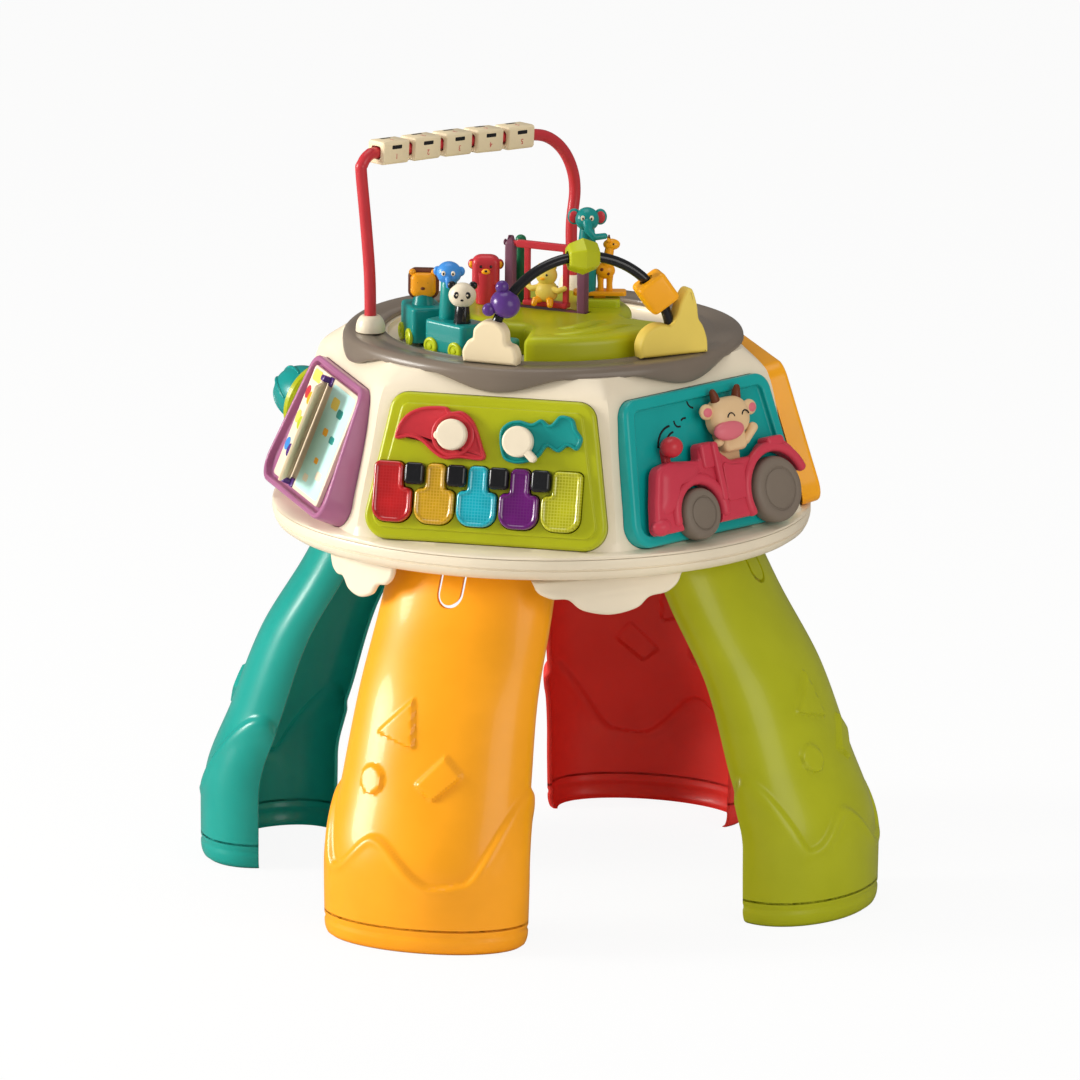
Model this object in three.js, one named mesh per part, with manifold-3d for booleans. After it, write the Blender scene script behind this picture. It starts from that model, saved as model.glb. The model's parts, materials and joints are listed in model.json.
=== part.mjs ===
// Activity table: four splayed legs, a six-sided top with a toy panel on each side, and a tray
// with a carry handle, a bead arch, a train, a swing and a seesaw. Millimetres, Z up, front at -Y.
import * as THREE from "three";
import { mergeVertices } from "three/addons/utils/BufferGeometryUtils.js";
import Module from "manifold-3d";

const wasm = await Module();
wasm.setup();

// Sizes of the whole table
const RIM_RADIUS = 183;
const RIM_BOTTOM = 246;
const SHELL_BOTTOM = 262.3;
const TRAY_TOP = 383;
const TRACK_TOP = 376;
const TRACK_INNER = 64;
const FOOT_CENTRE = 194;
const PANEL_COUNT = 6;
const SECTOR = (2 * Math.PI) / PANEL_COUNT;

// Fits
const REST_GAP = 0.3;
const SLIDE_GAP = 0.4;
const TURN_GAP = 0.35;
const KEY_GAP = 0.6;
const WALL = 3;
const THIN_WALL = 2.2;
const OVERRUN = 60;
const SINK = 0.6;
const SMALL_RADIUS = 3;

// Colours
const WHITE = 0xf1ece2;
const GREY = 0x77706a;
const LIME = 0xa3b20c;
const AMBER = 0xf7a413;
const TEAL = 0x0f8f86;
const CRIMSON = 0xb5283f;
const RED = 0xc4233a;
const PURPLE = 0x8b4c80;
const VIOLET = 0x5a2a7c;
const CYAN = 0x12b5d8;
const BLACK = 0x17171a;
const TYRE = 0x6f6862;
const CREAM = 0xefe2c6;
const PALE_YELLOW = 0xecd96c;
const ORANGE = 0xef9a1c;
const PALE_LIME = 0xdfe28a;
const BOARD_GREEN = 0x1d6b45;

const group = new THREE.Group();
group.name = "activity_table";

// Solid helpers
function signedVolume(geometry) {
  const position = geometry.getAttribute("position");
  const index = geometry.getIndex();
  const a = new THREE.Vector3();
  const b = new THREE.Vector3();
  const c = new THREE.Vector3();
  let volume = 0;
  for (let i = 0; i < index.count; i += 3) {
    a.fromBufferAttribute(position, index.getX(i));
    b.fromBufferAttribute(position, index.getX(i + 1));
    c.fromBufferAttribute(position, index.getX(i + 2));
    volume += a.dot(b.cross(c));
  }
  return volume;
}

function solid(source) {
  const bare = source.clone();
  bare.deleteAttribute("normal");
  bare.deleteAttribute("uv");
  const geometry = mergeVertices(bare, 1e-4);
  const flip = signedVolume(geometry) < 0;
  const index = geometry.getIndex().array;
  const triangles = [];
  for (let i = 0; i < index.length; i += 3) {
    const a = index[i];
    const b = index[i + 1];
    const c = index[i + 2];
    const real = a !== b && b !== c && c !== a;
    if (real) {
      triangles.push(a, flip ? c : b, flip ? b : c);
    }
  }
  const vertProperties = new Float32Array(geometry.getAttribute("position").array);
  const triVerts = new Uint32Array(triangles);
  return new wasm.Manifold(new wasm.Mesh({ numProp: 3, vertProperties, triVerts }));
}

function join(first, ...others) {
  return others.reduce((sum, other) => sum.add(other), first);
}

function cut(first, ...others) {
  return others.reduce((rest, other) => rest.subtract(other), first);
}

function geometryOf(body) {
  const data = body.getMesh();
  const count = data.vertProperties.length / data.numProp;
  const position = new Float32Array(count * 3);
  for (let i = 0; i < count; i += 1) {
    for (let k = 0; k < 3; k += 1) {
      position[i * 3 + k] = data.vertProperties[i * data.numProp + k];
    }
  }
  const geometry = new THREE.BufferGeometry();
  geometry.setAttribute("position", new THREE.BufferAttribute(position, 3));
  geometry.setIndex(new THREE.BufferAttribute(new Uint32Array(data.triVerts), 1));
  return geometry;
}

function add(name, body, colour, roughness, matrix, metalness = 0) {
  const geometry = geometryOf(body);
  if (matrix) {
    geometry.applyMatrix4(matrix);
  }
  geometry.computeVertexNormals();
  const material = new THREE.MeshStandardMaterial({ color: colour, roughness, metalness });
  const mesh = new THREE.Mesh(geometry, material);
  mesh.name = name;
  group.add(mesh);
}

function shift(geometry, x, y, z) {
  return geometry.translate(x, y, z);
}

function brick(width, depth, height, x, y, bottom) {
  return solid(shift(new THREE.BoxGeometry(width, depth, height), x, y, bottom + height / 2));
}

function drum(radius, bottom, top, sides, x = 0, y = 0, topRadius = radius) {
  const geometry = new THREE.CylinderGeometry(topRadius, radius, top - bottom, sides);
  geometry.rotateX(Math.PI / 2);
  return solid(shift(geometry, x, y, (top + bottom) / 2));
}

function crossPin(radius, length, sides, x, y, z) {
  const geometry = new THREE.CylinderGeometry(radius, radius, length, sides);
  geometry.rotateZ(Math.PI / 2);
  return solid(shift(geometry, x, y, z));
}

function ball(radius, x, y, z, stretch = [1, 1, 1], sides = 8) {
  const geometry = new THREE.SphereGeometry(radius, sides, Math.max(4, Math.round(sides * 0.55)));
  geometry.rotateX(Math.PI / 2);
  geometry.scale(stretch[0], stretch[1], stretch[2]);
  return solid(shift(geometry, x, y, z));
}

function spun(points, sides) {
  const profile = points.map(([radius, height]) => new THREE.Vector2(radius, height));
  return solid(new THREE.LatheGeometry(profile, sides).rotateX(Math.PI / 2));
}

function raised(shape, bottom, top, bevel = 0, curveSegments = 6, bevelSegments = 2) {
  const depth = top - bottom - 2 * bevel;
  const geometry = new THREE.ExtrudeGeometry(shape, {
    depth,
    curveSegments,
    bevelEnabled: bevel > 0,
    bevelThickness: bevel,
    bevelSize: bevel,
    bevelOffset: -bevel,
    bevelSegments,
  });
  return solid(shift(geometry, 0, 0, bottom + bevel));
}

// The same with its bevel at the top only
function domed(shape, bottom, top, bevel) {
  const block = raised(shape, bottom - 2 * bevel, top, bevel, 4, 1);
  return cut(block, brick(10 * OVERRUN, 10 * OVERRUN, 3 * bevel, 0, 0, bottom - 3 * bevel));
}

function outline(points) {
  return new THREE.Shape(points.map(([x, y]) => new THREE.Vector2(x, y)));
}

function scaled(shares, width, height, x = 0, y = 0) {
  return shares.map(([across, up]) => [x + across * width, y + up * height]);
}

// A closed outline with each corner rounded by its own radius
function roundedOutline(corners, fullSteps = 2) {
  const points = [];
  corners.forEach(([x, y, radius], i) => {
    const before = corners[(i + corners.length - 1) % corners.length];
    const after = corners[(i + 1) % corners.length];
    const here = new THREE.Vector2(x, y);
    const back = new THREE.Vector2(before[0] - x, before[1] - y).normalize();
    const ahead = new THREE.Vector2(after[0] - x, after[1] - y).normalize();
    const half = Math.acos(THREE.MathUtils.clamp(back.dot(ahead), -1, 1)) / 2;
    const reach = radius / Math.tan(half);
    const centre = back.clone().add(ahead).normalize().multiplyScalar(radius / Math.sin(half));
    centre.add(here);
    const start = here.clone().addScaledVector(back, reach).sub(centre);
    const end = here.clone().addScaledVector(ahead, reach).sub(centre);
    let sweep = end.angle() - start.angle();
    sweep -= 2 * Math.PI * Math.round(sweep / (2 * Math.PI));
    const steps = radius > SMALL_RADIUS ? fullSteps : 1;
    for (let k = 0; k <= steps; k += 1) {
      const turn = start.clone().rotateAround(new THREE.Vector2(), (sweep * k) / steps);
      points.push([centre.x + turn.x, centre.y + turn.y]);
    }
  });
  return points;
}

function roundedBox(halfX, halfY, radius, x = 0, y = 0) {
  return roundedOutline([
    [x - halfX, y - halfY, radius],
    [x + halfX, y - halfY, radius],
    [x + halfX, y + halfY, radius],
    [x - halfX, y + halfY, radius],
  ]);
}

function circlePoints(radius, sides, x = 0, y = 0) {
  const points = [];
  for (let i = 0; i < sides; i += 1) {
    const angle = (2 * Math.PI * i) / sides;
    points.push([x + radius * Math.cos(angle), y + radius * Math.sin(angle)]);
  }
  return points;
}

// A ring whose closed section may change on the way round
function ringLoft(columns, sectionAt) {
  const positions = [];
  const index = [];
  let count = 0;
  for (let i = 0; i < columns; i += 1) {
    const angle = (2 * Math.PI * i) / columns;
    const section = sectionAt(angle);
    count = section.length;
    section.forEach(([radius, height]) => {
      positions.push(radius * Math.sin(angle), -radius * Math.cos(angle), height);
    });
  }
  for (let i = 0; i < columns; i += 1) {
    const next = (i + 1) % columns;
    for (let k = 0; k < count; k += 1) {
      const up = (k + 1) % count;
      const a = i * count + k;
      const b = next * count + k;
      const c = next * count + up;
      const d = i * count + up;
      index.push(a, b, c, a, c, d);
    }
  }
  const geometry = new THREE.BufferGeometry();
  geometry.setAttribute("position", new THREE.Float32BufferAttribute(positions, 3));
  geometry.setIndex(index);
  return solid(geometry);
}

// A tube along a list of points; its ends are flat
function tube(points, radius, sides, steps) {
  const path = new THREE.CurvePath();
  for (let i = 0; i + 1 < points.length; i += 1) {
    path.add(new THREE.LineCurve3(points[i], points[i + 1]));
  }
  const shape = outline(circlePoints(radius, sides));
  const curve = new THREE.CatmullRomCurve3(points, false, "centripetal");
  const geometry = new THREE.ExtrudeGeometry(shape, {
    steps,
    bevelEnabled: false,
    extrudePath: curve,
  });
  return solid(geometry);
}

function turned(angle) {
  return new THREE.Matrix4().makeRotationZ(angle);
}

function degrees(value) {
  return THREE.MathUtils.degToRad(value);
}

// Legs: half shells of an elliptic section that spread towards the floor
const LEG_WALL = 3;
const LEG_HALF_WIDTH = 70;
const LEG_DEPTH = 45;
const LEG_SWEEP = degrees(108);
const LEG_AZIMUTHS = [degrees(-9), degrees(81), degrees(171), degrees(-99)];
const LEG_NAMES = ["leg_yellow", "leg_green", "leg_red", "leg_teal"];
const LEG_COLOURS = [AMBER, LIME, CRIMSON, TEAL];
const SOCKET_FLOOR = 250;
const LEG_TOP = 261.6;
const LEG_COLUMNS = 9;
const RELIEF = 2;

// Each row: height share, centre-distance share, half-width share, depth share
const LEG_ROW_SHARES = [
  [0, 1, 0.985, 1],
  [0.2, 1, 1, 1.01],
  [0.44, 0.911, 0.95, 0.94],
  [0.64, 0.823, 0.905, 0.885],
  [0.85, 0.672, 0.87, 0.835],
  [1, 0.579, 0.843, 0.789],
];

function legRows() {
  const rows = LEG_ROW_SHARES.map(([up, out, wide, deep]) => ({
    height: up * SOCKET_FLOOR,
    centre: out * FOOT_CENTRE,
    half: wide * LEG_HALF_WIDTH,
    depth: deep * LEG_DEPTH,
  }));
  const last = rows[rows.length - 1];
  rows.push({ ...last, height: LEG_TOP });
  return rows;
}

// The shell between an outer and an inner growth of the leg section, facing -Y
function legShell(rows, outerGrow, innerGrow, sweep = LEG_SWEEP) {
  const positions = [];
  const columns = LEG_COLUMNS + 1;
  [outerGrow, innerGrow].forEach((grow) => {
    rows.forEach((row) => {
      for (let j = 0; j < columns; j += 1) {
        const angle = -sweep + (2 * sweep * j) / LEG_COLUMNS;
        const across = (row.half + grow) * Math.sin(angle);
        const out = row.centre + (row.depth + grow) * Math.cos(angle);
        positions.push(across, -out, row.height);
      }
    });
  });
  const layer = rows.length * columns;
  const index = [];
  const quad = (a, b, c, d) => index.push(a, b, c, a, c, d);
  for (let i = 0; i + 1 < rows.length; i += 1) {
    for (let j = 0; j < LEG_COLUMNS; j += 1) {
      const a = i * columns + j;
      quad(a, a + 1, a + 1 + columns, a + columns);
      quad(layer + a + 1, layer + a, layer + a + columns, layer + a + 1 + columns);
    }
    const left = i * columns;
    const right = left + LEG_COLUMNS;
    quad(left, left + columns, layer + left + columns, layer + left);
    quad(right + columns, right, layer + right, layer + right + columns);
  }
  const top = (rows.length - 1) * columns;
  for (let j = 0; j < LEG_COLUMNS; j += 1) {
    quad(j + 1, j, layer + j, layer + j + 1);
    quad(top + j, top + j + 1, layer + top + j + 1, layer + top + j);
  }
  const geometry = new THREE.BufferGeometry();
  geometry.setAttribute("position", new THREE.Float32BufferAttribute(positions, 3));
  geometry.setIndex(index);
  return solid(geometry);
}

// A prism that stands across the leg wall: outline in width and height, pushed outwards
function wallPrism(points, curveSegments = 6) {
  const geometry = new THREE.ExtrudeGeometry(outline(points), {
    depth: 2 * OVERRUN + OVERRUN,
    bevelEnabled: false,
    curveSegments,
  });
  geometry.rotateX(Math.PI / 2);
  return solid(shift(geometry, 0, -FOOT_CENTRE / 2, 0));
}

const EMBLEM_SIZE = 34;
const EMBLEMS = [
  { across: -15, height: 147, shares: [[-0.52, -0.16], [0.34, -0.38], [0.18, 0.54]] },
  { across: -32, height: 111, shares: [[-0.25, 0], [-0.13, -0.22], [0.13, -0.22], [0.25, 0],
    [0.13, 0.22], [-0.13, 0.22]] },
  { across: 17, height: 117, shares: [[-0.45, -0.16], [-0.07, -0.44], [0.45, 0.05], [0.08, 0.42]] },
];
const BAND_HEIGHT = 10;
const WAVE_WIDTH = 144;
const WAVE_HEIGHT = 130;
const WAVE_SHARES = [
  [-0.5, 0.95], [-0.38, 0.41], [-0.16, 0.59], [0.16, 0.36], [0.29, 0.38], [0.5, 0.92],
];
const TAB_HALF_WIDTH = 7.5;
const TAB_BOTTOM = 223;
const TAB_TOP = 241;
const TAB_SLOT = 1.6;

function snapSlot() {
  const outer = roundedOutline([
    [-TAB_HALF_WIDTH, TAB_BOTTOM, TAB_HALF_WIDTH * 0.8],
    [TAB_HALF_WIDTH, TAB_BOTTOM, TAB_HALF_WIDTH * 0.8],
    [TAB_HALF_WIDTH, TAB_TOP, TAB_SLOT / 4],
    [-TAB_HALF_WIDTH, TAB_TOP, TAB_SLOT / 4],
  ]);
  const innerHalf = TAB_HALF_WIDTH - TAB_SLOT;
  const inner = roundedOutline([
    [-innerHalf, TAB_BOTTOM + TAB_SLOT, innerHalf * 0.8],
    [innerHalf, TAB_BOTTOM + TAB_SLOT, innerHalf * 0.8],
    [innerHalf, TAB_TOP + TAB_SLOT, TAB_SLOT / 4],
    [-innerHalf, TAB_TOP + TAB_SLOT, TAB_SLOT / 4],
  ]);
  return cut(wallPrism(outer), wallPrism(inner));
}

function legPoint(angle, height) {
  const rows = legRows();
  const above = Math.max(1, rows.findIndex((row) => row.height >= height));
  const low = rows[above - 1];
  const high = rows[above];
  const share = (height - low.height) / (high.height - low.height);
  const mix = (key) => low[key] + (high[key] - low[key]) * share;
  return new THREE.Vector3(mix("half") * Math.sin(angle),
    -mix("centre") - mix("depth") * Math.cos(angle), height);
}

// A flat tile that stands off the curved wall, square to it
function emblemTile({ across, height, shares }) {
  const angle = Math.asin(across / LEG_HALF_WIDTH);
  const centre = legPoint(angle, height);
  const beside = legPoint(angle + degrees(1), height).sub(centre).normalize();
  const above = legPoint(angle, height + 1).sub(centre).normalize();
  const out = new THREE.Vector3().crossVectors(beside, above).normalize();
  const up = new THREE.Vector3().crossVectors(out, beside);
  const tile = raised(outline(scaled(shares, EMBLEM_SIZE, EMBLEM_SIZE)), -LEG_WALL / 2, RELIEF);
  const matrix = new THREE.Matrix4().makeBasis(beside, up, out).setPosition(centre);
  return solid(geometryOf(tile).applyMatrix4(matrix));
}

function legBody() {
  const rows = legRows();
  const shell = legShell(rows, 0, -LEG_WALL);
  const reliefRows = rows.slice(0, rows.length - 3);
  const skin = legShell(reliefRows, RELIEF, -LEG_WALL / 2);
  const wave = scaled(WAVE_SHARES, WAVE_WIDTH, WAVE_HEIGHT);
  wave.push([WAVE_WIDTH / 2, BAND_HEIGHT], [-WAVE_WIDTH / 2, BAND_HEIGHT]);
  const band = wallPrism(wave).intersect(skin);
  return cut(join(shell, band, ...EMBLEMS.map(emblemTile)), snapSlot());
}

function addLegs() {
  const body = legBody();
  LEG_NAMES.forEach((name, i) => {
    add(name, body, LEG_COLOURS[i], 0.35, turned(LEG_AZIMUTHS[i]));
  });
}

// Base pan: rim band, floor, leg sockets, cloud lobes, battery box
const PAN_FLOOR_TOP = 253.2;
const SOCKET_TOP = 264.6;
const SOCKET_WALL = 2.4;
const RIM_LOW_RADIUS = 171;
const RIM_WALL = 3;
const RIM_PROFILE_SHARES = [[0, 0.25], [0.9, 0.25], [0.92, 0], [0.965, 0.1], [0.995, 0.5], [1, 1]];
const LOBE_DROP = 25;
const LOBE_SHARES = [
  [-0.5, 1.9], [-0.5, 0.8], [-0.4, 0.46], [-0.28, 0.42], [-0.18, 0.12], [0, -0.02],
  [0.18, 0.12], [0.27, 0.4], [0.41, 0.5], [0.5, 0.9], [0.5, 1.9],
];
const LOBES = [
  { azimuth: degrees(30), width: 104 },
  { azimuth: degrees(-33), width: 62 },
  { azimuth: degrees(126), width: 104 },
  { azimuth: degrees(-147), width: 62 },
];
const BATTERY_HALF_X = 37;
const BATTERY_HALF_Y = 24;
const BATTERY_Y = 38;
const BATTERY_DEPTH = 20;
const DOOR_THICK = 2.4;
const DOOR_LIP = 4;
const SPEAKER_RADIUS = 27;
const SPEAKER_Y = -38;
const GRILLE_SLOT = 2.6;
const GRILLE_COUNT = 4;
const GRILLE_PITCH = 9;

function panProfile() {
  const height = SHELL_BOTTOM - REST_GAP - RIM_BOTTOM;
  const outer = scaled(RIM_PROFILE_SHARES, RIM_RADIUS, height, 0, RIM_BOTTOM);
  const inside = RIM_RADIUS - RIM_WALL;
  const rimTop = RIM_BOTTOM + height;
  return [...outer, [inside, rimTop], [inside, PAN_FLOOR_TOP], [0, PAN_FLOOR_TOP]];
}

function socketRows(bottom, top) {
  const rows = legRows();
  const last = rows[rows.length - 1];
  return [{ ...last, height: bottom }, { ...last, height: top }];
}

function lobe({ azimuth, width }) {
  const points = scaled(LOBE_SHARES, width, LOBE_DROP, 0, RIM_BOTTOM - LOBE_DROP);
  const geometry = new THREE.ExtrudeGeometry(outline(points), {
    depth: 2 * OVERRUN,
    bevelEnabled: false,
  });
  geometry.rotateX(Math.PI / 2);
  shift(geometry, 0, -2 * OVERRUN + OVERRUN / 2, 0);
  const inner = RIM_LOW_RADIUS - 2 * WALL;
  const band = spun([[inner, RIM_BOTTOM - LOBE_DROP - WALL], [inner + WALL, RIM_BOTTOM - LOBE_DROP - WALL],
    [inner + WALL, SOCKET_FLOOR + SINK], [inner, SOCKET_FLOOR + SINK],
    [inner, RIM_BOTTOM - LOBE_DROP - WALL]], 30);
  return solid(geometry.applyMatrix4(turned(azimuth))).intersect(
    solid(geometryOf(band)),
  );
}

function addPan() {
  let pan = spun(panProfile(), 30);
  const wideSweep = LEG_SWEEP + degrees(4);
  const clearSweep = LEG_SWEEP + degrees(1);
  const pad = legShell(socketRows(SOCKET_FLOOR + SINK, SOCKET_TOP), SLIDE_GAP + SOCKET_WALL,
    -LEG_WALL - SLIDE_GAP - 2 * SOCKET_WALL, wideSweep);
  const slot = legShell(socketRows(RIM_BOTTOM - WALL, LEG_TOP + REST_GAP), SLIDE_GAP,
    -LEG_WALL - SLIDE_GAP, clearSweep);
  LEG_AZIMUTHS.forEach((azimuth) => {
    const turn = turned(azimuth);
    pan = join(pan, solid(geometryOf(pad).applyMatrix4(turn)));
  });
  LEG_AZIMUTHS.forEach((azimuth) => {
    const turn = turned(azimuth);
    pan = cut(pan, solid(geometryOf(slot).applyMatrix4(turn)));
  });
  LOBES.forEach((item) => {
    pan = join(pan, lobe(item));
  });
  pan = join(pan, brick(2 * (BATTERY_HALF_X + THIN_WALL), 2 * (BATTERY_HALF_Y + THIN_WALL),
    BATTERY_DEPTH - SINK, 0, BATTERY_Y, SOCKET_FLOOR + SINK));
  pan = cut(pan, brick(2 * BATTERY_HALF_X, 2 * BATTERY_HALF_Y, BATTERY_DEPTH - THIN_WALL + WALL,
    0, BATTERY_Y, SOCKET_FLOOR - WALL));
  pan = join(pan, brick(2 * BATTERY_HALF_X + THIN_WALL, DOOR_LIP, THIN_WALL, 0,
    BATTERY_Y + BATTERY_HALF_Y - DOOR_LIP / 2, SOCKET_FLOOR + DOOR_THICK + REST_GAP));
  pan = join(pan, brick(2 * BATTERY_HALF_X + THIN_WALL, DOOR_LIP, THIN_WALL, 0,
    BATTERY_Y - BATTERY_HALF_Y + DOOR_LIP / 2, SOCKET_FLOOR + DOOR_THICK + REST_GAP));
  for (let i = 0; i < GRILLE_COUNT; i += 1) {
    const y = SPEAKER_Y + (i - (GRILLE_COUNT - 1) / 2) * GRILLE_PITCH;
    pan = cut(pan, brick(SPEAKER_RADIUS, GRILLE_SLOT, 3 * WALL, 0, y, SOCKET_FLOOR - WALL));
  }
  add("base_pan", pan, WHITE, 0.4);
  add("battery_door", raised(outline(roundedBox(BATTERY_HALF_X - SLIDE_GAP,
    BATTERY_HALF_Y - SLIDE_GAP, DOOR_LIP, 0, BATTERY_Y)), SOCKET_FLOOR,
  SOCKET_FLOOR + DOOR_THICK), WHITE, 0.45);
}

function addSpeaker() {
  const base = PAN_FLOOR_TOP + REST_GAP;
  const basketHeight = 9;
  const magnetHeight = 16;
  const magnetRadius = 13;
  const cone = drum(SPEAKER_RADIUS, base, base + basketHeight, 16, 0, SPEAKER_Y, magnetRadius + WALL);
  const magnet = drum(magnetRadius, base + basketHeight / 2, base + magnetHeight, 16, 0, SPEAKER_Y);
  const mouth = drum(SPEAKER_RADIUS - WALL, base - WALL, base + basketHeight / 2, 16, 0, SPEAKER_Y,
    magnetRadius / 2);
  add("speaker", cut(join(cone, magnet), mouth), BLACK, 0.6);
}

// Upper shell: a round dome drawn in to six flat sides
const SHELL_WALL = 3;
const SHELL_HEIGHT = 114.3;
const SHELL_BLEND = 40;
const FLANGE_RADIUS = 112;

// Each row: height share, round-radius share, flat-distance share
const SHELL_ROW_SHARES = [
  [0, 1, 1.1],
  [0.04, 1, 0.882],
  [0.26, 0.99, 0.836],
  [0.6, 0.956, 0.78],
  [0.87, 0.885, 0.745],
  [1, 0.76, 0.682],
];
const INNER_ROWS = [4, 1];

function flatSided(angle, round, flat) {
  const off = angle - SECTOR * Math.round(angle / SECTOR);
  const side = flat / Math.cos(off);
  const sum = round ** -SHELL_BLEND + side ** -SHELL_BLEND;
  return sum ** (-1 / SHELL_BLEND);
}

function shellSection(angle) {
  const outer = SHELL_ROW_SHARES.map(([up, round, flat]) => [
    flatSided(angle, round * RIM_RADIUS, flat * RIM_RADIUS),
    SHELL_BOTTOM + up * SHELL_HEIGHT,
  ]);
  const top = SHELL_BOTTOM + SHELL_HEIGHT;
  const inner = INNER_ROWS.map((row) => [outer[row][0] - SHELL_WALL, outer[row][1]]);
  const last = outer[outer.length - 1][0];
  const foot = [outer[0][0] - SHELL_WALL, SHELL_BOTTOM];
  return [...outer, [FLANGE_RADIUS, top], [FLANGE_RADIUS, top - SHELL_WALL],
    [last, top - SHELL_WALL], ...inner, foot];
}

// Panels: boxes that stand on the flats. Local axes: X across, Y up the face, Z outwards
const PANEL_HALF_HEIGHT = 50;
const PANEL_TOP_HALF = 66;
const PANEL_BOTTOM_HALF = 84;
const PANEL_CORNER = 13;
const PANEL_DEPTH = 14;
const PANEL_BEVEL = 2.4;
const PANEL_CENTRE_HEIGHT = 316.5;
const PANEL_LEAN = degrees(15);
const FACE_THICK = 3;
const RECESS = 4;
const FRAME_EDGE = 8;

const COMMON = {
  lean: PANEL_LEAN,
  distance: 156,
  topHalf: PANEL_TOP_HALF,
  bottomHalf: PANEL_BOTTOM_HALF,
  halfHeight: PANEL_HALF_HEIGHT,
};
const PANELS = {
  piano: { ...COMMON, azimuth: degrees(0), distance: 154, topHalf: 69.5, bottomHalf: 86.5 },
  tractor: { ...COMMON, azimuth: degrees(60), topHalf: PANEL_TOP_HALF + 4 },
  clock: { ...COMMON, azimuth: degrees(120), distance: 164 },
  gear: { ...COMMON, azimuth: degrees(180) },
  spinner: { ...COMMON, azimuth: degrees(-120) },
  book: {
    azimuth: degrees(-60),
    distance: 161,
    lean: degrees(22),
    topHalf: 60,
    bottomHalf: 78,
    halfHeight: 47,
  },
};

function panelMatrix({ azimuth, distance, lean }) {
  const matrix = new THREE.Matrix4().makeRotationZ(azimuth);
  matrix.multiply(new THREE.Matrix4().makeTranslation(0, -distance, PANEL_CENTRE_HEIGHT));
  matrix.multiply(new THREE.Matrix4().makeRotationX(Math.PI / 2 - lean));
  return matrix;
}

function panelOutline({ topHalf, bottomHalf, halfHeight }, grow) {
  const radius = PANEL_CORNER + grow;
  return roundedOutline([
    [-bottomHalf - grow, -halfHeight - grow, radius + WALL],
    [bottomHalf + grow, -halfHeight - grow, radius + WALL],
    [topHalf + grow, halfHeight + grow, radius],
    [-topHalf - grow, halfHeight + grow, radius],
  ]);
}

function panelBox(panel, depth, recess, edge = FRAME_EDGE) {
  const block = domed(outline(panelOutline(panel, 0)), -depth, 0, PANEL_BEVEL);
  const hollow = raised(outline(panelOutline(panel, -THIN_WALL)), -depth - WALL,
    -recess - FACE_THICK);
  let box = cut(block, hollow);
  if (recess > 0) {
    const field = raised(outline(panelOutline(panel, -edge)), -recess, WALL);
    box = cut(box, field);
  }
  return box;
}

function addShell() {
  let shell = ringLoft(24, shellSection);
  Object.values(PANELS).forEach((panel) => {
    const hole = new THREE.ExtrudeGeometry(outline(panelOutline(panel, SLIDE_GAP)), {
      depth: 2 * OVERRUN,
      bevelEnabled: false,
    });
    shift(hole, 0, 0, -OVERRUN / 2).applyMatrix4(panelMatrix(panel));
    shell = cut(shell, solid(hole));
  });
  add("upper_shell", shell, WHITE, 0.38);
}

// Parts that turn on a panel have a stem through the face and a barb behind it
const STEM_BARB = 1;
const BARB_LENGTH = 2.5;

function stem(radius, faceTop, sides = 10, x = 0, y = 0) {
  const back = faceTop - FACE_THICK - REST_GAP;
  const shaft = drum(radius, back - BARB_LENGTH, faceTop + REST_GAP + SINK, sides, x, y);
  const barb = drum(radius + STEM_BARB, back - BARB_LENGTH, back, sides, x, y, radius + STEM_BARB);
  return join(shaft, barb);
}

function stemHole(radius, faceTop, sides = 10, x = 0, y = 0) {
  return drum(radius + TURN_GAP, faceTop - 3 * FACE_THICK, faceTop + WALL, sides, x, y);
}

// Piano panel
const KEY_PITCH = 29.2;
const KEY_WIDTH = 27.2;
const KEY_HEIGHT = 41;
const KEY_TOP = 2.5;
const KEY_ROW_X = -5.5;
const KEY_PROUD = 5;
const KEY_BACK = -6;
const KEY_CORNER = 10;
const BLACK_HALF_WIDTH = 6.6;
const BLACK_HEIGHT = 15;
const BLACK_PROUD = 7.5;
const KEYS = [
  { name: "key_red", colour: RED },
  { name: "key_amber", colour: AMBER },
  { name: "key_cyan", colour: CYAN },
  { name: "key_purple", colour: VIOLET },
  { name: "key_lime", colour: LIME },
];
const KNOB_RADIUS = 10.5;
const KNOB_STEM = 4;
const KNOB_HEIGHT = 10;
const PLATE_THICK = 3.4;
const HORN = { x: -25, y: 22.5, colour: RED };
const GUITAR = { x: 21, y: 20.5, colour: TEAL };
const HORN_SIZE = 60;
const HORN_SHARES = [
  [-0.66, -0.08], [-0.64, 0.07], [-0.55, 0.2], [-0.41, 0.28], [-0.25, 0.31], [-0.1, 0.31],
  [-0.04, 0.26], [0.09, 0.27], [0.22, 0.17], [0.3, 0.01], [0.35, -0.12], [0.39, -0.22],
  [0.33, -0.27], [0.1, -0.26], [-0.08, -0.28], [-0.21, -0.22], [-0.36, -0.1], [-0.5, -0.06],
];
const GUITAR_SIZE = 54;
const GUITAR_SHARES = [
  [-0.26, 0.08], [-0.18, 0.22], [-0.02, 0.27], [0.14, 0.24], [0.26, 0.3], [0.38, 0.24],
  [0.5, 0.36], [0.66, 0.33], [0.72, 0.2], [0.8, 0.08], [0.74, -0.06], [0.62, -0.02],
  [0.5, -0.1], [0.36, -0.04], [0.27, -0.16], [0.14, -0.24], [-0.04, -0.27], [-0.2, -0.2],
];
const BOARD_HALF_X = 70;
const BOARD_BOTTOM = -43;
const BOARD_TOP = -10;
const POST_RADIUS = 3;
const POST_LENGTH = 12;
const BOARD_THICK = 1.6;
const SWITCH_RADIUS = 4;
const SWITCH_HEIGHT = 1.6;
const KEY_LUG_Y = -24;
const KEY_LUG_BACK = -11.5;

function keyX(i) {
  return KEY_ROW_X + (i - 2) * KEY_PITCH;
}

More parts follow.
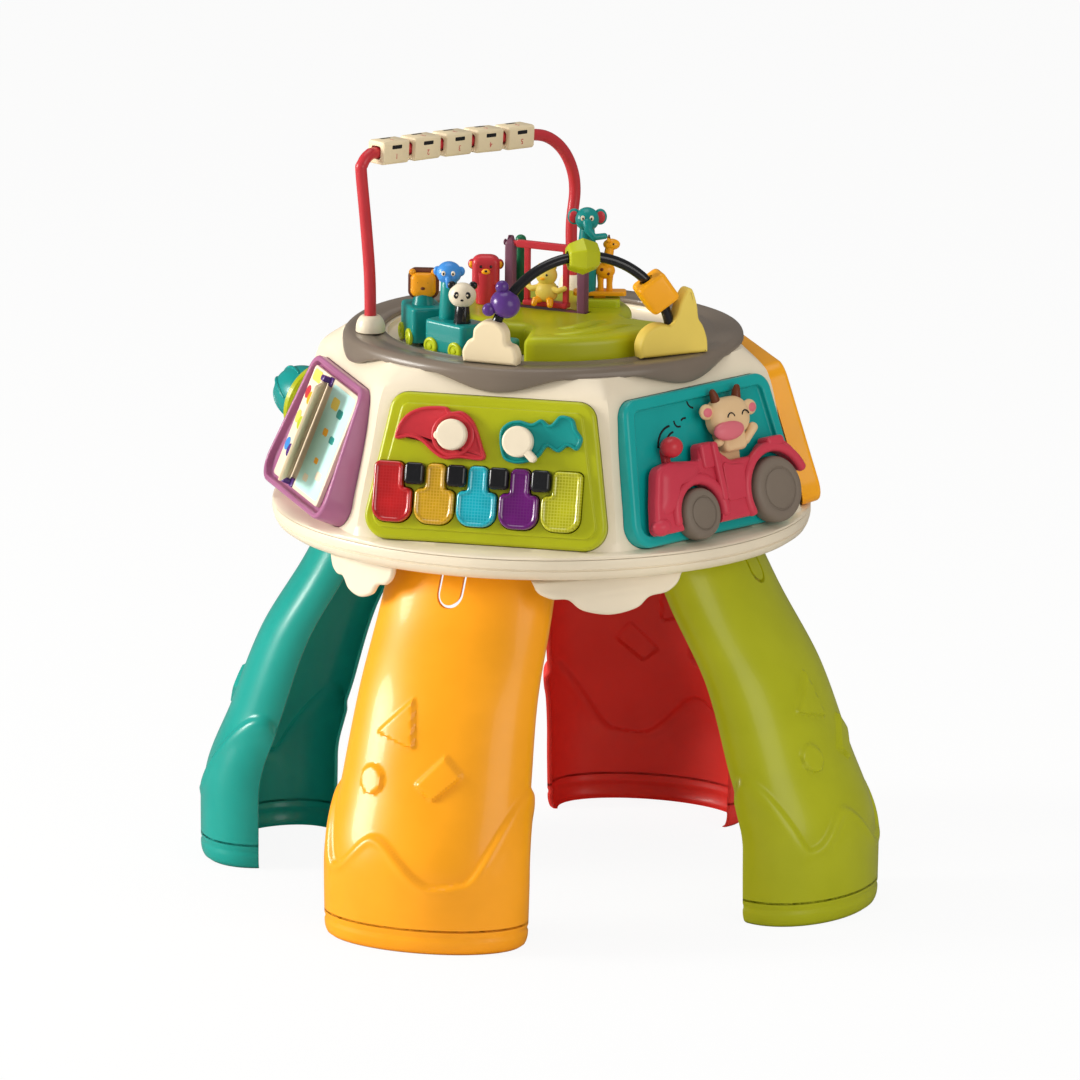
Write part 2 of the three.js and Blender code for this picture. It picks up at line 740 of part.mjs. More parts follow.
// Key outline with its upper corners cut back beside the black keys
function keyOutline(i, grow) {
  const half = KEY_WIDTH / 2 + grow;
  const x = keyX(i);
  const neck = KEY_PITCH / 2 - BLACK_HALF_WIDTH - 2 * KEY_GAP + grow;
  const left = i > 0 ? neck : half;
  const right = i < KEYS.length - 1 ? neck : half;
  const shoulder = KEY_TOP - BLACK_HEIGHT - 2 * KEY_GAP - 1 + grow;
  const top = KEY_TOP + grow;
  const bottom = KEY_TOP - KEY_HEIGHT - grow;
  const small = 2;
  const corners = [[x - half, bottom, KEY_CORNER], [x + half, bottom, KEY_CORNER]];
  if (right < half) {
    corners.push([x + half, shoulder, small], [x + right, shoulder, small / 2]);
  }
  corners.push([x + right, top, small]);
  corners.push([x - left, top, small]);
  if (left < half) {
    corners.push([x - left, shoulder, small / 2], [x - half, shoulder, small]);
  }
  return roundedOutline(corners, 2);
}

function keyBody(i) {
  const slab = domed(outline(keyOutline(i, 0)), KEY_BACK, KEY_PROUD, 1.6);
  const tabHalf = KEY_PITCH / 2 - BLACK_HALF_WIDTH - 3 * KEY_GAP;
  const tab = brick(2 * tabHalf, 6, WALL, keyX(i), KEY_TOP + 1.5, -FACE_THICK - REST_GAP - WALL);
  const lug = drum(2.6, KEY_LUG_BACK, KEY_BACK + SINK, 6, keyX(i), KEY_LUG_Y);
  return join(slab, tab, lug);
}

function blackKeys() {
  const bar = { top: -8.5, bottom: -10.8 };
  const middleY = KEY_TOP - BLACK_HEIGHT / 2;
  const first = keyX(0) + KEY_PITCH / 2;
  const last = keyX(3) + KEY_PITCH / 2;
  let body = brick(last - first + 6, 4, bar.top - bar.bottom, (first + last) / 2, middleY, bar.bottom);
  for (let i = 0; i < 4; i += 1) {
    const x = keyX(i) + KEY_PITCH / 2;
    const head = domed(outline(roundedBox(BLACK_HALF_WIDTH, BLACK_HEIGHT / 2, 2.6, x, middleY)),
      REST_GAP, BLACK_PROUD, 1.2);
    const peg = drum(2, bar.top - SINK, REST_GAP + SINK, 6, x, middleY);
    body = join(body, head, peg);
  }
  return body;
}

function pianoPanel() {
  const panel = PANELS.piano;
  let box = panelBox(panel, PANEL_DEPTH, 0);
  KEYS.forEach((key, i) => {
    const hole = raised(outline(keyOutline(i, KEY_GAP)), -OVERRUN / 2, OVERRUN / 2);
    box = cut(box, hole);
  });
  for (let i = 0; i < 4; i += 1) {
    const x = keyX(i) + KEY_PITCH / 2;
    box = cut(box, drum(2 + TURN_GAP, -2 * FACE_THICK, WALL, 6, x, KEY_TOP - BLACK_HEIGHT / 2));
  }
  [HORN, GUITAR].forEach(({ x, y }) => {
    box = cut(box, stemHole(KNOB_STEM, 0, 8, x, y));
  });
  [[-1, BOARD_BOTTOM + 3], [1, BOARD_BOTTOM + 3], [-1, 5], [1, 5]].forEach(([side, y]) => {
    const x = side * (BOARD_HALF_X - 4) + (side < 0 ? -6 : 4);
    if (y < 0) {
      box = join(box, drum(POST_RADIUS, -FACE_THICK - POST_LENGTH, -FACE_THICK + SINK, 6, x, y));
    }
  });
  return box;
}

function soundBoard() {
  const top = -FACE_THICK - POST_LENGTH - REST_GAP;
  const height = BOARD_TOP - BOARD_BOTTOM;
  const half = BOARD_HALF_X + 6;
  let board = brick(2 * half, height, BOARD_THICK, 0, (BOARD_TOP + BOARD_BOTTOM) / 2,
    top - BOARD_THICK);
  KEYS.forEach((key, i) => {
    board = join(board, drum(SWITCH_RADIUS, top - SINK, top + SWITCH_HEIGHT, 8, keyX(i), KEY_LUG_Y));
  });
  return board;
}

function knobPlate({ x, y }, shares, size) {
  const plate = domed(outline(scaled(shares, size, size, x, y)), REST_GAP, PLATE_THICK, 1);
  return cut(plate, stemHole(KNOB_STEM, PLATE_THICK, 8, x, y));
}

function knob({ x, y }, noseX, noseY) {
  const bottom = PLATE_THICK + REST_GAP;
  const top = bottom + KNOB_HEIGHT;
  const cap = domed(outline(circlePoints(KNOB_RADIUS, 14, x, y)), bottom, top, 2);
  const nose = brick(4, 13, 5, 0, KNOB_RADIUS, bottom + 1);
  const aim = Math.atan2(-noseX, noseY);
  const noseShape = geometryOf(nose).applyMatrix4(turned(aim));
  const shaft = drum(KNOB_STEM, -FACE_THICK - REST_GAP - BARB_LENGTH, bottom + SINK, 8, x, y);
  const barb = drum(KNOB_STEM + STEM_BARB, -FACE_THICK - REST_GAP - BARB_LENGTH,
    -FACE_THICK - REST_GAP, 8, x, y);
  return join(cap, solid(shift(noseShape, x, y, 0)), shaft, barb);
}

function addPiano() {
  const matrix = panelMatrix(PANELS.piano);
  add("piano_panel", pianoPanel(), LIME, 0.38, matrix);
  KEYS.forEach((key, i) => add(key.name, keyBody(i), key.colour, 0.12, matrix));
  add("black_keys", blackKeys(), BLACK, 0.3, matrix);
  add("sound_board", soundBoard(), BOARD_GREEN, 0.6, matrix);
  add("horn_plate", knobPlate(HORN, HORN_SHARES, HORN_SIZE), HORN.colour, 0.35, matrix);
  add("guitar_plate", knobPlate(GUITAR, GUITAR_SHARES, GUITAR_SIZE), GUITAR.colour, 0.35, matrix);
  add("horn_knob", knob(HORN, -1, -0.45), WHITE, 0.35, matrix);
  add("guitar_knob", knob(GUITAR, 0.72, -0.7), WHITE, 0.35, matrix);
}

// Tractor panel
const REAR_WHEEL = { x: 50.5, y: -29, radius: 22.5, arch: 26 };
const FRONT_WHEEL = { x: -25.5, y: -34, radius: 17.5, arch: 20 };
const WHEEL_OUT = 12;
const WHEEL_STEM = 3.5;
const TRACTOR_OUT = 9;
const TRACTOR_PEGS = [[-56, -24], [12, -32], [43, -1.2], [60, -1.2]];
const AXLE_BOSS = 9;
const TRACTOR_WIDTH = 142;
const TRACTOR_HEIGHT = 56;
const TRACTOR_SHARES = [
  [-0.43, 0.02], [-0.45, 0.125], [-0.44, 0.3], [-0.46, 0.5], [-0.445, 0.7], [-0.395, 0.8],
  [-0.3, 0.84], [-0.21, 0.8], [-0.14, 0.77], [-0.12, 0.875], [-0.105, 0.99], [-0.035, 1],
  [0.007, 0.91], [0.056, 0.777], [0.127, 0.741], [0.211, 0.714], [0.26, 0.709], [0.296, 0.804],
  [0.352, 0.839], [0.415, 0.83], [0.472, 0.768], [0.514, 0.607], [0.52, 0.5], [0.34, 0.08],
  [0.2, 0.02], [0.1, 0.02],
];
const TRACTOR_Y = -44;
const COW = { x: 21, y: -9, headY: 25, headWidth: 37 };
const COW_CLEAR = 13;
const LEVER = { x: -39, y: -8, ballY: 14, ballRadius: 8.2 };
const PIVOT_RADIUS = 2.4;

function tractorPanel() {
  let box = panelBox(PANELS.tractor, PANEL_DEPTH, RECESS);
  [REAR_WHEEL, FRONT_WHEEL].forEach(({ x, y }) => {
    box = join(box, drum(AXLE_BOSS, -RECESS - SINK, 0, 10, x, y));
    box = cut(box, stemHole(WHEEL_STEM, 0, 8, x, y));
  });
  [COW, LEVER].forEach(({ x, y }) => {
    box = cut(box, stemHole(PIVOT_RADIUS, -RECESS, 8, x, y));
  });
  return box;
}

function tractorBody() {
  const points = scaled(TRACTOR_SHARES, TRACTOR_WIDTH, TRACTOR_HEIGHT, 0, TRACTOR_Y);
  let body = domed(outline(points), REST_GAP, TRACTOR_OUT, 2);
  [REAR_WHEEL, FRONT_WHEEL].forEach(({ x, y, arch }) => {
    body = cut(body, drum(arch, -WALL, TRACTOR_OUT + WALL, 20, x, y));
  });
  TRACTOR_PEGS.forEach(([x, y]) => {
    body = join(body, drum(WALL, REST_GAP - RECESS, REST_GAP + SINK, 6, x, y));
  });
  return body;
}

function wheel({ x, y, radius }) {
  const tyre = domed(outline(circlePoints(radius, 18, x, y)), REST_GAP, WHEEL_OUT, 2.4);
  const groove = cut(drum(radius * 0.66, WHEEL_OUT - 1.2, WHEEL_OUT + WALL, 12, x, y),
    drum(radius * 0.56, WHEEL_OUT - 2 * WALL, WHEEL_OUT + 2 * WALL, 12, x, y));
  const back = -RECESS - FACE_THICK - REST_GAP;
  const shaft = drum(WHEEL_STEM, back - BARB_LENGTH, REST_GAP + SINK, 8, x, y);
  const barb = drum(WHEEL_STEM + STEM_BARB, back - BARB_LENGTH, back, 8, x, y);
  return join(cut(tyre, groove), shaft, barb);
}

function cow() {
  const bottom = -RECESS + REST_GAP;
  const half = COW.headWidth / 2;
  const tail = raised(outline(roundedOutline([[COW.x - 8, COW.y - 4, 3], [COW.x + 8, COW.y - 4, 3],
    [COW.x + 11, COW.y + 30, 3], [COW.x - 11, COW.y + 30, 3]])), bottom, -REST_GAP);
  const head = ball(half, COW.x, COW.headY, 4, [1, 0.86, 0.42], 12);
  const chest = ball(13, COW.x, COW.headY - 13, 1.5, [1, 0.9, 0.4]);
  const muzzle = ball(9.5, COW.x - 3, COW.headY - 8, 9, [1.1, 0.75, 0.6]);
  const horns = [-1, 1].map((side) => {
    return ball(4, COW.x + side * 8, COW.headY + 15.5, 3, [1, 1.3, 0.8], 8);
  });
  const ears = [-1, 1].map((side) => {
    return ball(5, COW.x + side * 18.5, COW.headY + 6, 3, [1.4, 0.8, 0.5], 8);
  });
  const flat = brick(90, 90, 20, COW.x, COW.headY, REST_GAP - 20);
  const lap = brick(90, 60, 60, COW.x, COW.y + COW_CLEAR - 30, REST_GAP);
  const face = cut(join(head, chest, muzzle, ...horns, ...ears), flat, lap);
  const neck = brick(16, 8, RECESS + 2, COW.x, COW.y + 26, bottom);
  return join(tail, neck, face, stem(PIVOT_RADIUS, -RECESS, 8, COW.x, COW.y));
}

function lever() {
  const bottom = -RECESS + REST_GAP;
  const arm = raised(outline(roundedBox(3, 13, 2.5, LEVER.x, LEVER.y + 9)), bottom, -REST_GAP);
  const knobBall = ball(LEVER.ballRadius, LEVER.x, LEVER.ballY, LEVER.ballRadius - RECESS + 1, [1, 1, 0.9], 10);
  return join(arm, knobBall, stem(PIVOT_RADIUS, -RECESS, 8, LEVER.x, LEVER.y));
}

function addTractor() {
  const matrix = panelMatrix(PANELS.tractor);
  add("tractor_panel", tractorPanel(), TEAL, 0.38, matrix);
  add("tractor_body", tractorBody(), CRIMSON, 0.42, matrix);
  add("wheel_front", wheel(FRONT_WHEEL), TYRE, 0.55, matrix);
  add("wheel_rear", wheel(REAR_WHEEL), TYRE, 0.55, matrix);
  add("cow", cow(), CREAM, 0.45, matrix);
  add("lever_ball", lever(), RED, 0.35, matrix);
}

// Book panel
const BOOK_SPINE = -14;
const BOOK_LEFT = -55;
const BOOK_RIGHT = 53;
const BOOK_HALF_HEIGHT = 40;
const BOOK_EDGE = 4;
const BOOK_RECESS = 5;
const PAGE_THICK = 3;
const LEAF_THICK = 2;
const LEAF_LIFT = degrees(24);
const SPINE_RADIUS = 2.6;
const LEAF_WIDTH = 46;

function bookFrame() {
  return panelBox(PANELS.book, PANEL_DEPTH + BOOK_RECESS, BOOK_RECESS, BOOK_EDGE);
}

function bookSpread() {
  const bottom = -BOOK_RECESS + REST_GAP;
  const middle = (BOOK_LEFT + BOOK_RIGHT) / 2;
  const half = (BOOK_RIGHT - BOOK_LEFT) / 2;
  let page = raised(outline(roundedBox(half, BOOK_HALF_HEIGHT, 3, middle, 0)), bottom,
    bottom + PAGE_THICK, 0.6, 3, 1);
  [-1, 1].forEach((side) => {
    const y = side * (BOOK_HALF_HEIGHT - 3);
    const post = brick(7, 4, 8, BOOK_SPINE, y, bottom + PAGE_THICK - SINK);
    page = join(page, post);
  });
  const hole = new THREE.CylinderGeometry(SPINE_RADIUS - 1 + TURN_GAP, SPINE_RADIUS - 1 + TURN_GAP,
    2 * BOOK_HALF_HEIGHT - 4, 10);
  const axisHeight = bottom + PAGE_THICK + 4;
  return cut(page, solid(shift(hole, BOOK_SPINE, 0, axisHeight)));
}

function bookLeaf() {
  const axisHeight = -BOOK_RECESS + REST_GAP + PAGE_THICK + 4;
  const length = 2 * (BOOK_HALF_HEIGHT - 5 - SLIDE_GAP);
  const roll = new THREE.CylinderGeometry(SPINE_RADIUS, SPINE_RADIUS, length, 10);
  const pin = new THREE.CylinderGeometry(SPINE_RADIUS - 1, SPINE_RADIUS - 1, length + 5, 10);
  const sheet = raised(outline(roundedBox(LEAF_WIDTH / 2, length / 2, 4, LEAF_WIDTH / 2, 0)),
    -LEAF_THICK / 2, LEAF_THICK / 2, 0.4, 3, 1);
  const lifted = geometryOf(sheet).applyMatrix4(new THREE.Matrix4().makeRotationY(-LEAF_LIFT));
  const leaf = join(solid(roll), solid(pin), solid(lifted));
  return solid(shift(geometryOf(leaf), BOOK_SPINE, 0, axisHeight));
}

function addBook() {
  const matrix = panelMatrix(PANELS.book);
  add("book_frame", bookFrame(), PURPLE, 0.38, matrix);
  add("book_spread", bookSpread(), WHITE, 0.5, matrix);
  add("book_leaf", bookLeaf(), CREAM, 0.45, matrix);
}

// Clock panel
const DIAL = { x: 4, y: -4, radius: 36, thick: 7 };
const HAND_THICK = 2.6;
const HAND_STEM = 3;
const HAND_SHARES = [[-0.09, -0.16], [0.09, -0.16], [0.11, 0.55], [0.24, 0.6], [0, 1], [-0.24, 0.6],
  [-0.11, 0.55]];

function clockDial() {
  const bottom = -RECESS + REST_GAP;
  const disc = domed(outline(circlePoints(DIAL.radius, 20, DIAL.x, DIAL.y)), bottom,
    bottom + DIAL.thick, 1.6);
  return cut(disc, drum(HAND_STEM + TURN_GAP, -OVERRUN, OVERRUN, 10, DIAL.x, DIAL.y));
}

function hand(length, bottom, hub, hole) {
  const points = scaled(HAND_SHARES, length * 0.7, length, DIAL.x, DIAL.y);
  const blade = raised(outline(points), bottom, bottom + HAND_THICK);
  const boss = drum(hub, bottom, bottom + HAND_THICK, 10, DIAL.x, DIAL.y);
  const body = join(blade, boss);
  return hole ? cut(body, drum(hole, bottom - WALL, bottom + 2 * WALL, 10, DIAL.x, DIAL.y)) : body;
}

function addClock() {
  const matrix = panelMatrix(PANELS.clock);
  const box = cut(panelBox(PANELS.clock, PANEL_DEPTH, RECESS), stemHole(HAND_STEM, -RECESS, 10,
    DIAL.x, DIAL.y));
  const dialTop = -RECESS + REST_GAP + DIAL.thick;
  const hourBottom = dialTop + REST_GAP;
  const minuteBottom = hourBottom + HAND_THICK + REST_GAP;
  const shaftBottom = -RECESS - FACE_THICK - REST_GAP - BARB_LENGTH;
  const shaft = drum(HAND_STEM, shaftBottom, minuteBottom + SINK, 10, DIAL.x, DIAL.y);
  const barb = drum(HAND_STEM + STEM_BARB, shaftBottom, shaftBottom + BARB_LENGTH, 10, DIAL.x, DIAL.y);
  const cap = ball(5.5, DIAL.x, DIAL.y, minuteBottom + HAND_THICK, [1, 1, 0.7]);
  const hourHand = hand(20, hourBottom, 6, HAND_STEM + TURN_GAP);
  const turnedHour = turned(degrees(-110));
  const home = shift(geometryOf(hourHand), -DIAL.x, -DIAL.y, 0).applyMatrix4(turnedHour);
  add("clock_panel", box, ORANGE, 0.38, matrix);
  add("clock_dial", clockDial(), WHITE, 0.45, matrix);
  add("hour_hand", solid(shift(home, DIAL.x, DIAL.y, 0)), TEAL, 0.35, matrix);
  add("minute_hand", join(hand(29, minuteBottom, 5, 0), shaft, barb, cutCap(cap, minuteBottom)),
    CRIMSON, 0.35, matrix);
}

function cutCap(cap, bottom) {
  return cut(cap, brick(30, 30, 20, DIAL.x, DIAL.y, bottom - 20));
}

// Gear panel, on the side away from the camera
const GEAR_MODULE = 3.4;
const GEAR_THICK = 8;
const GEARS = {
  large: { teeth: 16, x: -20, y: -3, colour: AMBER },
  small: { teeth: 10, colour: TEAL },
};
const TOOTH_TIP = 0.8;
const TOOTH_ROOT = 1.1;

function gearPoints(teeth, x, y, phase) {
  const pitch = (GEAR_MODULE * teeth) / 2;
  const root = pitch - TOOTH_ROOT * GEAR_MODULE;
  const tip = pitch + TOOTH_TIP * GEAR_MODULE;
  const points = [];
  const step = (2 * Math.PI) / teeth;
  const shares = [[-0.29, root], [-0.12, tip], [0.12, tip], [0.29, root]];
  for (let i = 0; i < teeth; i += 1) {
    shares.forEach(([share, radius]) => {
      const angle = phase + (i + share) * step;
      points.push([x + radius * Math.cos(angle), y + radius * Math.sin(angle)]);
    });
  }
  return points;
}

function gear(teeth, x, y, phase) {
  const bottom = -RECESS + REST_GAP;
  const wheelBody = raised(outline(gearPoints(teeth, x, y, phase)), bottom, bottom + GEAR_THICK);
  const cap = ball(6, x, y, bottom + GEAR_THICK, [1, 1, 0.7]);
  const hub = cut(cap, brick(30, 30, 20, x, y, bottom + GEAR_THICK / 2 - 20));
  return join(wheelBody, hub, stem(WHEEL_STEM, -RECESS, 8, x, y));
}

function addGears() {
  const matrix = panelMatrix(PANELS.gear);
  const { large, small } = GEARS;
  const spacing = (GEAR_MODULE * (large.teeth + small.teeth)) / 2;
  const smallX = large.x + spacing;
  const smallPhase = Math.PI + Math.PI / small.teeth;
  let box = panelBox(PANELS.gear, PANEL_DEPTH, RECESS);
  box = cut(box, stemHole(WHEEL_STEM, -RECESS, 8, large.x, large.y));
  box = cut(box, stemHole(WHEEL_STEM, -RECESS, 8, smallX, large.y));
  add("gear_panel", box, CRIMSON, 0.38, matrix);
  add("gear_large", gear(large.teeth, large.x, large.y, 0), large.colour, 0.4, matrix);
  add("gear_small", gear(small.teeth, smallX, large.y, smallPhase), small.colour, 0.4, matrix);
}

// Spinner panel: a dome on a wide collar that stands well clear of the side
const SPIN = { x: 22, y: -22, out: 34, collar: 26, dome: 20, stretch: 1.45, pedestal: 15 };
const COLLAR_THICK = 5;
const SPIN_STEM = 6;

function addSpinner() {
  const matrix = panelMatrix(PANELS.spinner);
  const seat = SPIN.out - TURN_GAP;
  let box = panelBox(PANELS.spinner, PANEL_DEPTH, RECESS);
  box = join(box, drum(SPIN.pedestal + 3, -RECESS - SINK, seat, 12, SPIN.x, SPIN.y, SPIN.pedestal - 3));
  box = cut(box, drum(SPIN_STEM + TURN_GAP, -OVERRUN, OVERRUN, 12, SPIN.x, SPIN.y));
  const collarTop = SPIN.out + COLLAR_THICK;
  const collar = raised(outline(circlePoints(SPIN.collar, 18, SPIN.x, SPIN.y)), SPIN.out, collarTop);
  const globe = ball(SPIN.dome, SPIN.x, SPIN.y, collarTop, [1, 1, SPIN.stretch], 16);
  const dome = cut(globe, brick(90, 90, 60, SPIN.x, SPIN.y, SPIN.out + COLLAR_THICK / 2 - 60));
  const back = -RECESS - FACE_THICK - REST_GAP;
  const shaft = drum(SPIN_STEM, back - BARB_LENGTH, SPIN.out + SINK, 12, SPIN.x, SPIN.y);
  const barb = drum(SPIN_STEM + STEM_BARB, back - BARB_LENGTH, back, 12, SPIN.x, SPIN.y);
  add("spinner_panel", box, PALE_LIME, 0.4, matrix);
  add("spinner_dome", join(collar, dome, shaft, barb), TEAL, 0.3, matrix);
}

// Tray: track plate and the wavy ring that covers its edge
const FLANGE_TOP = 379.7;
const RING_INNER = 108;
const RING_OUTER = 136;
const RING_WALL = 2.2;
const RING_DROP = 11.2;
const RING_LOW = 377.6;
const RING_BOTTOM = 380;
const DRIP_SHARPNESS = 1.6;
const TRAIN_RADIUS = 84;
const SLOT_HALF = 3;
const SLOT_START = degrees(-214);
const SLOT_END = degrees(-29);

function ringSection(angle) {
  const drip = ((1 + Math.cos(PANEL_COUNT * angle)) / 2) ** DRIP_SHARPNESS;
  const low = RING_LOW - RING_DROP * drip;
  const sway = Math.cos(PANEL_COUNT * angle);
  const outer = RING_OUTER + sway;
  const wallIn = outer - RING_WALL;
  const soft = 2;
  return [
    [RING_INNER, RING_BOTTOM], [RING_INNER, TRAY_TOP], [outer - 2 * soft, TRAY_TOP],
    [outer, TRAY_TOP - soft], [outer, low], [wallIn, low], [wallIn, RING_BOTTOM],
  ].reverse();
}

function arcBand(inner, outer, start, end, steps) {
  const points = [];
  for (let i = 0; i <= steps; i += 1) {
    const angle = start + ((end - start) * i) / steps;
    points.push([outer * Math.sin(angle), -outer * Math.cos(angle)]);
  }
  for (let i = steps; i >= 0; i -= 1) {
    const angle = start + ((end - start) * i) / steps;
    points.push([inner * Math.sin(angle), -inner * Math.cos(angle)]);
  }
  return points;
}

function trackPlate() {
  const lip = FLANGE_TOP;
  const under = SHELL_BOTTOM + SHELL_HEIGHT + REST_GAP;
  const wallIn = RING_INNER - THIN_WALL;
  const plate = spun([
    [0, TRACK_TOP - WALL], [RING_INNER + THIN_WALL, TRACK_TOP - WALL], [RING_INNER + THIN_WALL, under],
    [FLANGE_RADIUS + 4 * WALL, under], [FLANGE_RADIUS + 4 * WALL, lip], [wallIn, lip],
    [wallIn, TRACK_TOP], [0, TRACK_TOP],
  ], 30);
  const slot = raised(outline(arcBand(TRAIN_RADIUS - SLOT_HALF, TRAIN_RADIUS + SLOT_HALF, SLOT_START,
    SLOT_END, 18)), TRACK_TOP - 2 * WALL, TRACK_TOP + WALL);
  return cut(plate, slot);
}

// Hill: an island in the middle of the track with a lobe to the front right
const HILL_HEIGHT = 21;
const HILL_RADIUS = 60;
const HILL_REACH = 101;
const HILL_CORNER = 5;
const HILL_LOBE_START = degrees(6);
const HILL_LOBE_END = degrees(76);
const STEP = { x: 35, y: 17, turn: degrees(13.7), halfX: 14, halfY: 10, height: 5 };
const SWING = { x: 3.5, y: -6, half: 27, turn: degrees(-11), post: 4.2, height: 48 };
const SWING_BASE = 3;
const SWING_AXLE = 43;
const SWING_PIN = 2;
const PEG = 2.5;
const SEESAW_AXLE = 1.6;
const SEESAW_PIN = 1.6;

function hillPoints(grow) {
  const arc = (radius, start, end, steps) => {
    const points = [];
    for (let i = 0; i <= steps; i += 1) {
      const angle = start + ((end - start) * i) / Math.max(steps, 1);
      points.push([(radius + grow) * Math.sin(angle), -(radius + grow) * Math.cos(angle)]);
    }
    return points;
  };
  const inset = -grow / HILL_REACH;
  const corner = degrees(4);
  const from = HILL_LOBE_START + inset;
  const to = HILL_LOBE_END - inset;
  return [
    ...arc(HILL_REACH - HILL_CORNER, from, from, 0),
    ...arc(HILL_REACH, from + corner, to - corner, 5),
    ...arc(HILL_REACH - HILL_CORNER, to, to, 0),
    ...arc(HILL_RADIUS, to + degrees(1), from - degrees(1) + 2 * Math.PI, 16),
  ];
}

function placeAt(body, { x, y, turn = 0 }, height) {
  const geometry = geometryOf(body).applyMatrix4(turned(turn));
  return solid(shift(geometry, x, y, height));
}

function hillTop() {
  return TRACK_TOP + REST_GAP + HILL_HEIGHT;
}

function addHill() {
  const bottom = TRACK_TOP + REST_GAP;
  let hill = domed(outline(hillPoints(0)), bottom, hillTop(), 4);
  const step = domed(outline(roundedBox(STEP.halfX, STEP.halfY, 4)), -SINK, STEP.height, 1.2);
  hill = join(hill, placeAt(step, STEP, hillTop()));
  hill = cut(hill, raised(outline(hillPoints(-THIN_WALL - 2)), bottom - WALL, hillTop() - SWING_BASE - 2 * WALL));
  const trough = brick(2 * (SWING.half + SWING.post + SLIDE_GAP), 2 * (SWING.post + SLIDE_GAP),
    OVERRUN, 0, 0, -SWING_BASE - REST_GAP);
  hill = cut(hill, placeAt(trough, SWING, hillTop()));
  const slotBody = brick(2 * STEP.halfX, 5, OVERRUN, 0, 0, STEP.height - 7);
  hill = cut(hill, placeAt(slotBody, STEP, hillTop()));
  const eyes = crossPin(SEESAW_PIN + TURN_GAP, 18, 8, 0, 0, 0);
  const across = geometryOf(eyes).applyMatrix4(turned(STEP.turn + Math.PI / 2));
  hill = cut(hill, solid(shift(across, STEP.x, STEP.y, hillTop() + SEESAW_AXLE)));
  add("hill", hill, LIME, 0.35);
}

function addSwing() {
  const top = SWING.height;
  const postShape = (side) => {
    const leg = brick(2 * SWING.post, 2 * SWING.post, top + SWING_BASE - 4, side * SWING.half, 0, -SWING_BASE);
    const tip = drum(SWING.post * 1.1, top - 4 - SINK, top, 4, 0, 0, 1.2);
    const square = geometryOf(tip).applyMatrix4(turned(Math.PI / 4));
    return join(leg, solid(shift(square, side * SWING.half, 0, 0)));
  };
  const base = brick(2 * SWING.half, 2 * SWING.post, SWING_BASE - REST_GAP, 0, 0, -SWING_BASE);
  let frame = join(postShape(-1), postShape(1), base);
  frame = cut(frame, crossPin(SWING_PIN + TURN_GAP, 2 * SWING.half + 2, 8, 0, 0, SWING_AXLE));
  add("swing_frame", placeAt(frame, SWING, hillTop()), PURPLE, 0.4);
  const inner = SWING.half - SWING.post - SLIDE_GAP;
  const axle = crossPin(SWING_PIN, 2 * SWING.half - 1, 8, 0, 0, SWING_AXLE);
  const bar = brick(2 * inner, 4.4, 5, 0, 0, SWING_AXLE - 2.5);
  const sideBar = (side) => brick(4, 3.6, SWING_AXLE - 2, side * (inner - 8), 0, 1.6);
  const seat = brick(2 * (inner - 6), 8.6, 3.6, 0, 0, 1.6);
  const belly = ball(8, 0, 0, 11.5, [1, 0.8, 1]);
  const head = ball(7.5, 0, 0, 23, [1, 0.9, 0.95]);
  const arms = crossPin(2, 2 * (inner - 8), 6, 0, 0, 14);
  const body = join(axle, bar, sideBar(-1), sideBar(1), seat, belly, head, arms);
  add("swing_seat", placeAt(body, SWING, hillTop()), RED, 0.4);
}

function addSeesaw() {
  const plank = brick(36, 12, 3, 0, 0, STEP.height + 1.8);
  const lug = brick(8, 4, 9.5, 0, 0, STEP.height - 5.2);
  const pin = geometryOf(crossPin(SEESAW_PIN, 9, 8, 0, 0, 0)).applyMatrix4(turned(Math.PI / 2));
  const deck = STEP.height + 4.4;
  const giraffeLegs = [-1, 1].map((side) => brick(3, 5, 12, 3.5 + side * 3, 0, deck));
  const giraffeBody = ball(5.5, 3.5, 0, deck + 14, [1.15, 0.8, 0.9]);
  const giraffeNeck = solid(shift(new THREE.BoxGeometry(4, 4, 18).rotateY(0.16), 5.4, 0, deck + 23));
  const giraffeHead = ball(4, 7.5, 0, deck + 32, [1.4, 0.8, 0.8], 6);
  const elephantBody = drum(6.6, deck, deck + 43, 8, -9, 0, 5.4);
  const elephantHead = ball(8, -9, 0, deck + 49.5, [1, 0.95, 1], 10);
  const elephantEars = [-1, 1].map((side) => ball(4.6, -9 + side * 8.2, 1.5, deck + 51, [0.9, 0.5, 1.1], 6));
  const trunk = ball(3.4, -1.5, -5.5, deck + 40, [2, 0.8, 0.8], 6);
  const body = join(plank, lug, solid(shift(pin, 0, 0, SEESAW_AXLE)), ...giraffeLegs, giraffeBody, giraffeNeck,
    giraffeHead, elephantBody, elephantHead, ...elephantEars, trunk);
  add("seesaw", placeAt(body, STEP, hillTop()), ORANGE, 0.4);
}

const CUP = { x: -40, y: -2 };

function addPeeker() {
  const base = hillTop() + REST_GAP;
  const bodyPart = drum(7, base, base + 25, 8, CUP.x, CUP.y, 8);
  const headPart = ball(9, CUP.x, CUP.y, base + 25, [1, 0.9, 0.8]);
  const ears = [-1, 1].map((side) => ball(3, CUP.x + side * 8.5, CUP.y, base + 27, [1, 0.7, 1.2]));
  add("fox_figure", join(bodyPart, headPart, ...ears), RED, 0.4);
}

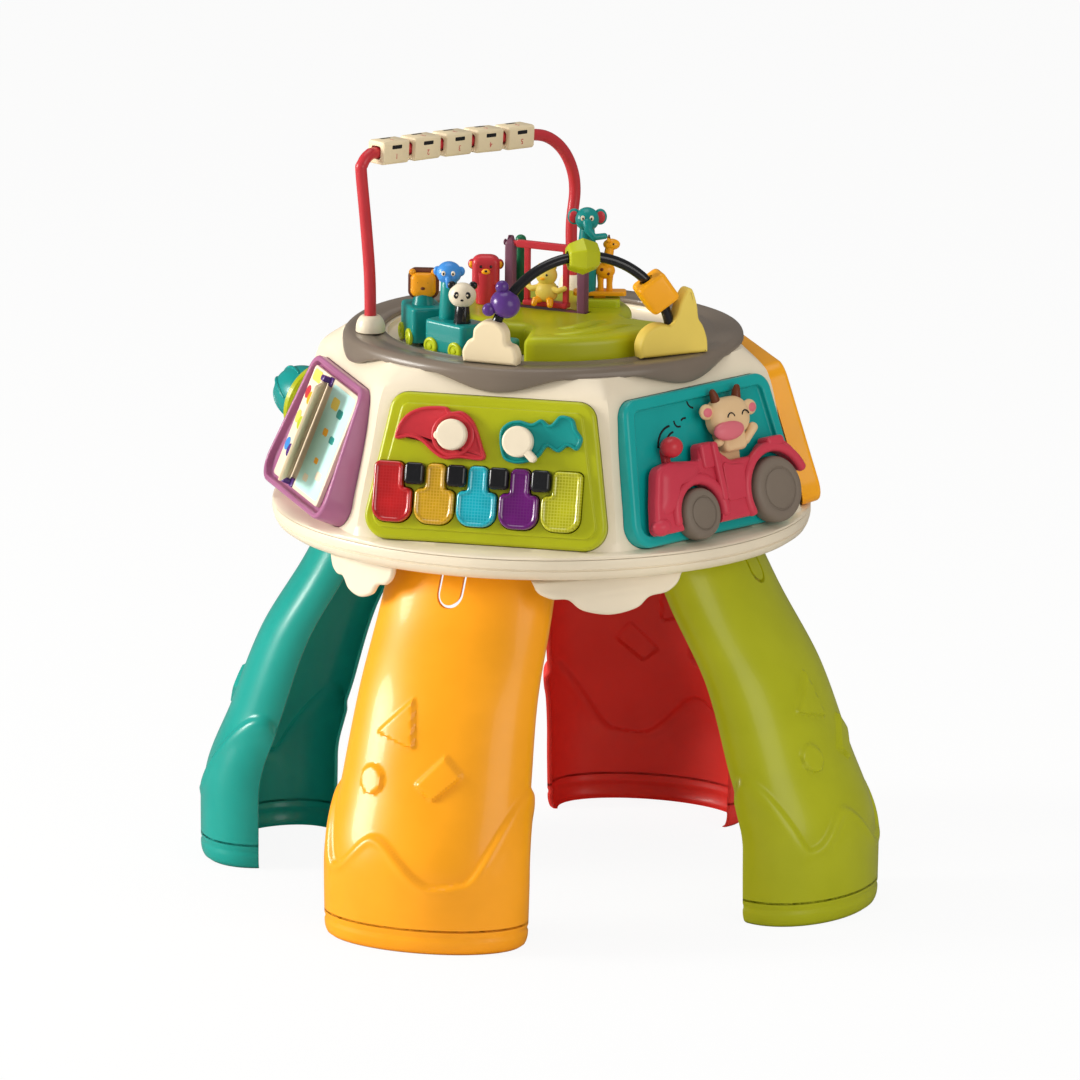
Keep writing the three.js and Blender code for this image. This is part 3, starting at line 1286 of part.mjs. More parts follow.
// Train: one body of an engine and two wagons, guided by pins in the track slot
const CAR_BOTTOM = 3;
const CAR_HALF_WIDTH = 12;
const WHEEL_RADIUS = 6;
const GUIDE_PIN = 2.1;
const CARS = [
  { azimuth: degrees(-62), length: 34, height: 27, heads: [{ x: 0, size: 10.5, lift: 14 }] },
  {
    azimuth: degrees(-31),
    length: 38,
    height: 24,
    heads: [{ x: -9, size: 8, lift: 32 }, { x: 8, size: 9, lift: 21 }],
  },
  { azimuth: degrees(-6), length: 20, height: 15, heads: [] },
];

function car({ azimuth, length, height, heads }) {
  const block = raised(outline(roundedBox(length / 2, CAR_HALF_WIDTH, 3)), CAR_BOTTOM, height);
  const pieces = [block];
  const wheelSpots = heads.length > 0 ? [-0.3, 0.3] : [0];
  wheelSpots.forEach((share) => {
    const roller = new THREE.CylinderGeometry(WHEEL_RADIUS, WHEEL_RADIUS, 2 * CAR_HALF_WIDTH + 4, 8);
    pieces.push(solid(shift(roller, share * length, 0, WHEEL_RADIUS + REST_GAP)));
  });
  heads.forEach(({ x, size, lift }) => {
    pieces.push(drum(size * 0.75, height - SINK, height + lift - size * 0.6, 6, x, 0));
    pieces.push(ball(size, x, 0, height + lift, [1, 1, 0.95]));
  });
  const geometry = geometryOf(join(...pieces));
  shift(geometry, 0, -TRAIN_RADIUS, TRACK_TOP);
  return solid(geometry.applyMatrix4(turned(azimuth)));
}

function guidePin(azimuth) {
  const top = TRACK_TOP + CAR_BOTTOM + SINK;
  const below = TRACK_TOP - WALL - REST_GAP;
  const pin = drum(GUIDE_PIN, below - BARB_LENGTH, top, 6, 0, -TRAIN_RADIUS);
  const foot = drum(GUIDE_PIN + 2, below - BARB_LENGTH, below, 6, 0, -TRAIN_RADIUS);
  return solid(geometryOf(join(pin, foot)).applyMatrix4(turned(azimuth)));
}

function addTrain() {
  const links = [-46, -16].map((azimuth) => {
    const bar = brick(20, 5, 4, 0, -TRAIN_RADIUS, TRACK_TOP + 6);
    return solid(geometryOf(bar).applyMatrix4(turned(degrees(azimuth))));
  });
  const pins = [CARS[0], CARS[1]].map(({ azimuth }) => guidePin(azimuth));
  add("train", join(...CARS.map(car), ...links, ...pins), TEAL, 0.35);
}

// Carry handle with five number blocks
const HANDLE_RADIUS = 4;
const HANDLE_LEFT = { azimuth: degrees(-66), distance: 119 };
const HANDLE_RIGHT = { azimuth: degrees(-176), distance: 118 };
const HANDLE_RISE = 123.5;
const HANDLE_FALL = 11;
const HANDLE_LEFT_BEND = 12;
const HANDLE_RIGHT_BEND = 43;
const HANDLE_LEFT_BULGE = 10;
const HANDLE_RIGHT_BULGE = 1;
const HANDLE_CROWN = 1;
const CAP_RADIUS = 10;
const CAP_HEIGHT = 12;
const BLOCK_COUNT = 5;
const BLOCK_PITCH = 30;
const BLOCK_LENGTH = 24.4;
const BLOCK_HALF = 8;
const BLOCK_BORE = 5.5;
const BLOCK_START = 14.5;

function onCircle({ azimuth, distance }) {
  return new THREE.Vector2(distance * Math.sin(azimuth), -distance * Math.cos(azimuth));
}

function handlePoints() {
  const left = onCircle(HANDLE_LEFT);
  const right = onCircle(HANDLE_RIGHT);
  const along = right.clone().sub(left);
  const length = along.length();
  along.normalize();
  const spot = (distance, rise) => new THREE.Vector3(left.x + along.x * distance,
    left.y + along.y * distance, TRAY_TOP + rise);
  const riseAt = (distance) => HANDLE_RISE - (HANDLE_FALL * distance) / length;
  const points = [spot(0, REST_GAP), spot(-1, HANDLE_RISE * 0.3), spot(-HANDLE_LEFT_BULGE / 2, HANDLE_RISE * 0.6)];
  const arc = (bend, side) => {
    for (let i = 0; i <= 4; i += 1) {
      const angle = (Math.PI / 2) * (i / 4);
      const share = side < 0 ? angle : Math.PI / 2 - angle;
      const x = bend - bend * Math.cos(share);
      const distance = side < 0 ? x - HANDLE_LEFT_BULGE : length + HANDLE_RIGHT_BULGE - x;
      points.push(spot(distance, riseAt(distance) - bend + bend * Math.sin(share)));
    }
  };
  arc(HANDLE_LEFT_BEND, -1);
  const from = HANDLE_LEFT_BEND - HANDLE_LEFT_BULGE;
  const to = length + HANDLE_RIGHT_BULGE - HANDLE_RIGHT_BEND;
  for (let i = 1; i < 6; i += 1) {
    const share = i / 6;
    const distance = from + (to - from) * share;
    points.push(spot(distance, riseAt(distance) + HANDLE_CROWN * Math.sin(Math.PI * share)));
  }
  arc(HANDLE_RIGHT_BEND, 1);
  points.push(spot(length - 2 * HANDLE_RIGHT_BULGE, HANDLE_RISE * 0.35), spot(length, REST_GAP));
  return points;
}

function addHandle() {
  const points = handlePoints();
  const curve = new THREE.CatmullRomCurve3(points, false, "centripetal");
  add("handle_tube", tube(points, HANDLE_RADIUS, 8, 28), CRIMSON, 0.3);
  [points[0], points[points.length - 1]].forEach((foot, i) => {
    const cap = spun([[0, 0], [CAP_RADIUS, 0], [CAP_RADIUS, CAP_HEIGHT * 0.3], [CAP_RADIUS * 0.85,
      CAP_HEIGHT * 0.7], [CAP_RADIUS * 0.6, CAP_HEIGHT], [0, CAP_HEIGHT]], 14);
    const placed = solid(shift(geometryOf(cap), foot.x, foot.y, TRAY_TOP + REST_GAP));
    const bore = drum(HANDLE_RADIUS + WALL / 2, TRAY_TOP - WALL, TRAY_TOP + OVERRUN, 8, foot.x, foot.y);
    add(i === 0 ? "handle_cap_left" : "handle_cap_right", cut(placed, bore), WHITE, 0.4);
  });
  const total = curve.getLength();
  const startLength = HANDLE_RISE - HANDLE_LEFT_BEND + (Math.PI / 2) * HANDLE_LEFT_BEND;
  for (let i = 0; i < BLOCK_COUNT; i += 1) {
    const reach = startLength + BLOCK_START + i * BLOCK_PITCH;
    const share = reach / total;
    const centre = curve.getPointAt(share);
    const tangent = curve.getTangentAt(share);
    const turnTo = new THREE.Matrix4();
    const up = new THREE.Vector3(0, 0, 1);
    const side = new THREE.Vector3().crossVectors(up, tangent).normalize();
    const top = new THREE.Vector3().crossVectors(tangent, side);
    turnTo.makeBasis(side, top, tangent).setPosition(centre);
    const block = raised(outline(roundedBox(BLOCK_HALF, BLOCK_HALF, 2)), -BLOCK_LENGTH / 2,
      BLOCK_LENGTH / 2, 1.2, 3, 1);
    const bored = cut(block, drum(BLOCK_BORE, -OVERRUN, OVERRUN, 8));
    add(`number_block_${i + 1}`, bored, CREAM, 0.4, turnTo);
  }
}

// Bead arch with a cloud foot and a mountain foot
const ARCH_LEFT = { azimuth: degrees(-3), distance: 119.5 };
const ARCH_RIGHT = { azimuth: degrees(60), distance: 119.5 };
const ARCH_TUBE = 3.5;
const ARCH_LIFT = 8;
const FOOT_THICK = 12;
const CLOUD_WIDTH = 38;
const CLOUD_HEIGHT = 29;
const CLOUD_TURN = degrees(-7);
const CLOUD_SHARES = [
  [-0.5, 0], [-0.52, 0.25], [-0.42, 0.5], [-0.33, 0.58], [-0.3, 0.8], [-0.15, 0.98], [0.05, 1],
  [0.2, 0.92], [0.29, 0.75], [0.32, 0.5], [0.45, 0.42], [0.52, 0.2], [0.5, 0],
];
const MOUNTAIN_WIDTH = 51;
const MOUNTAIN_HEIGHT = 45;
const MOUNTAIN_TURN = degrees(42);
const MOUNTAIN_SHARES = [
  [-0.5, 0], [-0.51, 0.2], [-0.43, 0.38], [-0.29, 0.48], [-0.16, 0.49], [-0.06, 0.47], [0.02, 0.6],
  [0.08, 0.8], [0.16, 0.96], [0.22, 1], [0.27, 0.96], [0.33, 0.75], [0.36, 0.53], [0.43, 0.4],
  [0.49, 0.2], [0.5, 0],
];
const BEADS = {
  bear: { angle: degrees(31), length: 18 },
  hex: { angle: degrees(90), length: 21 },
  cube: { angle: degrees(145), length: 22 },
};
const BEAD_BORE = 5.4;

function archFrame() {
  const left = onCircle(ARCH_LEFT);
  const right = onCircle(ARCH_RIGHT);
  const middle = left.clone().add(right).multiplyScalar(0.5);
  const along = right.clone().sub(left).normalize();
  const radius = right.distanceTo(left) / 2;
  return { left, right, middle, along, radius, turn: Math.atan2(along.y, along.x) };
}

function archPoints() {
  const { middle, along, radius } = archFrame();
  const base = TRAY_TOP + ARCH_LIFT;
  const spot = (x, rise) => new THREE.Vector3(middle.x + along.x * x, middle.y + along.y * x, base + rise);
  const points = [spot(-radius, -8), spot(-radius, -4)];
  const steps = 14;
  for (let i = 0; i <= steps; i += 1) {
    const angle = (Math.PI * i) / steps;
    points.push(spot(-radius * Math.cos(angle), radius * Math.sin(angle)));
  }
  points.push(spot(radius, -4), spot(radius, -8));
  return points;
}

function archFoot(shares, width, height, spot, turn) {
  const plate = raised(outline(scaled(shares, width, height)), -FOOT_THICK / 2, FOOT_THICK / 2);
  const geometry = geometryOf(plate).rotateX(Math.PI / 2).applyMatrix4(turned(turn));
  shift(geometry, spot.x, spot.y, TRAY_TOP + REST_GAP);
  return cut(solid(geometry), tube(archPoints(), ARCH_TUBE + TURN_GAP, 8, 22));
}

// A bead built round the tube direction Z, with X outwards from the arch centre
function beadMatrix({ angle }) {
  const { middle, along, radius } = archFrame();
  const out = new THREE.Vector3(-along.x * Math.cos(angle), -along.y * Math.cos(angle), Math.sin(angle));
  const tangent = new THREE.Vector3(along.x * Math.sin(angle), along.y * Math.sin(angle), Math.cos(angle));
  const side = new THREE.Vector3().crossVectors(tangent, out);
  const centre = new THREE.Vector3(middle.x, middle.y, TRAY_TOP + ARCH_LIFT).addScaledVector(out, radius);
  return new THREE.Matrix4().makeBasis(out, side, tangent).setPosition(centre);
}

function beadBore() {
  return drum(BEAD_BORE, -OVERRUN, OVERRUN, 8);
}

function addArch() {
  const { left, right } = archFrame();
  add("arch_tube", tube(archPoints(), ARCH_TUBE, 8, 22), BLACK, 0.3);
  add("cloud_base", archFoot(CLOUD_SHARES, CLOUD_WIDTH, CLOUD_HEIGHT, left, CLOUD_TURN), CREAM, 0.45);
  const mountain = archFoot(MOUNTAIN_SHARES, MOUNTAIN_WIDTH, MOUNTAIN_HEIGHT, right, MOUNTAIN_TURN);
  add("mountain_base", mountain, PALE_YELLOW, 0.45);
  const bearHead = ball(10.5, 0, 0, 0, [1, 1, 0.92], 10);
  const ears = [-1, 1].map((side) => ball(4.8, 8, 0, side * 9, [1, 0.8, 1], 8));
  add("bead_bear", cut(join(bearHead, ...ears), beadBore()), VIOLET, 0.3, beadMatrix(BEADS.bear));
  const hexHalf = BEADS.hex.length / 2;
  const hexEnds = join(drum(9, -hexHalf, 0, 6, 0, 0, 13), drum(13, 0, hexHalf, 6, 0, 0, 9));
  add("bead_hex", cut(hexEnds, beadBore()), LIME, 0.25, beadMatrix(BEADS.hex));
  const cubeHalf = BEADS.cube.length / 2;
  const cube = raised(outline(roundedBox(11, 11, 4)), -cubeHalf, cubeHalf, 2.8, 3, 1);
  add("bead_cube", cut(cube, beadBore()), ORANGE, 0.25, beadMatrix(BEADS.cube));
}

addLegs();
addPan();
addSpeaker();
addShell();
add("track_plate", trackPlate(), WHITE, 0.4);
add("tray_ring", ringLoft(48, ringSection), GREY, 0.45);
addHill();
addPiano();
addTractor();
addBook();
addClock();
addGears();
addSpinner();
addTrain();
addSwing();
addSeesaw();
addPeeker();
addHandle();
addArch();

export default group;
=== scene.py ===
import json
import math

import bmesh
import bpy
from mathutils import Matrix, Vector


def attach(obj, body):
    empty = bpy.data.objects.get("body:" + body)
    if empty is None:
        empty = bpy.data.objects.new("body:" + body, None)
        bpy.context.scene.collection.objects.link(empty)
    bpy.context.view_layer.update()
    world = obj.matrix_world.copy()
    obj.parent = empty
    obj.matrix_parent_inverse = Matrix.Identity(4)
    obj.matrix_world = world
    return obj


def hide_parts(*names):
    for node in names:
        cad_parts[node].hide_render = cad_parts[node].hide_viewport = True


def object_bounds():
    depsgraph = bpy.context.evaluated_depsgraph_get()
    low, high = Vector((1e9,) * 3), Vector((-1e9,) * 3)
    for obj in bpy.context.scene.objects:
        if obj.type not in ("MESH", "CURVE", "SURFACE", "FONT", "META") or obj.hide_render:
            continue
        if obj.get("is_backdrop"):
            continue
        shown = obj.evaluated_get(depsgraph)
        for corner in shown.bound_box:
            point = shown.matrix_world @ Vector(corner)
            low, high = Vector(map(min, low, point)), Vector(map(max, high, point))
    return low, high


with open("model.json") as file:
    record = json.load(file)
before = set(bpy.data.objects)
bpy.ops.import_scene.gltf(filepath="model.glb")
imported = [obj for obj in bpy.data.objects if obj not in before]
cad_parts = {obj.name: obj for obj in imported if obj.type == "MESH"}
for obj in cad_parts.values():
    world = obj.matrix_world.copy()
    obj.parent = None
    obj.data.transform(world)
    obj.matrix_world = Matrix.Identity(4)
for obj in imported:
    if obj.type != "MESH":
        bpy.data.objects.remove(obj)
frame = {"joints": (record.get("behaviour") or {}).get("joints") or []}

bl_info = {
    "name": "Activity table",
    "version": (1, 0, 0),
    "blender": (4, 5, 0),
    "location": "3D View > Sidebar > Activity table",
    "description": "Builds the moulded pieces, finishes and studio of an activity table",
    "category": "Add Mesh",
}

MM = 0.001
TABLE = "table"
SUPPORT = 0.3
OVERRUN = 60
CREASE = 34
LEG_CREASE = 40
UP = Vector((0, 0, 1))
FACE_OUT = Matrix.Rotation(math.pi / 2, 4, "X")

FIRST_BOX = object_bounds()


# Small sums
def degrees(value):
    return math.radians(value)


def smooth(share):
    share = min(max(share, 0), 1)
    return share * share * (3 - 2 * share)


def bump(distance, reach):
    return math.exp(-((distance / reach) ** 2))


def between(low, high, share):
    return low + (high - low) * share


def linear(colour):
    return tuple(c / 12.92 if c < 0.04045 else ((c + 0.055) / 1.055) ** 2.4 for c in colour)


def turn_z(angle):
    return Matrix.Rotation(angle, 4, "Z")


def shift(x=0, y=0, z=0):
    return Matrix.Translation((x, y, z))


def basis(x_axis, y_axis, z_axis, centre):
    matrix = Matrix((x_axis, y_axis, z_axis)).transposed().to_4x4()
    return shift(*centre) @ matrix


def ease_curve(knots, value):
    """Reads a smooth curve through (place, value, ...) knots; it never overshoots them."""
    place = min(max(value, knots[0][0]), knots[-1][0])
    i = 0
    while i + 2 < len(knots) and knots[i + 1][0] < place:
        i += 1

    def slope(j, k):
        if j <= 0 or j >= len(knots) - 1:
            edge = min(max(j, 1), len(knots) - 1)
            return (knots[edge][k] - knots[edge - 1][k]) / (knots[edge][0] - knots[edge - 1][0])
        before = (knots[j][k] - knots[j - 1][k]) / (knots[j][0] - knots[j - 1][0])
        after = (knots[j + 1][k] - knots[j][k]) / (knots[j + 1][0] - knots[j][0])
        return 0 if before * after <= 0 else 2 * before * after / (before + after)

    span = knots[i + 1][0] - knots[i][0]
    t = (place - knots[i][0]) / span
    read = []
    for k in range(1, len(knots[0])):
        a, b = knots[i][k], knots[i + 1][k]
        c, d = slope(i, k) * span, slope(i + 1, k) * span
        read.append(a * (2 * t ** 3 - 3 * t * t + 1) + c * (t ** 3 - 2 * t * t + t)
                    + b * (3 * t * t - 2 * t ** 3) + d * (t ** 3 - t * t))
    return read


# Outlines, in millimetres
def scaled(shares, width, height, x=0, y=0):
    return [Vector((x + across * width, y + up * height)) for across, up in shares]


def curve_point(a, b, c, d, t):
    """A point of the smooth curve from b to c that comes from a and goes on to d."""
    return 0.5 * (2 * b + (c - a) * t + (2 * a - 5 * b + 4 * c - d) * t * t
                  + (3 * b - 3 * c + d - a) * t ** 3)


def smooth_loop(points, steps=6):
    """A closed outline that runs smoothly through its points."""
    loop = []
    count = len(points)
    for i in range(count):
        near = [Vector(points[(i + k) % count]) for k in (-1, 0, 1, 2)]
        loop += [curve_point(*near, step / steps) for step in range(steps)]
    return loop


def smooth_path(points, steps=8):
    """An open line that runs smoothly through its points."""
    line = []
    last = len(points) - 1
    for i in range(last):
        near = [Vector(points[min(max(i + k, 0), last)]) for k in (-1, 0, 1, 2)]
        line += [curve_point(*near, step / steps) for step in range(steps)]
    return line + [Vector(points[last])]


def rounded(corners, steps=8):
    """A closed outline with each corner (x, y, radius) rounded by its own radius."""
    loop = []
    for i, (x, y, radius) in enumerate(corners):
        before = Vector(corners[i - 1][:2])
        after = Vector(corners[(i + 1) % len(corners)][:2])
        here = Vector((x, y))
        back = (before - here).normalized()
        ahead = (after - here).normalized()
        half = math.acos(min(max(back.dot(ahead), -1), 1)) / 2
        centre = here + (back + ahead).normalized() * (radius / math.sin(half))
        reach = radius / math.tan(half)
        start = here + back * reach - centre
        end = here + ahead * reach - centre
        sweep = math.atan2(end.y, end.x) - math.atan2(start.y, start.x)
        sweep -= 2 * math.pi * round(sweep / (2 * math.pi))
        for k in range(steps + 1):
            loop.append(centre + Matrix.Rotation(sweep * k / steps, 2) @ start)
    return loop


def rounded_box(half_x, half_y, radius, x=0, y=0, steps=6):
    return rounded([(x - half_x, y - half_y, radius), (x + half_x, y - half_y, radius),
                    (x + half_x, y + half_y, radius), (x - half_x, y + half_y, radius)], steps)


def polar(radius, angle, x=0, y=0):
    return Vector((x + radius * math.cos(angle), y + radius * math.sin(angle)))


def on_circle(azimuth, distance):
    """A point round the table, by its turn in degrees from the piano's side."""
    angle = degrees(azimuth)
    return Vector((distance * math.sin(angle), -distance * math.cos(angle)))


def circle(radius, x=0, y=0, sides=48):
    return [polar(radius, 2 * math.pi * i / sides, x, y) for i in range(sides)]


def arc_band(inner, outer, start, end, steps, x=0, y=0):
    """A curved strip between two radii and two angles in degrees."""
    loop = []
    for reach, order in ((outer, 1), (inner, -1)):
        line = [polar(reach, degrees(between(start, end, k / steps)), x, y) for k in range(steps + 1)]
        loop += line[::order]
    return loop


def ring_at(loop, height):
    """An outline as a ring of points at one height."""
    return [(p.x, p.y, height) for p in loop]


def inset(loop, amount):
    """The closed outline moved inwards by an amount."""
    count = len(loop)
    area = sum(loop[i - 1].x * loop[i].y - loop[i].x * loop[i - 1].y for i in range(count))
    side = 1 if area > 0 else -1
    moved = []
    for i, here in enumerate(loop):
        back = (here - loop[i - 1]).normalized()
        ahead = (loop[(i + 1) % count] - here).normalized()
        across = Vector((-(back.y + ahead.y), back.x + ahead.x)) / 2
        moved.append(here + across.normalized() * side * amount / max(across.length, 0.5))
    return moved


def edge_distance(point, corners):
    """How far a point lies inside a closed polygon; negative outside."""
    nearest = OVERRUN ** 2
    inside = False
    for i, b in enumerate(corners):
        a = corners[i - 1]
        along = b - a
        share = min(max((point - a).dot(along) / along.length_squared, 0), 1)
        nearest = min(nearest, (point - a - along * share).length)
        if (a.y > point.y) != (b.y > point.y):
            if point.x < (b.x - a.x) * (point.y - a.y) / (b.y - a.y) + a.x:
                inside = not inside
    return nearest if inside else -nearest


# Shader maths as Python expressions
class Wire:
    """One output in a material's nodes. Its operators add Math nodes."""

    def __init__(self, desk, socket):
        self.desk = desk
        self.socket = socket

    def math(self, operation, *values):
        return self.desk.node("ShaderNodeMath", {"operation": operation}, values)

    def __add__(self, other):
        return self.math("ADD", self, other)

    def __radd__(self, other):
        return self.math("ADD", other, self)

    def __sub__(self, other):
        return self.math("SUBTRACT", self, other)

    def __rsub__(self, other):
        return self.math("SUBTRACT", other, self)

    def __mul__(self, other):
        return self.math("MULTIPLY", self, other)

    def __rmul__(self, other):
        return self.math("MULTIPLY", other, self)

    def over(self, limit, soft):
        """0 below the limit and 1 above it, with a soft step."""
        settings = {"interpolation_type": "SMOOTHSTEP"}
        return self.desk.node("ShaderNodeMapRange", settings,
                              {"Value": self, "From Min": limit - soft, "From Max": limit + soft})


class Desk:
    """The nodes of one material, or of a world."""

    def __init__(self, name, store=None):
        store = bpy.data.materials if store is None else store
        self.owner = store.new(name)
        self.owner.use_nodes = True
        self.tree = self.owner.node_tree
        self.tree.nodes.clear()

    def node(self, kind, settings=None, sockets=(), output=0):
        """Adds a node: its settings first, then the values or wires of its sockets."""
        node = self.tree.nodes.new(kind)
        for name, value in (settings or {}).items():
            setattr(node, name, value)
        pairs = sockets.items() if isinstance(sockets, dict) else enumerate(sockets)
        for key, value in pairs:
            if isinstance(value, Wire):
                self.tree.links.new(value.socket, node.inputs[key])
            else:
                node.inputs[key].default_value = value
        return Wire(self, node.outputs[output]) if node.outputs else None

    def noise(self, place, scale, detail=2.0, roughness=0.5):
        sockets = {"Vector": place, "Scale": scale, "Detail": detail, "Roughness": roughness}
        return self.node("ShaderNodeTexNoise", {}, sockets, "Fac")

    def blend(self, factor, first, second):
        settings = {"data_type": "RGBA"}
        return self.node("ShaderNodeMix", settings, {0: factor, 6: first, 7: second}, 2)

    def place(self):
        return self.node("ShaderNodeTexCoord", {}, {}, "Object")

    def ray(self, kind):
        return self.node("ShaderNodeLightPath", {}, {}, kind)

    def mix(self, factor, first, second):
        return self.node("ShaderNodeMixShader", {}, (factor, first, second))

    def finish(self, shader, output="ShaderNodeOutputMaterial"):
        self.node(output, {}, {"Surface": shader})
        return self.owner

    def relief(self, height, strength, distance):
        sockets = {"Height": height, "Strength": strength, "Distance": distance}
        return self.node("ShaderNodeBump", {}, sockets, "Normal")


# Finishes
FLOW_SCALE = 18
RUB_SCALE = 260
GRAIN_SCALE = 2600
GRAIN_DEPTH = 0.0004
MOTTLE = 0.035
FLOW_ROUGHNESS = 0.12
RUB_ROUGHNESS = 0.07
COAT_ROUGHNESS = 0.08
PLASTIC_IOR = 1.49
SPECULAR_LEVEL = 0.36


def moulded(name, colour, rough, coat, grain):
    """Injection-moulded plastic: spark-eroded grain, slow flow marks and a few handling rubs."""
    desk = Desk(name)
    place = desk.place()
    flow = desk.noise(place, FLOW_SCALE, 3.0)
    rubs = desk.noise(place, RUB_SCALE, 4.0, 0.7)
    grains = desk.noise(place, GRAIN_SCALE, 1.0)
    base = linear(colour)
    shade = tuple(c * (1 - 2 * MOTTLE) for c in base)
    tint = tuple(min(c * (1 + MOTTLE) + MOTTLE / 12, 1) for c in base)
    sockets = {
        "Base Color": desk.blend(flow.over(0.5, 0.25), (*shade, 1), (*tint, 1)),
        "Roughness": (rough + (flow - 0.5) * FLOW_ROUGHNESS
                      + rubs.over(0.66, 0.06) * RUB_ROUGHNESS),
        "Normal": desk.relief(grains + rubs * 0.4, grain, GRAIN_DEPTH),
        "Coat Weight": coat,
        "Coat Roughness": COAT_ROUGHNESS,
        "IOR": PLASTIC_IOR,
        "Specular IOR Level": SPECULAR_LEVEL,
    }
    return desk.finish(desk.node("ShaderNodeBsdfPrincipled", {}, sockets))


def clear_key(name, colour, line_share):
    """Tinted clear plastic over a moulded grid that catches light."""
    desk = Desk(name)
    place = desk.place()
    axes = panel_axes(PANELS["piano"])
    lines = []
    for axis in axes[:2]:
        run = desk.node("ShaderNodeVectorMath", {"operation": "DOT_PRODUCT"},
                        (place, tuple(axis)), "Value")
        steps = run * (1 / (GRID_PITCH * MM))
        wave = steps.math("SINE", steps * (2 * math.pi))
        lines.append(wave.over(0.72, 0.2))
    grid = lines[0].math("MAXIMUM", lines[0], lines[1])
    cloud = desk.noise(place, 90, 3.0)
    base = linear(colour)
    deep = tuple(c * 0.72 for c in base)
    bright = tuple(min(c * 1.15 + 0.05, 1) for c in base)
    ground = desk.blend(cloud.over(0.5, 0.3), (*deep, 1), (*base, 1))
    tone = desk.blend(grid * line_share, ground, (*bright, 1))
    sockets = {
        "Base Color": tone,
        "Roughness": 0.16 + cloud * 0.08,
        "Normal": desk.relief(grid, 0.12 * line_share, 0.0003),
        "Coat Weight": 1.0,
        "Coat Roughness": 0.03,
        "IOR": 1.52,
    }
    return desk.finish(desk.node("ShaderNodeBsdfPrincipled", {}, sockets))


def circuit(name, colour):
    """Solder-masked board with paler tracks."""
    desk = Desk(name)
    place = desk.place()
    tracks = desk.node("ShaderNodeTexVoronoi", {"feature": "DISTANCE_TO_EDGE"},
                       {"Vector": place, "Scale": 160.0}, "Distance")
    base = linear(colour)
    pale = tuple(min(c * 1.8 + 0.03, 1) for c in base)
    mask = 1 - tracks.over(0.05, 0.02)
    sockets = {
        "Base Color": desk.blend(mask, (*base, 1), (*pale, 1)),
        "Roughness": 0.35 + desk.noise(place, 400) * 0.2,
        "Normal": desk.relief(mask, 0.2, 0.0002),
    }
    return desk.finish(desk.node("ShaderNodeBsdfPrincipled", {}, sockets))


# Moulded plastics: label, colour, roughness, coat, grain
PLASTICS = {
    "white": ("Body white", "E9DBC2", 0.36, 0.12, 0.03),
    "grey": ("Warm grey", "7A6D60", 0.36, 0.18, 0.05),
    "tyre_grey": ("Tyre grey", "7A6D60", 0.48, 0.0, 0.07),
    "lime": ("Lime green", "AEB20A", 0.33, 0.12, 0.04),
    "amber": ("Amber yellow", "FBA40B", 0.34, 0.16, 0.03),
    "teal": ("Teal", "058A86", 0.32, 0.14, 0.03),
    "crimson": ("Crimson", "CC384C", 0.38, 0.08, 0.04),
    "red": ("Signal red", "C6303A", 0.34, 0.12, 0.04),
    "mauve": ("Mauve", "A8668C", 0.34, 0.14, 0.04),
    "violet": ("Violet", "55307C", 0.28, 0.3, 0.03),
    "black": ("Black", "17171A", 0.22, 0.4, 0.03),
    # The leg's red: crimson turned a purer red, and also painted lighter, as painted light that makes up for
    # the shade on the back leg
    "leg_red": ("Leg red", "E2322A", 0.38, 0.08, 0.04),
    # The tractor panel's teal: the same teal as the other teal parts, painted lighter, as painted light that
    # makes up for the shade on that panel
    "panel_teal": ("Panel teal", "05A09C", 0.3, 0.14, 0.03),
    "leg_teal": ("Leg teal", "10958A", 0.3, 0.14, 0.03),
    "handle_red": ("Handle red", "C23038", 0.32, 0.14, 0.03),
    "post_mauve": ("Post mauve", "744459", 0.36, 0.1, 0.04),
    "peach": ("Peach", "E4C091", 0.42, 0.05, 0.04),
    "cream": ("Cream", "E8D5B0", 0.46, 0.0, 0.05),
    "pale_yellow": ("Pale yellow", "ECCF5C", 0.46, 0.0, 0.05),
    "orange": ("Orange", "FBAA08", 0.32, 0.12, 0.03),
    "pale_lime": ("Pale lime", "DDE28A", 0.38, 0.1, 0.04),
    "blue": ("Blue", "3F8CD8", 0.32, 0.15, 0.03),
    "pink": ("Pink", "DE707C", 0.4, 0.05, 0.04),
    "brown": ("Brown", "6E3418", 0.42, 0.0, 0.05),
    "green": ("Tree green", "0A6B45", 0.38, 0.1, 0.04),
    "wheel_lime": ("Wheel lime", "BCC814", 0.32, 0.15, 0.03),
    "page_blue": ("Page blue", "BFEAE6", 0.5, 0.0, 0.03),
}
# Clear plastics: label, colour, how bright the grid in it is
CLEARS = {
    "clear_red": ("Clear red", "C01418", 0.15),
    "clear_amber": ("Clear amber", "CC9C02", 0.6),
    "clear_cyan": ("Clear cyan", "02AABC", 0.5),
    "clear_violet": ("Clear violet", "66046E", 0.15),
    "clear_lime": ("Clear lime", "B6B403", 0.8),
}
BOARDS = {"board": ("Board green", "1D6B45")}
COLOURS = {**PLASTICS, **BOARDS, **CLEARS}
# Finishes that stand for a slot of another name; the leg's red and the tractor panel's teal are copies of
# crimson and teal painted lighter, as painted light
SLOT_OF = {"leg_red": "crimson", "handle_red": "crimson", "leg_teal": "teal", "panel_teal": "teal",
           "post_mauve": "mauve", "peach": "cream"}
MADE = {}


def finish_of(name):
    """The material of a finish, made once."""
    if name not in MADE:
        colour = getattr(bpy.context.scene.table_colours, name)
        make = clear_key if name in CLEARS else moulded if name in PLASTICS else circuit
        MADE[name] = make(name, colour, *COLOURS[name][2:])
    return MADE[name]


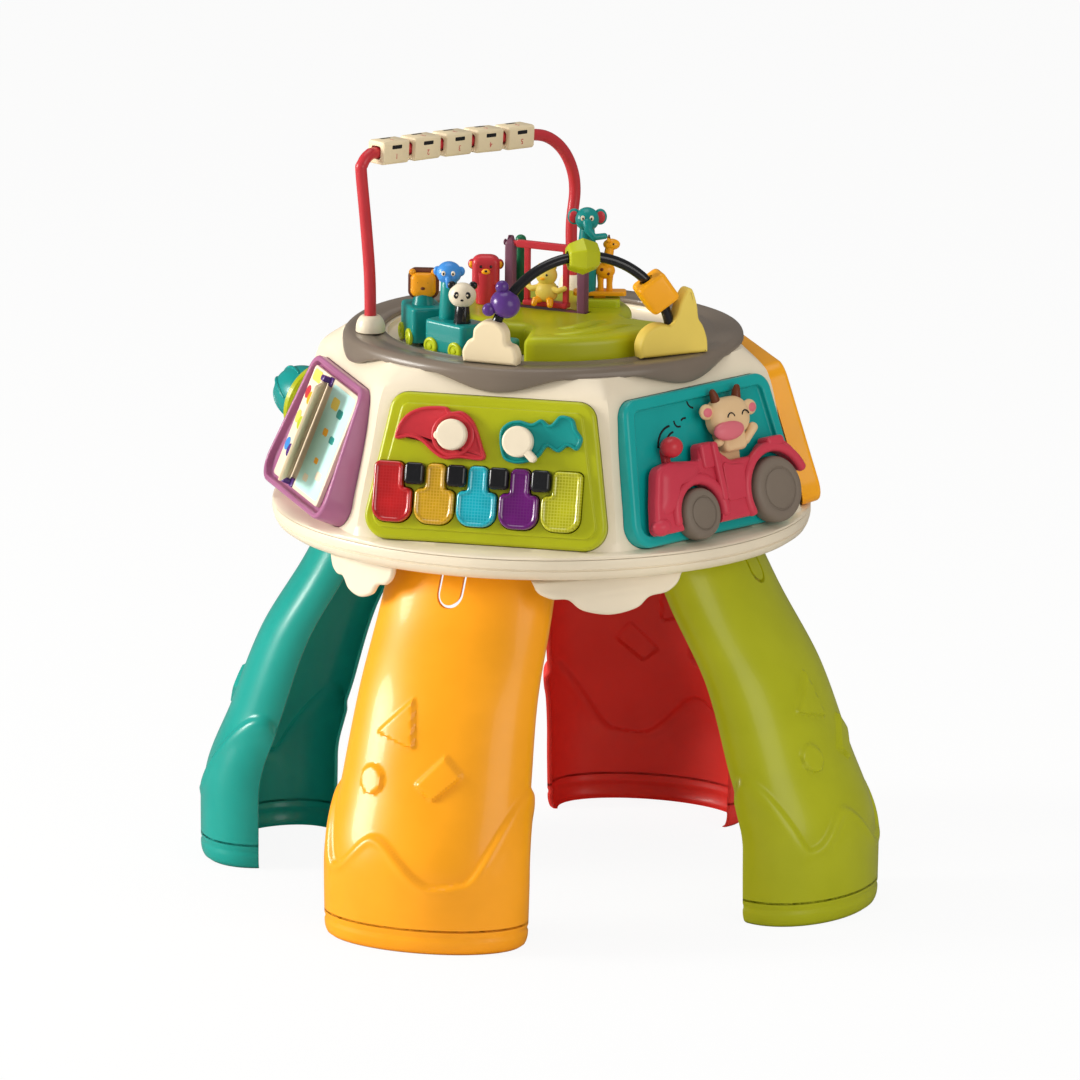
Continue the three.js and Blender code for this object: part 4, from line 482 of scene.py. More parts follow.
# Meshes
class Form:
    """Faces gathered in millimetres, in the frame of the whole table."""

    def __init__(self, place=None):
        self.points = []
        self.faces = []
        self.paints = []
        self.home = place or Matrix.Identity(4)

    def add(self, points, faces, paint=0, place=None):
        start = len(self.points)
        matrix = self.home @ place if place else self.home
        self.points += [matrix @ Vector(point) for point in points]
        self.faces += [[start + i for i in face] for face in faces]
        self.paints += [paint] * len(faces)

    def loft(self, rings, paint=0, place=None, along=False, ends=True):
        """Skins rings of equal length; a ring of one point is a pole."""
        points = []
        starts = []
        for ring in rings:
            starts.append(len(points))
            points += [tuple(point) for point in ring]
        faces = []
        count = len(rings)
        for i in range(count if along else count - 1):
            j = (i + 1) % count
            low, high = len(rings[i]), len(rings[j])
            width = max(low, high)
            for k in range(width):
                n = (k + 1) % width
                quad = [starts[i] + k % low, starts[i] + n % low,
                        starts[j] + n % high, starts[j] + k % high]
                face = [v for at, v in enumerate(quad) if v not in quad[:at]]
                if len(face) > 2:
                    faces.append(face)
        if ends and not along:
            for i in (0, count - 1):
                if len(rings[i]) > 2:
                    faces.append([starts[i] + k for k in range(len(rings[i]))])
        self.add(points, faces, paint, place)

    def plate(self, loop, bottom, top, soft=1.0, foot=0.0, paint=0, place=None, steps=4):
        """A flat piece from an outline, with its top and foot edges rounded."""
        rings = []

        def ring(amount, height):
            rings.append(ring_at(inset(loop, amount), height))

        ring(foot + SUPPORT, bottom)
        for k in range(steps + 1 if foot else 1):
            angle = math.pi / 2 * k / steps
            ring(foot * (1 - math.sin(angle)), bottom + foot * (1 - math.cos(angle)))
        for k in range(steps + 1 if soft else 1):
            angle = math.pi / 2 * k / steps
            ring(soft * (1 - math.cos(angle)), top - soft * (1 - math.sin(angle)))
        ring(soft + SUPPORT, top)
        self.loft(rings, paint, place)

    def stack(self, loop, levels):
        """An outline moved inwards by an amount at each (amount, height) level."""
        self.loft([ring_at(inset(loop, amount), height) for amount, height in levels])

    def spin(self, profile, paint=0, place=None, steps=48, closed=False):
        """Turns a (radius, height) profile round Z; a closed one leaves the middle open."""
        rings = []
        for radius, height in profile:
            if radius < 1e-6:
                rings.append([(0, 0, height)])
            else:
                rings.append(ring_at(circle(radius, sides=steps), height))
        self.loft(rings, paint, place, closed, profile[0][0] > 0)

    def rod(self, radius, bottom, top, paint=0, place=None, steps=20):
        """A plain round bar along Z."""
        self.spin([(0, bottom), (radius, bottom), (radius, top), (0, top)], paint, place, steps)

    def ball(self, centre, radii, paint=0, place=None, steps=28):
        half = steps // 2
        profile = [(math.sin(math.pi * k / half), -math.cos(math.pi * k / half))
                   for k in range(half + 1)]
        profile[0] = (0, -1)
        profile[-1] = (0, 1)
        spot = shift(*centre) @ Matrix.Diagonal((*radii, 1))
        self.spin(profile, paint, place @ spot if place else spot, steps)

    def pair(self, centre, radii, paint=0, place=None, steps=28):
        """Two balls, left and right of X = 0."""
        x, y, z = centre
        for side in (-1, 1):
            self.ball((side * x, y, z), radii, paint, place, steps)

    def tube(self, path, radius, paint=0, sides=20, domed=0.0):
        """A round bar along a path; domed ends stand out by a share of its radius."""
        path = [Vector(point) for point in path]
        radii = radius if isinstance(radius, (tuple, list)) else [radius] * len(path)
        rings = []
        normal = None
        for i, here in enumerate(path):
            ahead = path[min(i + 1, len(path) - 1)] - path[max(i - 1, 0)]
            ahead.normalize()
            if normal is None:
                normal = ahead.orthogonal().normalized()
            normal = (normal - ahead * normal.dot(ahead)).normalized()
            side = ahead.cross(normal)
            ring = []
            for k in range(sides):
                angle = 2 * math.pi * k / sides
                ring.append(here + (normal * math.cos(angle) + side * math.sin(angle)) * radii[i])
            rings.append((here, ahead, ring))
        loops = [row[-1] for row in rings]
        if domed:
            for end, sign in ((0, -1), (-1, 1)):
                here, ahead, ring = rings[end]
                for share in (0.35, 0.7, 0.92):
                    rise = domed * radii[end] * share * sign
                    size = math.sqrt(1 - share * share)
                    cap = [here + (p - here) * size + ahead * rise for p in ring]
                    loops.insert(0 if end == 0 else len(loops), cap)
        self.loft(loops, paint)

    def digits(self, text, height, depth, paint, place):
        """Plain numerals as solid figures, centred on their place."""
        curve = bpy.data.curves.new("numeral", "FONT")
        curve.body = text
        curve.size = height
        curve.extrude = depth
        curve.align_x = "CENTER"
        curve.align_y = "CENTER"
        holder = bpy.data.objects.new("numeral", curve)
        mesh = bpy.data.meshes.new_from_object(holder)
        points = [tuple(vertex.co) for vertex in mesh.vertices]
        faces = [list(polygon.vertices) for polygon in mesh.polygons]
        self.add(points, faces, paint, place)
        bpy.data.objects.remove(holder)
        bpy.data.curves.remove(curve)
        bpy.data.meshes.remove(mesh)

    def mesh(self, name, finishes=()):
        mesh = bpy.data.meshes.new(name)
        mesh.from_pydata([point * MM for point in self.points], [], self.faces)
        for finish in finishes:
            mesh.materials.append(finish_of(finish))
        if finishes:
            mesh.polygons.foreach_set("material_index", self.paints)
        work = bmesh.new()
        work.from_mesh(mesh)
        bmesh.ops.recalc_face_normals(work, faces=work.faces)
        work.to_mesh(mesh)
        work.free()
        return mesh

    def make(self, name, body, finishes, nodes=(), slot=None, cuts=None):
        """Turns the faces into a piece that rides on a body and stands for CAD nodes."""
        piece = bpy.data.objects.new(name, self.mesh(name, finishes))
        bpy.context.scene.collection.objects.link(piece)
        if cuts:
            cut_away(piece, cuts)
        piece.data.shade_smooth()
        piece.data.set_sharp_from_angle(angle=degrees(CREASE))
        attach(piece, body)
        if nodes:
            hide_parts(*nodes)
        slot or SLOT_OF.get(finishes[0], finishes[0])
        return piece


def cut_away(piece, cuts):
    """Cuts a Form's closed bodies out of a piece."""
    cutter = bpy.data.objects.new("cutter", cuts.mesh("cutter"))
    bpy.context.scene.collection.objects.link(cutter)
    tool = piece.modifiers.new("cut", "BOOLEAN")
    tool.operation = "DIFFERENCE"
    tool.solver = "MANIFOLD"
    tool.object = cutter
    bpy.context.view_layer.update()
    graph = bpy.context.evaluated_depsgraph_get()
    result = bpy.data.meshes.new_from_object(piece.evaluated_get(graph))
    old = piece.data
    piece.modifiers.clear()
    piece.data = result
    bpy.data.meshes.remove(old)
    discard(cutter)


def discard(piece):
    """Removes a piece and its mesh."""
    mesh = piece.data
    bpy.data.objects.remove(piece)
    bpy.data.meshes.remove(mesh)


# Panels stand on the six flats. Local axes: X across, Y up the face, Z outwards
PANEL_CENTRE_HEIGHT = 316.5
PANEL_CORNER = 13
PANEL_LEAN = 15
PANELS = {
    "piano": {"azimuth": 0, "distance": 154, "top": 69.5, "bottom": 86.5},
    "tractor": {"azimuth": 60, "distance": 156, "top": 70},
    "clock": {"azimuth": 120, "distance": 164, "top": 66},
    "gear": {"azimuth": 180, "distance": 156, "top": 66},
    "spinner": {"azimuth": -120, "distance": 156, "top": 66},
    "book": {"azimuth": -60, "distance": 161, "top": 60, "bottom": 78, "half": 47, "lean": 22},
}
PANEL_BOTTOM_HALF = 84
PANEL_HALF_HEIGHT = 50
PANEL_DEPTH = 14
RECESS = 4
ON_FIELD = 0.3 - RECESS
FIELD_EDGE = 8
GRID_PITCH = 2.1


def panel_matrix(panel):
    lean = degrees(90 - panel.get("lean", PANEL_LEAN))
    out = shift(0, -panel["distance"], PANEL_CENTRE_HEIGHT)
    return turn_z(degrees(panel["azimuth"])) @ out @ Matrix.Rotation(lean, 4, "X")


def panel_axes(panel):
    return [column.to_3d() for column in panel_matrix(panel).col[:3]]


def panel_loop(panel, grow):
    bottom = panel.get("bottom", PANEL_BOTTOM_HALF) + grow
    half = panel.get("half", PANEL_HALF_HEIGHT) + grow
    top = panel["top"] + grow
    radius = PANEL_CORNER + grow
    return rounded([(-bottom, -half, radius + 3), (bottom, -half, radius + 3),
                    (top, half, radius), (-top, half, radius)], 10)


def panel_rings(panel, stations):
    """Rings of the panel's outline at (growth, height) stations."""
    return [ring_at(panel_loop(panel, grow), height) for grow, height in stations]


def arc_stations(grow, height, radius, start, end, steps=4):
    """Stations round a quarter circle about a centre, by angle in degrees."""
    found = []
    for k in range(steps + 1):
        angle = degrees(between(start, end, k / steps))
        found.append((grow + radius * math.cos(angle), height + radius * math.sin(angle)))
    return found


def recessed_stations(depth, recess, edge, rim=3.0, proud=0.0):
    """A rounded rim, that may stand proud, round a sunk field."""
    soft = 1.4
    return [(0, -depth), *arc_stations(-rim, proud - rim, rim, 0, 90, 6), (-rim - SUPPORT, proud),
            (-edge + soft + SUPPORT, proud),
            *arc_stations(-edge + soft, proud - soft, soft, 90, 180),
            *arc_stations(-edge - soft, -recess + soft, soft, 0, -90),
            (-edge - soft - SUPPORT, -recess)]


def recessed_case(name, context):
    """A toy panel's case with a sunk field, and the panel's place."""
    panel = PANELS[name]
    place = panel_matrix(panel)
    case = Form(place)
    rim = context.scene.table_sizes.rim / MM
    case.loft(panel_rings(panel, recessed_stations(PANEL_DEPTH, RECESS, FIELD_EDGE, rim)))
    return case, place


# Legs
LEG_HALF_WIDTH = 70
LEG_DEPTH = 45
LEG_SWEEP = 108
FOOT_CENTRE = 194
SOCKET_FLOOR = 250
LEG_TOP = 261.6
LEG_WALL = 3
# The red leg's finish is crimson painted lighter, as painted light for the shade it stands in
LEGS = {"leg_yellow": (-9, "amber"), "leg_green": (81, "lime"), "leg_red": (171, "leg_red"),
        "leg_teal": (-99, "leg_teal")}
LEG_ROW_SHARES = (
    (0, 1, 0.985, 1), (0.2, 1, 1, 1.01), (0.44, 0.911, 0.95, 0.94),
    (0.64, 0.823, 0.905, 0.885), (0.85, 0.672, 0.87, 0.835), (1, 0.579, 0.843, 0.789),
)
WAVE_WIDTH = 144
WAVE_HEIGHT = 130
WAVE_SHARES = ((-0.5, 0.95), (-0.38, 0.41), (-0.16, 0.59), (0.16, 0.36), (0.29, 0.38), (0.5, 0.92))
EMBLEM_SIZE = 34
TRIANGLE = (-15, 147, ((-0.52, -0.16), (0.34, -0.38), (0.18, 0.54)))
SQUARE = (17, 117, ((-0.45, -0.16), (-0.07, -0.44), (0.45, 0.05), (0.08, 0.42)))
DISC = (-32, 111, 9)
BAND_HEIGHT = 12
TAB = {"half": 9.5, "bottom": 221, "top": 243, "slot": 2.2}
FOOT_ROUND = 9
FOOT_TUCK = 4


def leg_section(height):
    """Centre, half width and depth of the leg's section at a height."""
    out, wide, deep = ease_curve(LEG_ROW_SHARES, height / SOCKET_FLOOR)
    tuck = 0
    if height < FOOT_ROUND:
        rise = 1 - height / FOOT_ROUND
        tuck = FOOT_TUCK * (1 - math.sqrt(max(0, 1 - rise * rise)))
    return (out * FOOT_CENTRE, wide * LEG_HALF_WIDTH - tuck, deep * LEG_DEPTH - tuck)


def wave_line(across):
    share = across / WAVE_WIDTH
    return ease_curve(WAVE_SHARES, share)[0] * WAVE_HEIGHT


def leg_relief(across, height, depth):
    """How far the leg's skin stands out: the low band under its wave and three emblems."""
    line = wave_line(across)
    slope = wave_line(across + 1) - line
    into = (line - height) / math.sqrt(1 + slope * slope)
    rise = depth * smooth(into / 2.4 + 0.5) + 0.3 * depth * bump(into - 3, 2.6)
    rise -= 0.4 * depth * bump(height - BAND_HEIGHT, 1.1)
    spot = Vector((across, height))
    for x, y, shares in (TRIANGLE, SQUARE):
        if abs(across - x) < EMBLEM_SIZE and abs(height - y) < EMBLEM_SIZE:
            inside = edge_distance(spot, scaled(shares, EMBLEM_SIZE, EMBLEM_SIZE, x, y))
            rise += depth * smooth(inside / 1.6 + 0.5)
    x, y, radius = DISC
    inside = radius - (spot - Vector((x, y))).length
    return rise + depth * smooth(inside / 1.6 + 0.5)


def leg_heights():
    low = [BAND_HEIGHT * 1.6 * k / 12 for k in range(12)]
    middle = [between(16, 172, k / 104) for k in range(105)]
    high = [between(176, SOCKET_FLOOR, k / 14) for k in range(15)]
    return low + middle + high + [LEG_TOP]


def leg_form(depth):
    columns = 150
    form = Form()
    skins = []
    heights = leg_heights()
    sections = [leg_section(min(height, SOCKET_FLOOR)) for height in heights]
    for wall in (0, LEG_WALL):
        rows = []
        for height, (centre, half, deep) in zip(heights, sections):
            row = []
            for j in range(columns + 1):
                angle = degrees(LEG_SWEEP) * (2 * j / columns - 1)
                across, out = half * math.sin(angle), deep * math.cos(angle)
                grow = leg_relief(across, height, depth) - wall
                normal = Vector((math.sin(angle) / half, math.cos(angle) / deep)).normalized()
                row.append((across + normal.x * grow, -centre - out - normal.y * grow, height))
            rows.append(row)
        skins.append(rows)
    outer, inner = skins
    rings = []
    for front, back in zip(outer, inner):
        rings.append(front + [middle_of(front[-1], back[-1], 1)] + back[::-1]
                     + [middle_of(front[0], back[0], -1)])
    form.loft(rings)
    return form


def middle_of(front, back, side):
    """A point between two walls' edges, a little proud, so that the edge is round."""
    mid = (Vector(front) + Vector(back)) / 2
    out = (Vector(front) - Vector(back)).cross(UP).normalized()
    return mid - out * side * 0.7


def tab_cutter():
    """A U-shaped slot through the leg's wall round its snap tab."""
    def bend(reach):
        foot = TAB["bottom"] + TAB["half"]
        arc = [Vector((-reach * math.cos(math.pi * k / 24), foot - reach * math.sin(math.pi * k / 24)))
               for k in range(25)]
        return [Vector((-reach, TAB["top"])), *arc, Vector((reach, TAB["top"]))]

    loop = bend(TAB["half"]) + bend(TAB["half"] - TAB["slot"])[::-1]
    cutter = Form(FACE_OUT)
    cutter.loft([ring_at(loop, depth) for depth in (OVERRUN, FOOT_CENTRE)])
    return cutter


# Base pan
RIM_RADIUS = 183
RIM_BOTTOM = 246
SHELL_BOTTOM = 262.3
PAN_FLOOR_TOP = 253.2
PAN_GAP = 0.3
LOBE_RADIUS = 166.5
LOBE_DROP = 25
LOBE_SHARES = (
    (-0.5, 1.9), (-0.5, 0.8), (-0.4, 0.46), (-0.28, 0.42), (-0.18, 0.12), (0, -0.02),
    (0.18, 0.12), (0.27, 0.4), (0.41, 0.5), (0.5, 0.9), (0.5, 1.9),
)
LOBES = {"left": (-33, 62), "right": (30, 104), "back_right": (126, 104), "back_left": (-147, 62)}
BATTERY = {"x": 37, "y": 24, "at": 38, "depth": 20}
DOOR_THICK = 2.4
SPEAKER = {"radius": 27, "at": -38}
GRILLE = {"slots": 4, "pitch": 9, "width": 2.6}


def pan_cutter():
    cutter = Form()
    half = SPEAKER["radius"] / 2
    for i in range(GRILLE["slots"]):
        y = SPEAKER["at"] + (i - (GRILLE["slots"] - 1) / 2) * GRILLE["pitch"]
        slot = rounded_box(half, GRILLE["width"] / 2, 1.2, 0, y)
        cutter.plate(slot, RIM_BOTTOM, PAN_FLOOR_TOP + 5, 0)
    hatch = rounded_box(BATTERY["x"], BATTERY["y"], 4, 0, BATTERY["at"])
    cutter.plate(hatch, RIM_BOTTOM, PAN_FLOOR_TOP + 5, 0)
    centre, half_width, deep = leg_section(SOCKET_FLOOR)
    gap = 0.4
    for azimuth, _ in LEGS.values():
        rings = []
        for height in (RIM_BOTTOM - 3, PAN_FLOOR_TOP + 5):
            walls = []
            for grow, order in ((gap, 1), (-LEG_WALL - gap, -1)):
                wall = []
                for k in range(61):
                    angle = degrees(LEG_SWEEP + 1) * (2 * k / 60 - 1)
                    wall.append(((half_width + grow) * math.sin(angle),
                                 -centre - (deep + grow) * math.cos(angle), height))
                walls += wall[::order]
            rings.append(walls)
        cutter.loft(rings, place=turn_z(degrees(azimuth)))
    return cutter


def pan_form():
    top = SHELL_BOTTOM - PAN_GAP
    rim = [(0, 250), (162, 250), (164.7, 249.6), (166.5, 247.6), (168.6, 246.2), (172, 246.4),
           (176.6, 247.7), (180, 250), (181.7, 253), (182, 254.2), (181.3, 254.6), (181.4, 255.2),
           (182.6, 256), (183, 258), (183, 261), (182.6, top), (180, top), (180, PAN_FLOOR_TOP),
           (0, PAN_FLOOR_TOP)]
    form = Form()
    form.spin(rim, steps=240)
    return form


def lobe_form(azimuth, width):
    """A cloud-shaped apron that follows the pan's round wall."""
    flat = Form()
    loop = smooth_loop(scaled(LOBE_SHARES, width, LOBE_DROP, 0, RIM_BOTTOM - LOBE_DROP), 6)
    low = [p for p in loop if p.y < RIM_BOTTOM + 2]
    flat.plate(low, -2.6, 2.6, 2.2, 2.2)
    form = Form(turn_z(degrees(azimuth)))
    bent = []
    for point in flat.points:
        around = math.degrees(point.x / LOBE_RADIUS)
        bent.append((*on_circle(around, LOBE_RADIUS + point.z), point.y))
    form.add(bent, flat.faces)
    return form


# Upper shell
SHELL_HEIGHT = 114.3
SHELL_WALL = 3
SHELL_BLEND = 40
CUT_RADIUS = 138
FLANGE_RADIUS = 112
SECTOR = math.pi / 3
SHELL_ROW_SHARES = (
    (0, 1, 1.1), (0.04, 1, 0.882), (0.26, 0.99, 0.836), (0.6, 0.956, 0.78),
    (0.87, 0.885, 0.745), (1, 0.76, 0.682),
)


def flat_sided(angle, round_radius, flat):
    off = angle - SECTOR * round(angle / SECTOR)
    side = flat / math.cos(off)
    return (round_radius ** -SHELL_BLEND + side ** -SHELL_BLEND) ** (-1 / SHELL_BLEND)


def shell_form():
    ups = [0, 0.006, 0.014, 0.022, 0.03, 0.038, 0.048, 0.06, 0.08]
    ups += [between(0.1, 0.86, k / 18) for k in range(19)]
    ups += [between(0.88, 1, k / 8) for k in range(9)]
    azimuths = [1.2 * i for i in range(300)]
    rings = []

    def ring(share, wall, lift=0):
        wide, flat = ease_curve(SHELL_ROW_SHARES, share)
        loop = []
        for azimuth in azimuths:
            radius = flat_sided(degrees(azimuth), wide * RIM_RADIUS, flat * RIM_RADIUS) - wall
            loop.append(on_circle(azimuth, radius))
        rings.append(ring_at(loop, SHELL_BOTTOM + share * SHELL_HEIGHT + lift))

    ring(0, 0.5)
    for share in ups:
        ring(share, 0, 0.4 if share == 0 else 0)
    top = SHELL_BOTTOM + SHELL_HEIGHT
    flange = [on_circle(azimuth, FLANGE_RADIUS) for azimuth in azimuths]
    rings += [ring_at(flange, top), ring_at(flange, top - SHELL_WALL)]
    for share in (0.97, 0.87, 0.6, 0.26, 0.06):
        ring(share, SHELL_WALL)
    ring(0, SHELL_WALL)
    form = Form()
    form.loft(rings, along=True)
    return form


def shell_cutter():
    cutter = Form()
    for panel in PANELS.values():
        loop = panel_loop(panel, 0.4)
        rings = [ring_at(loop, depth)
                 for depth in (CUT_RADIUS - panel["distance"], OVERRUN)]
        cutter.loft(rings, place=panel_matrix(panel))
    return cutter


# Piano panel
KEY_PITCH = 29.2
KEY_WIDTH = 27.2
KEY_HEIGHT = 41
KEY_TOP = 2.5
KEY_ROW_X = -5.5
KEY_BACK = -6
KEY_PROUD = 5
KEY_CORNER = 10
KEY_GAP = 0.6
KEY_PIN_Y = -24
BLACK_HALF_WIDTH = 6.6
BLACK_HEIGHT = 15
BLACK_PROUD = 7.5
KEYS = (("key_red", "clear_red"), ("key_amber", "clear_amber"), ("key_cyan", "clear_cyan"),
        ("key_purple", "clear_violet"), ("key_lime", "clear_lime"))
KNOB_RADIUS = 10.5
KNOB_BOTTOM = 3.7
KNOB_HEIGHT = 10
PLATE_THICK = 3.4
HORN = (-25, 22.5)
HORN_SIZE = 60
HORN_SHARES = (
    (-0.66, -0.08), (-0.64, 0.07), (-0.55, 0.2), (-0.41, 0.28), (-0.25, 0.31), (-0.1, 0.31),
    (-0.04, 0.26), (0.09, 0.27), (0.22, 0.17), (0.3, 0.01), (0.35, -0.12), (0.39, -0.22),
    (0.33, -0.27), (0.1, -0.26), (-0.08, -0.28), (-0.21, -0.22), (-0.36, -0.1), (-0.5, -0.06),
)
GUITAR = (21, 20.5)
GUITAR_SIZE = 54
GUITAR_SHARES = (
    (-0.26, 0.08), (-0.18, 0.22), (-0.02, 0.27), (0.14, 0.24), (0.26, 0.3), (0.38, 0.24),
    (0.5, 0.36), (0.66, 0.33), (0.72, 0.2), (0.8, 0.08), (0.74, -0.06), (0.62, -0.02),
    (0.5, -0.1), (0.36, -0.04), (0.27, -0.16), (0.14, -0.24), (-0.04, -0.27), (-0.2, -0.2),
)
BAND_DROP = 1.6


def key_x(i):
    return KEY_ROW_X + (i - 2) * KEY_PITCH


def key_outline(i, grow):
    half = KEY_WIDTH / 2 + grow
    x = key_x(i)
    neck = KEY_PITCH / 2 - BLACK_HALF_WIDTH - 2 * KEY_GAP + grow
    left = neck if i > 0 else half
    right = neck if i < len(KEYS) - 1 else half
    shoulder = KEY_TOP - BLACK_HEIGHT - 2 * KEY_GAP - 1 + grow
    top = KEY_TOP + grow
    bottom = KEY_TOP - KEY_HEIGHT - grow
    corners = [(x - half, bottom, KEY_CORNER), (x + half, bottom, KEY_CORNER)]
    if right < half:
        corners += [(x + half, shoulder, 4.2), (x + right, shoulder, 2)]
    corners += [(x + right, top, 4.4), (x - left, top, 4.4)]
    if left < half:
        corners += [(x - left, shoulder, 2), (x - half, shoulder, 4.2)]
    return rounded(corners, 8)


def key_form(i):
    form = Form(panel_matrix(PANELS["piano"]))
    levels = ((0, KEY_BACK), (0, KEY_PROUD - 1.8), (0.2, KEY_PROUD - 1.0), (0.7, KEY_PROUD - 0.35),
              (1.4, KEY_PROUD), (1.9, KEY_PROUD), (2.3, KEY_PROUD - 0.2), (2.8, KEY_PROUD - 0.75),
              (3.2, KEY_PROUD - 0.9), (3.6, KEY_PROUD - 0.9))
    form.stack(key_outline(i, 0), levels)
    form.plate(circle(2.6, key_x(i), KEY_PIN_Y), -11.5, KEY_BACK + 1, 0.4)
    return form


def black_form():
    form = Form(panel_matrix(PANELS["piano"]))
    y = KEY_TOP - BLACK_HEIGHT / 2
    for i in range(len(KEYS) - 1):
        x = key_x(i) + KEY_PITCH / 2
        loop = rounded_box(BLACK_HALF_WIDTH, BLACK_HEIGHT / 2, 3, x, y)
        form.plate(loop, 0.1, BLACK_PROUD, 2.6, 0.3, steps=6)
        form.plate(circle(2, x, y), -9, 0.2, 0)
    bar = rounded_box(1.5 * KEY_PITCH + 3, 2, 1, key_x(2), y)
    form.plate(bar, -10.8, -8.5, 0.3)
    return form


def piano_form():
    panel = PANELS["piano"]
    form = Form(panel_matrix(panel))
    band = -BAND_DROP
    stations = [(0, -PANEL_DEPTH), *arc_stations(-3, band - 3, 3, 0, 90, 6), (-3.3, band),
                (-7, band), *arc_stations(-7, band + 0.7, 0.7, -90, -180, 3),
                *arc_stations(-8.6, -0.9, 0.9, 0, 90, 3), (-9.9, 0)]
    form.loft(panel_rings(panel, stations))
    return form


def piano_cutter():
    cutter = Form(panel_matrix(PANELS["piano"]))
    for i in range(len(KEYS)):
        loop = key_outline(i, KEY_GAP)
        cutter.loft([ring_at(loop, depth) for depth in (-9, OVERRUN)])
    return cutter


def relief_plate(shares, size, spot, steps=6):
    """A toy plate with a rounded border ridge round a sunk face."""
    form = Form(panel_matrix(PANELS["piano"]))
    loop = smooth_loop(scaled(shares, size, size, *spot), steps)
    top = PLATE_THICK + 0.8
    levels = ((0, 0.1), (0, top - 1.5), (0.25, top - 0.7), (0.8, top - 0.15), (1.3, top),
              (1.8, top - 0.15), (2.3, top - 0.8), (2.6, top - 1.3), (2.9, top - 1.4))
    form.stack(loop, levels)
    return form


def knob_form(spot, aim, reach, width):
    """A round turning knob with a pointer, and the shaft behind it."""
    form = Form(panel_matrix(PANELS["piano"]))
    x, y = spot
    top = KNOB_BOTTOM + KNOB_HEIGHT - 3.4
    form.plate(circle(KNOB_RADIUS, x, y, 64), KNOB_BOTTOM, top, 1.6, 0.3, steps=6)
    form.plate(circle(4, x, y), -5.5, KNOB_BOTTOM + 0.5, 0)
    angle = math.atan2(aim[1], aim[0])
    half = reach / 2 + 2
    arm = rounded_box(half, width / 2, min(half, width / 2) - 0.2, KNOB_RADIUS - 4 + reach / 2, 0)
    form.plate(arm, KNOB_BOTTOM + 0.8, top - 0.2, 1.4, 0.3, place=shift(x, y) @ turn_z(angle))
    return form


# Tractor panel
REAR_WHEEL = {"x": 50.5, "y": -29, "radius": 22.5, "arch": 26}
FRONT_WHEEL = {"x": -25.5, "y": -34, "radius": 17.5, "arch": 20}
WHEEL_OUT = 12
STEM_BOTTOM = -10
WHEEL_STEM = 3.5
TOY_STEM = 2.4
ARM_BOTTOM = ON_FIELD
ARM_TOP = -0.3
TRACTOR_OUT = 9
TRACTOR_CORNERS = (
    (-70, -43, 5), (48, -43, 3), (76, -19, 3.5), (74, -4, 8), (62, 6, 8), (46, 3, 8), (37, -3.5, 8),
    (12, -3, 8), (3, 4, 7), (-2, 12, 4), (-16, 12, 4), (-18, 1, 2), (-44, 4.4, 12), (-59, 2, 9),
    (-66, -22, 20),
)
BUMPER = (-63, -37.5, 6)
COW = {"x": 21, "y": -9, "head_y": 25, "half": 19.3}
# Engraved marks: centre, radius, first and last angle, width
MARKS = ((-27.5, 12.5, 15, 92, 172, 1.5), (-24.5, 12.5, 10.5, 95, 138, 1.4),
         (-19, 29.5, 4, 170, 290, 1.3), (-13, 25.5, 5, 70, 130, 1.3), (-2, 41.5, 5.5, 150, 265, 1.3),
         (6, 38, 5, 65, 115, 1.3))
LEVER = {"x": -39, "y": -8, "ball_y": 14, "radius": 8.2}


def wheel_form(wheel, place):
    """A tyre with a rounded shoulder, a ring groove and a dished hub."""
    form = Form(place @ shift(wheel["x"], wheel["y"]))
    r = wheel["radius"]
    top = WHEEL_OUT
    profile = [(0, 0.3), (r * 0.94, 0.3), (r * 0.985, 0.9), (r, 2.2), (r, top - 4.5),
               (r * 0.985, top - 3), (r * 0.95, top - 1.6), (r * 0.89, top - 0.6),
               (r * 0.83, top - 0.15), (r * 0.78, top), (r * 0.69, top), (r * 0.675, top - 0.2),
               (r * 0.66, top - 0.9), (r * 0.645, top - 1), (r * 0.625, top - 1),
               (r * 0.61, top - 0.9), (r * 0.595, top - 0.4), (r * 0.58, top - 0.3),
               (r * 0.3, top - 0.1), (0, top)]
    form.spin(profile, steps=72)
    form.rod(WHEEL_STEM, STEM_BOTTOM, 0.6, steps=24)
    return form


def fender(form, wheel, start, end, size):
    """A rounded mudguard lip round a wheel arch."""
    reach = wheel["arch"] + size * 0.85
    line = [polar(reach, degrees(between(start, end, k / 24)), wheel["x"], wheel["y"])
            for k in range(25)]
    form.tube(ring_at(line, TRACTOR_OUT - size / 3), size, domed=0.7)


def tractor_form(place):
    form = Form(place)
    form.plate(rounded(TRACTOR_CORNERS, 8), 0.3, TRACTOR_OUT, 2.8, steps=6)
    return form


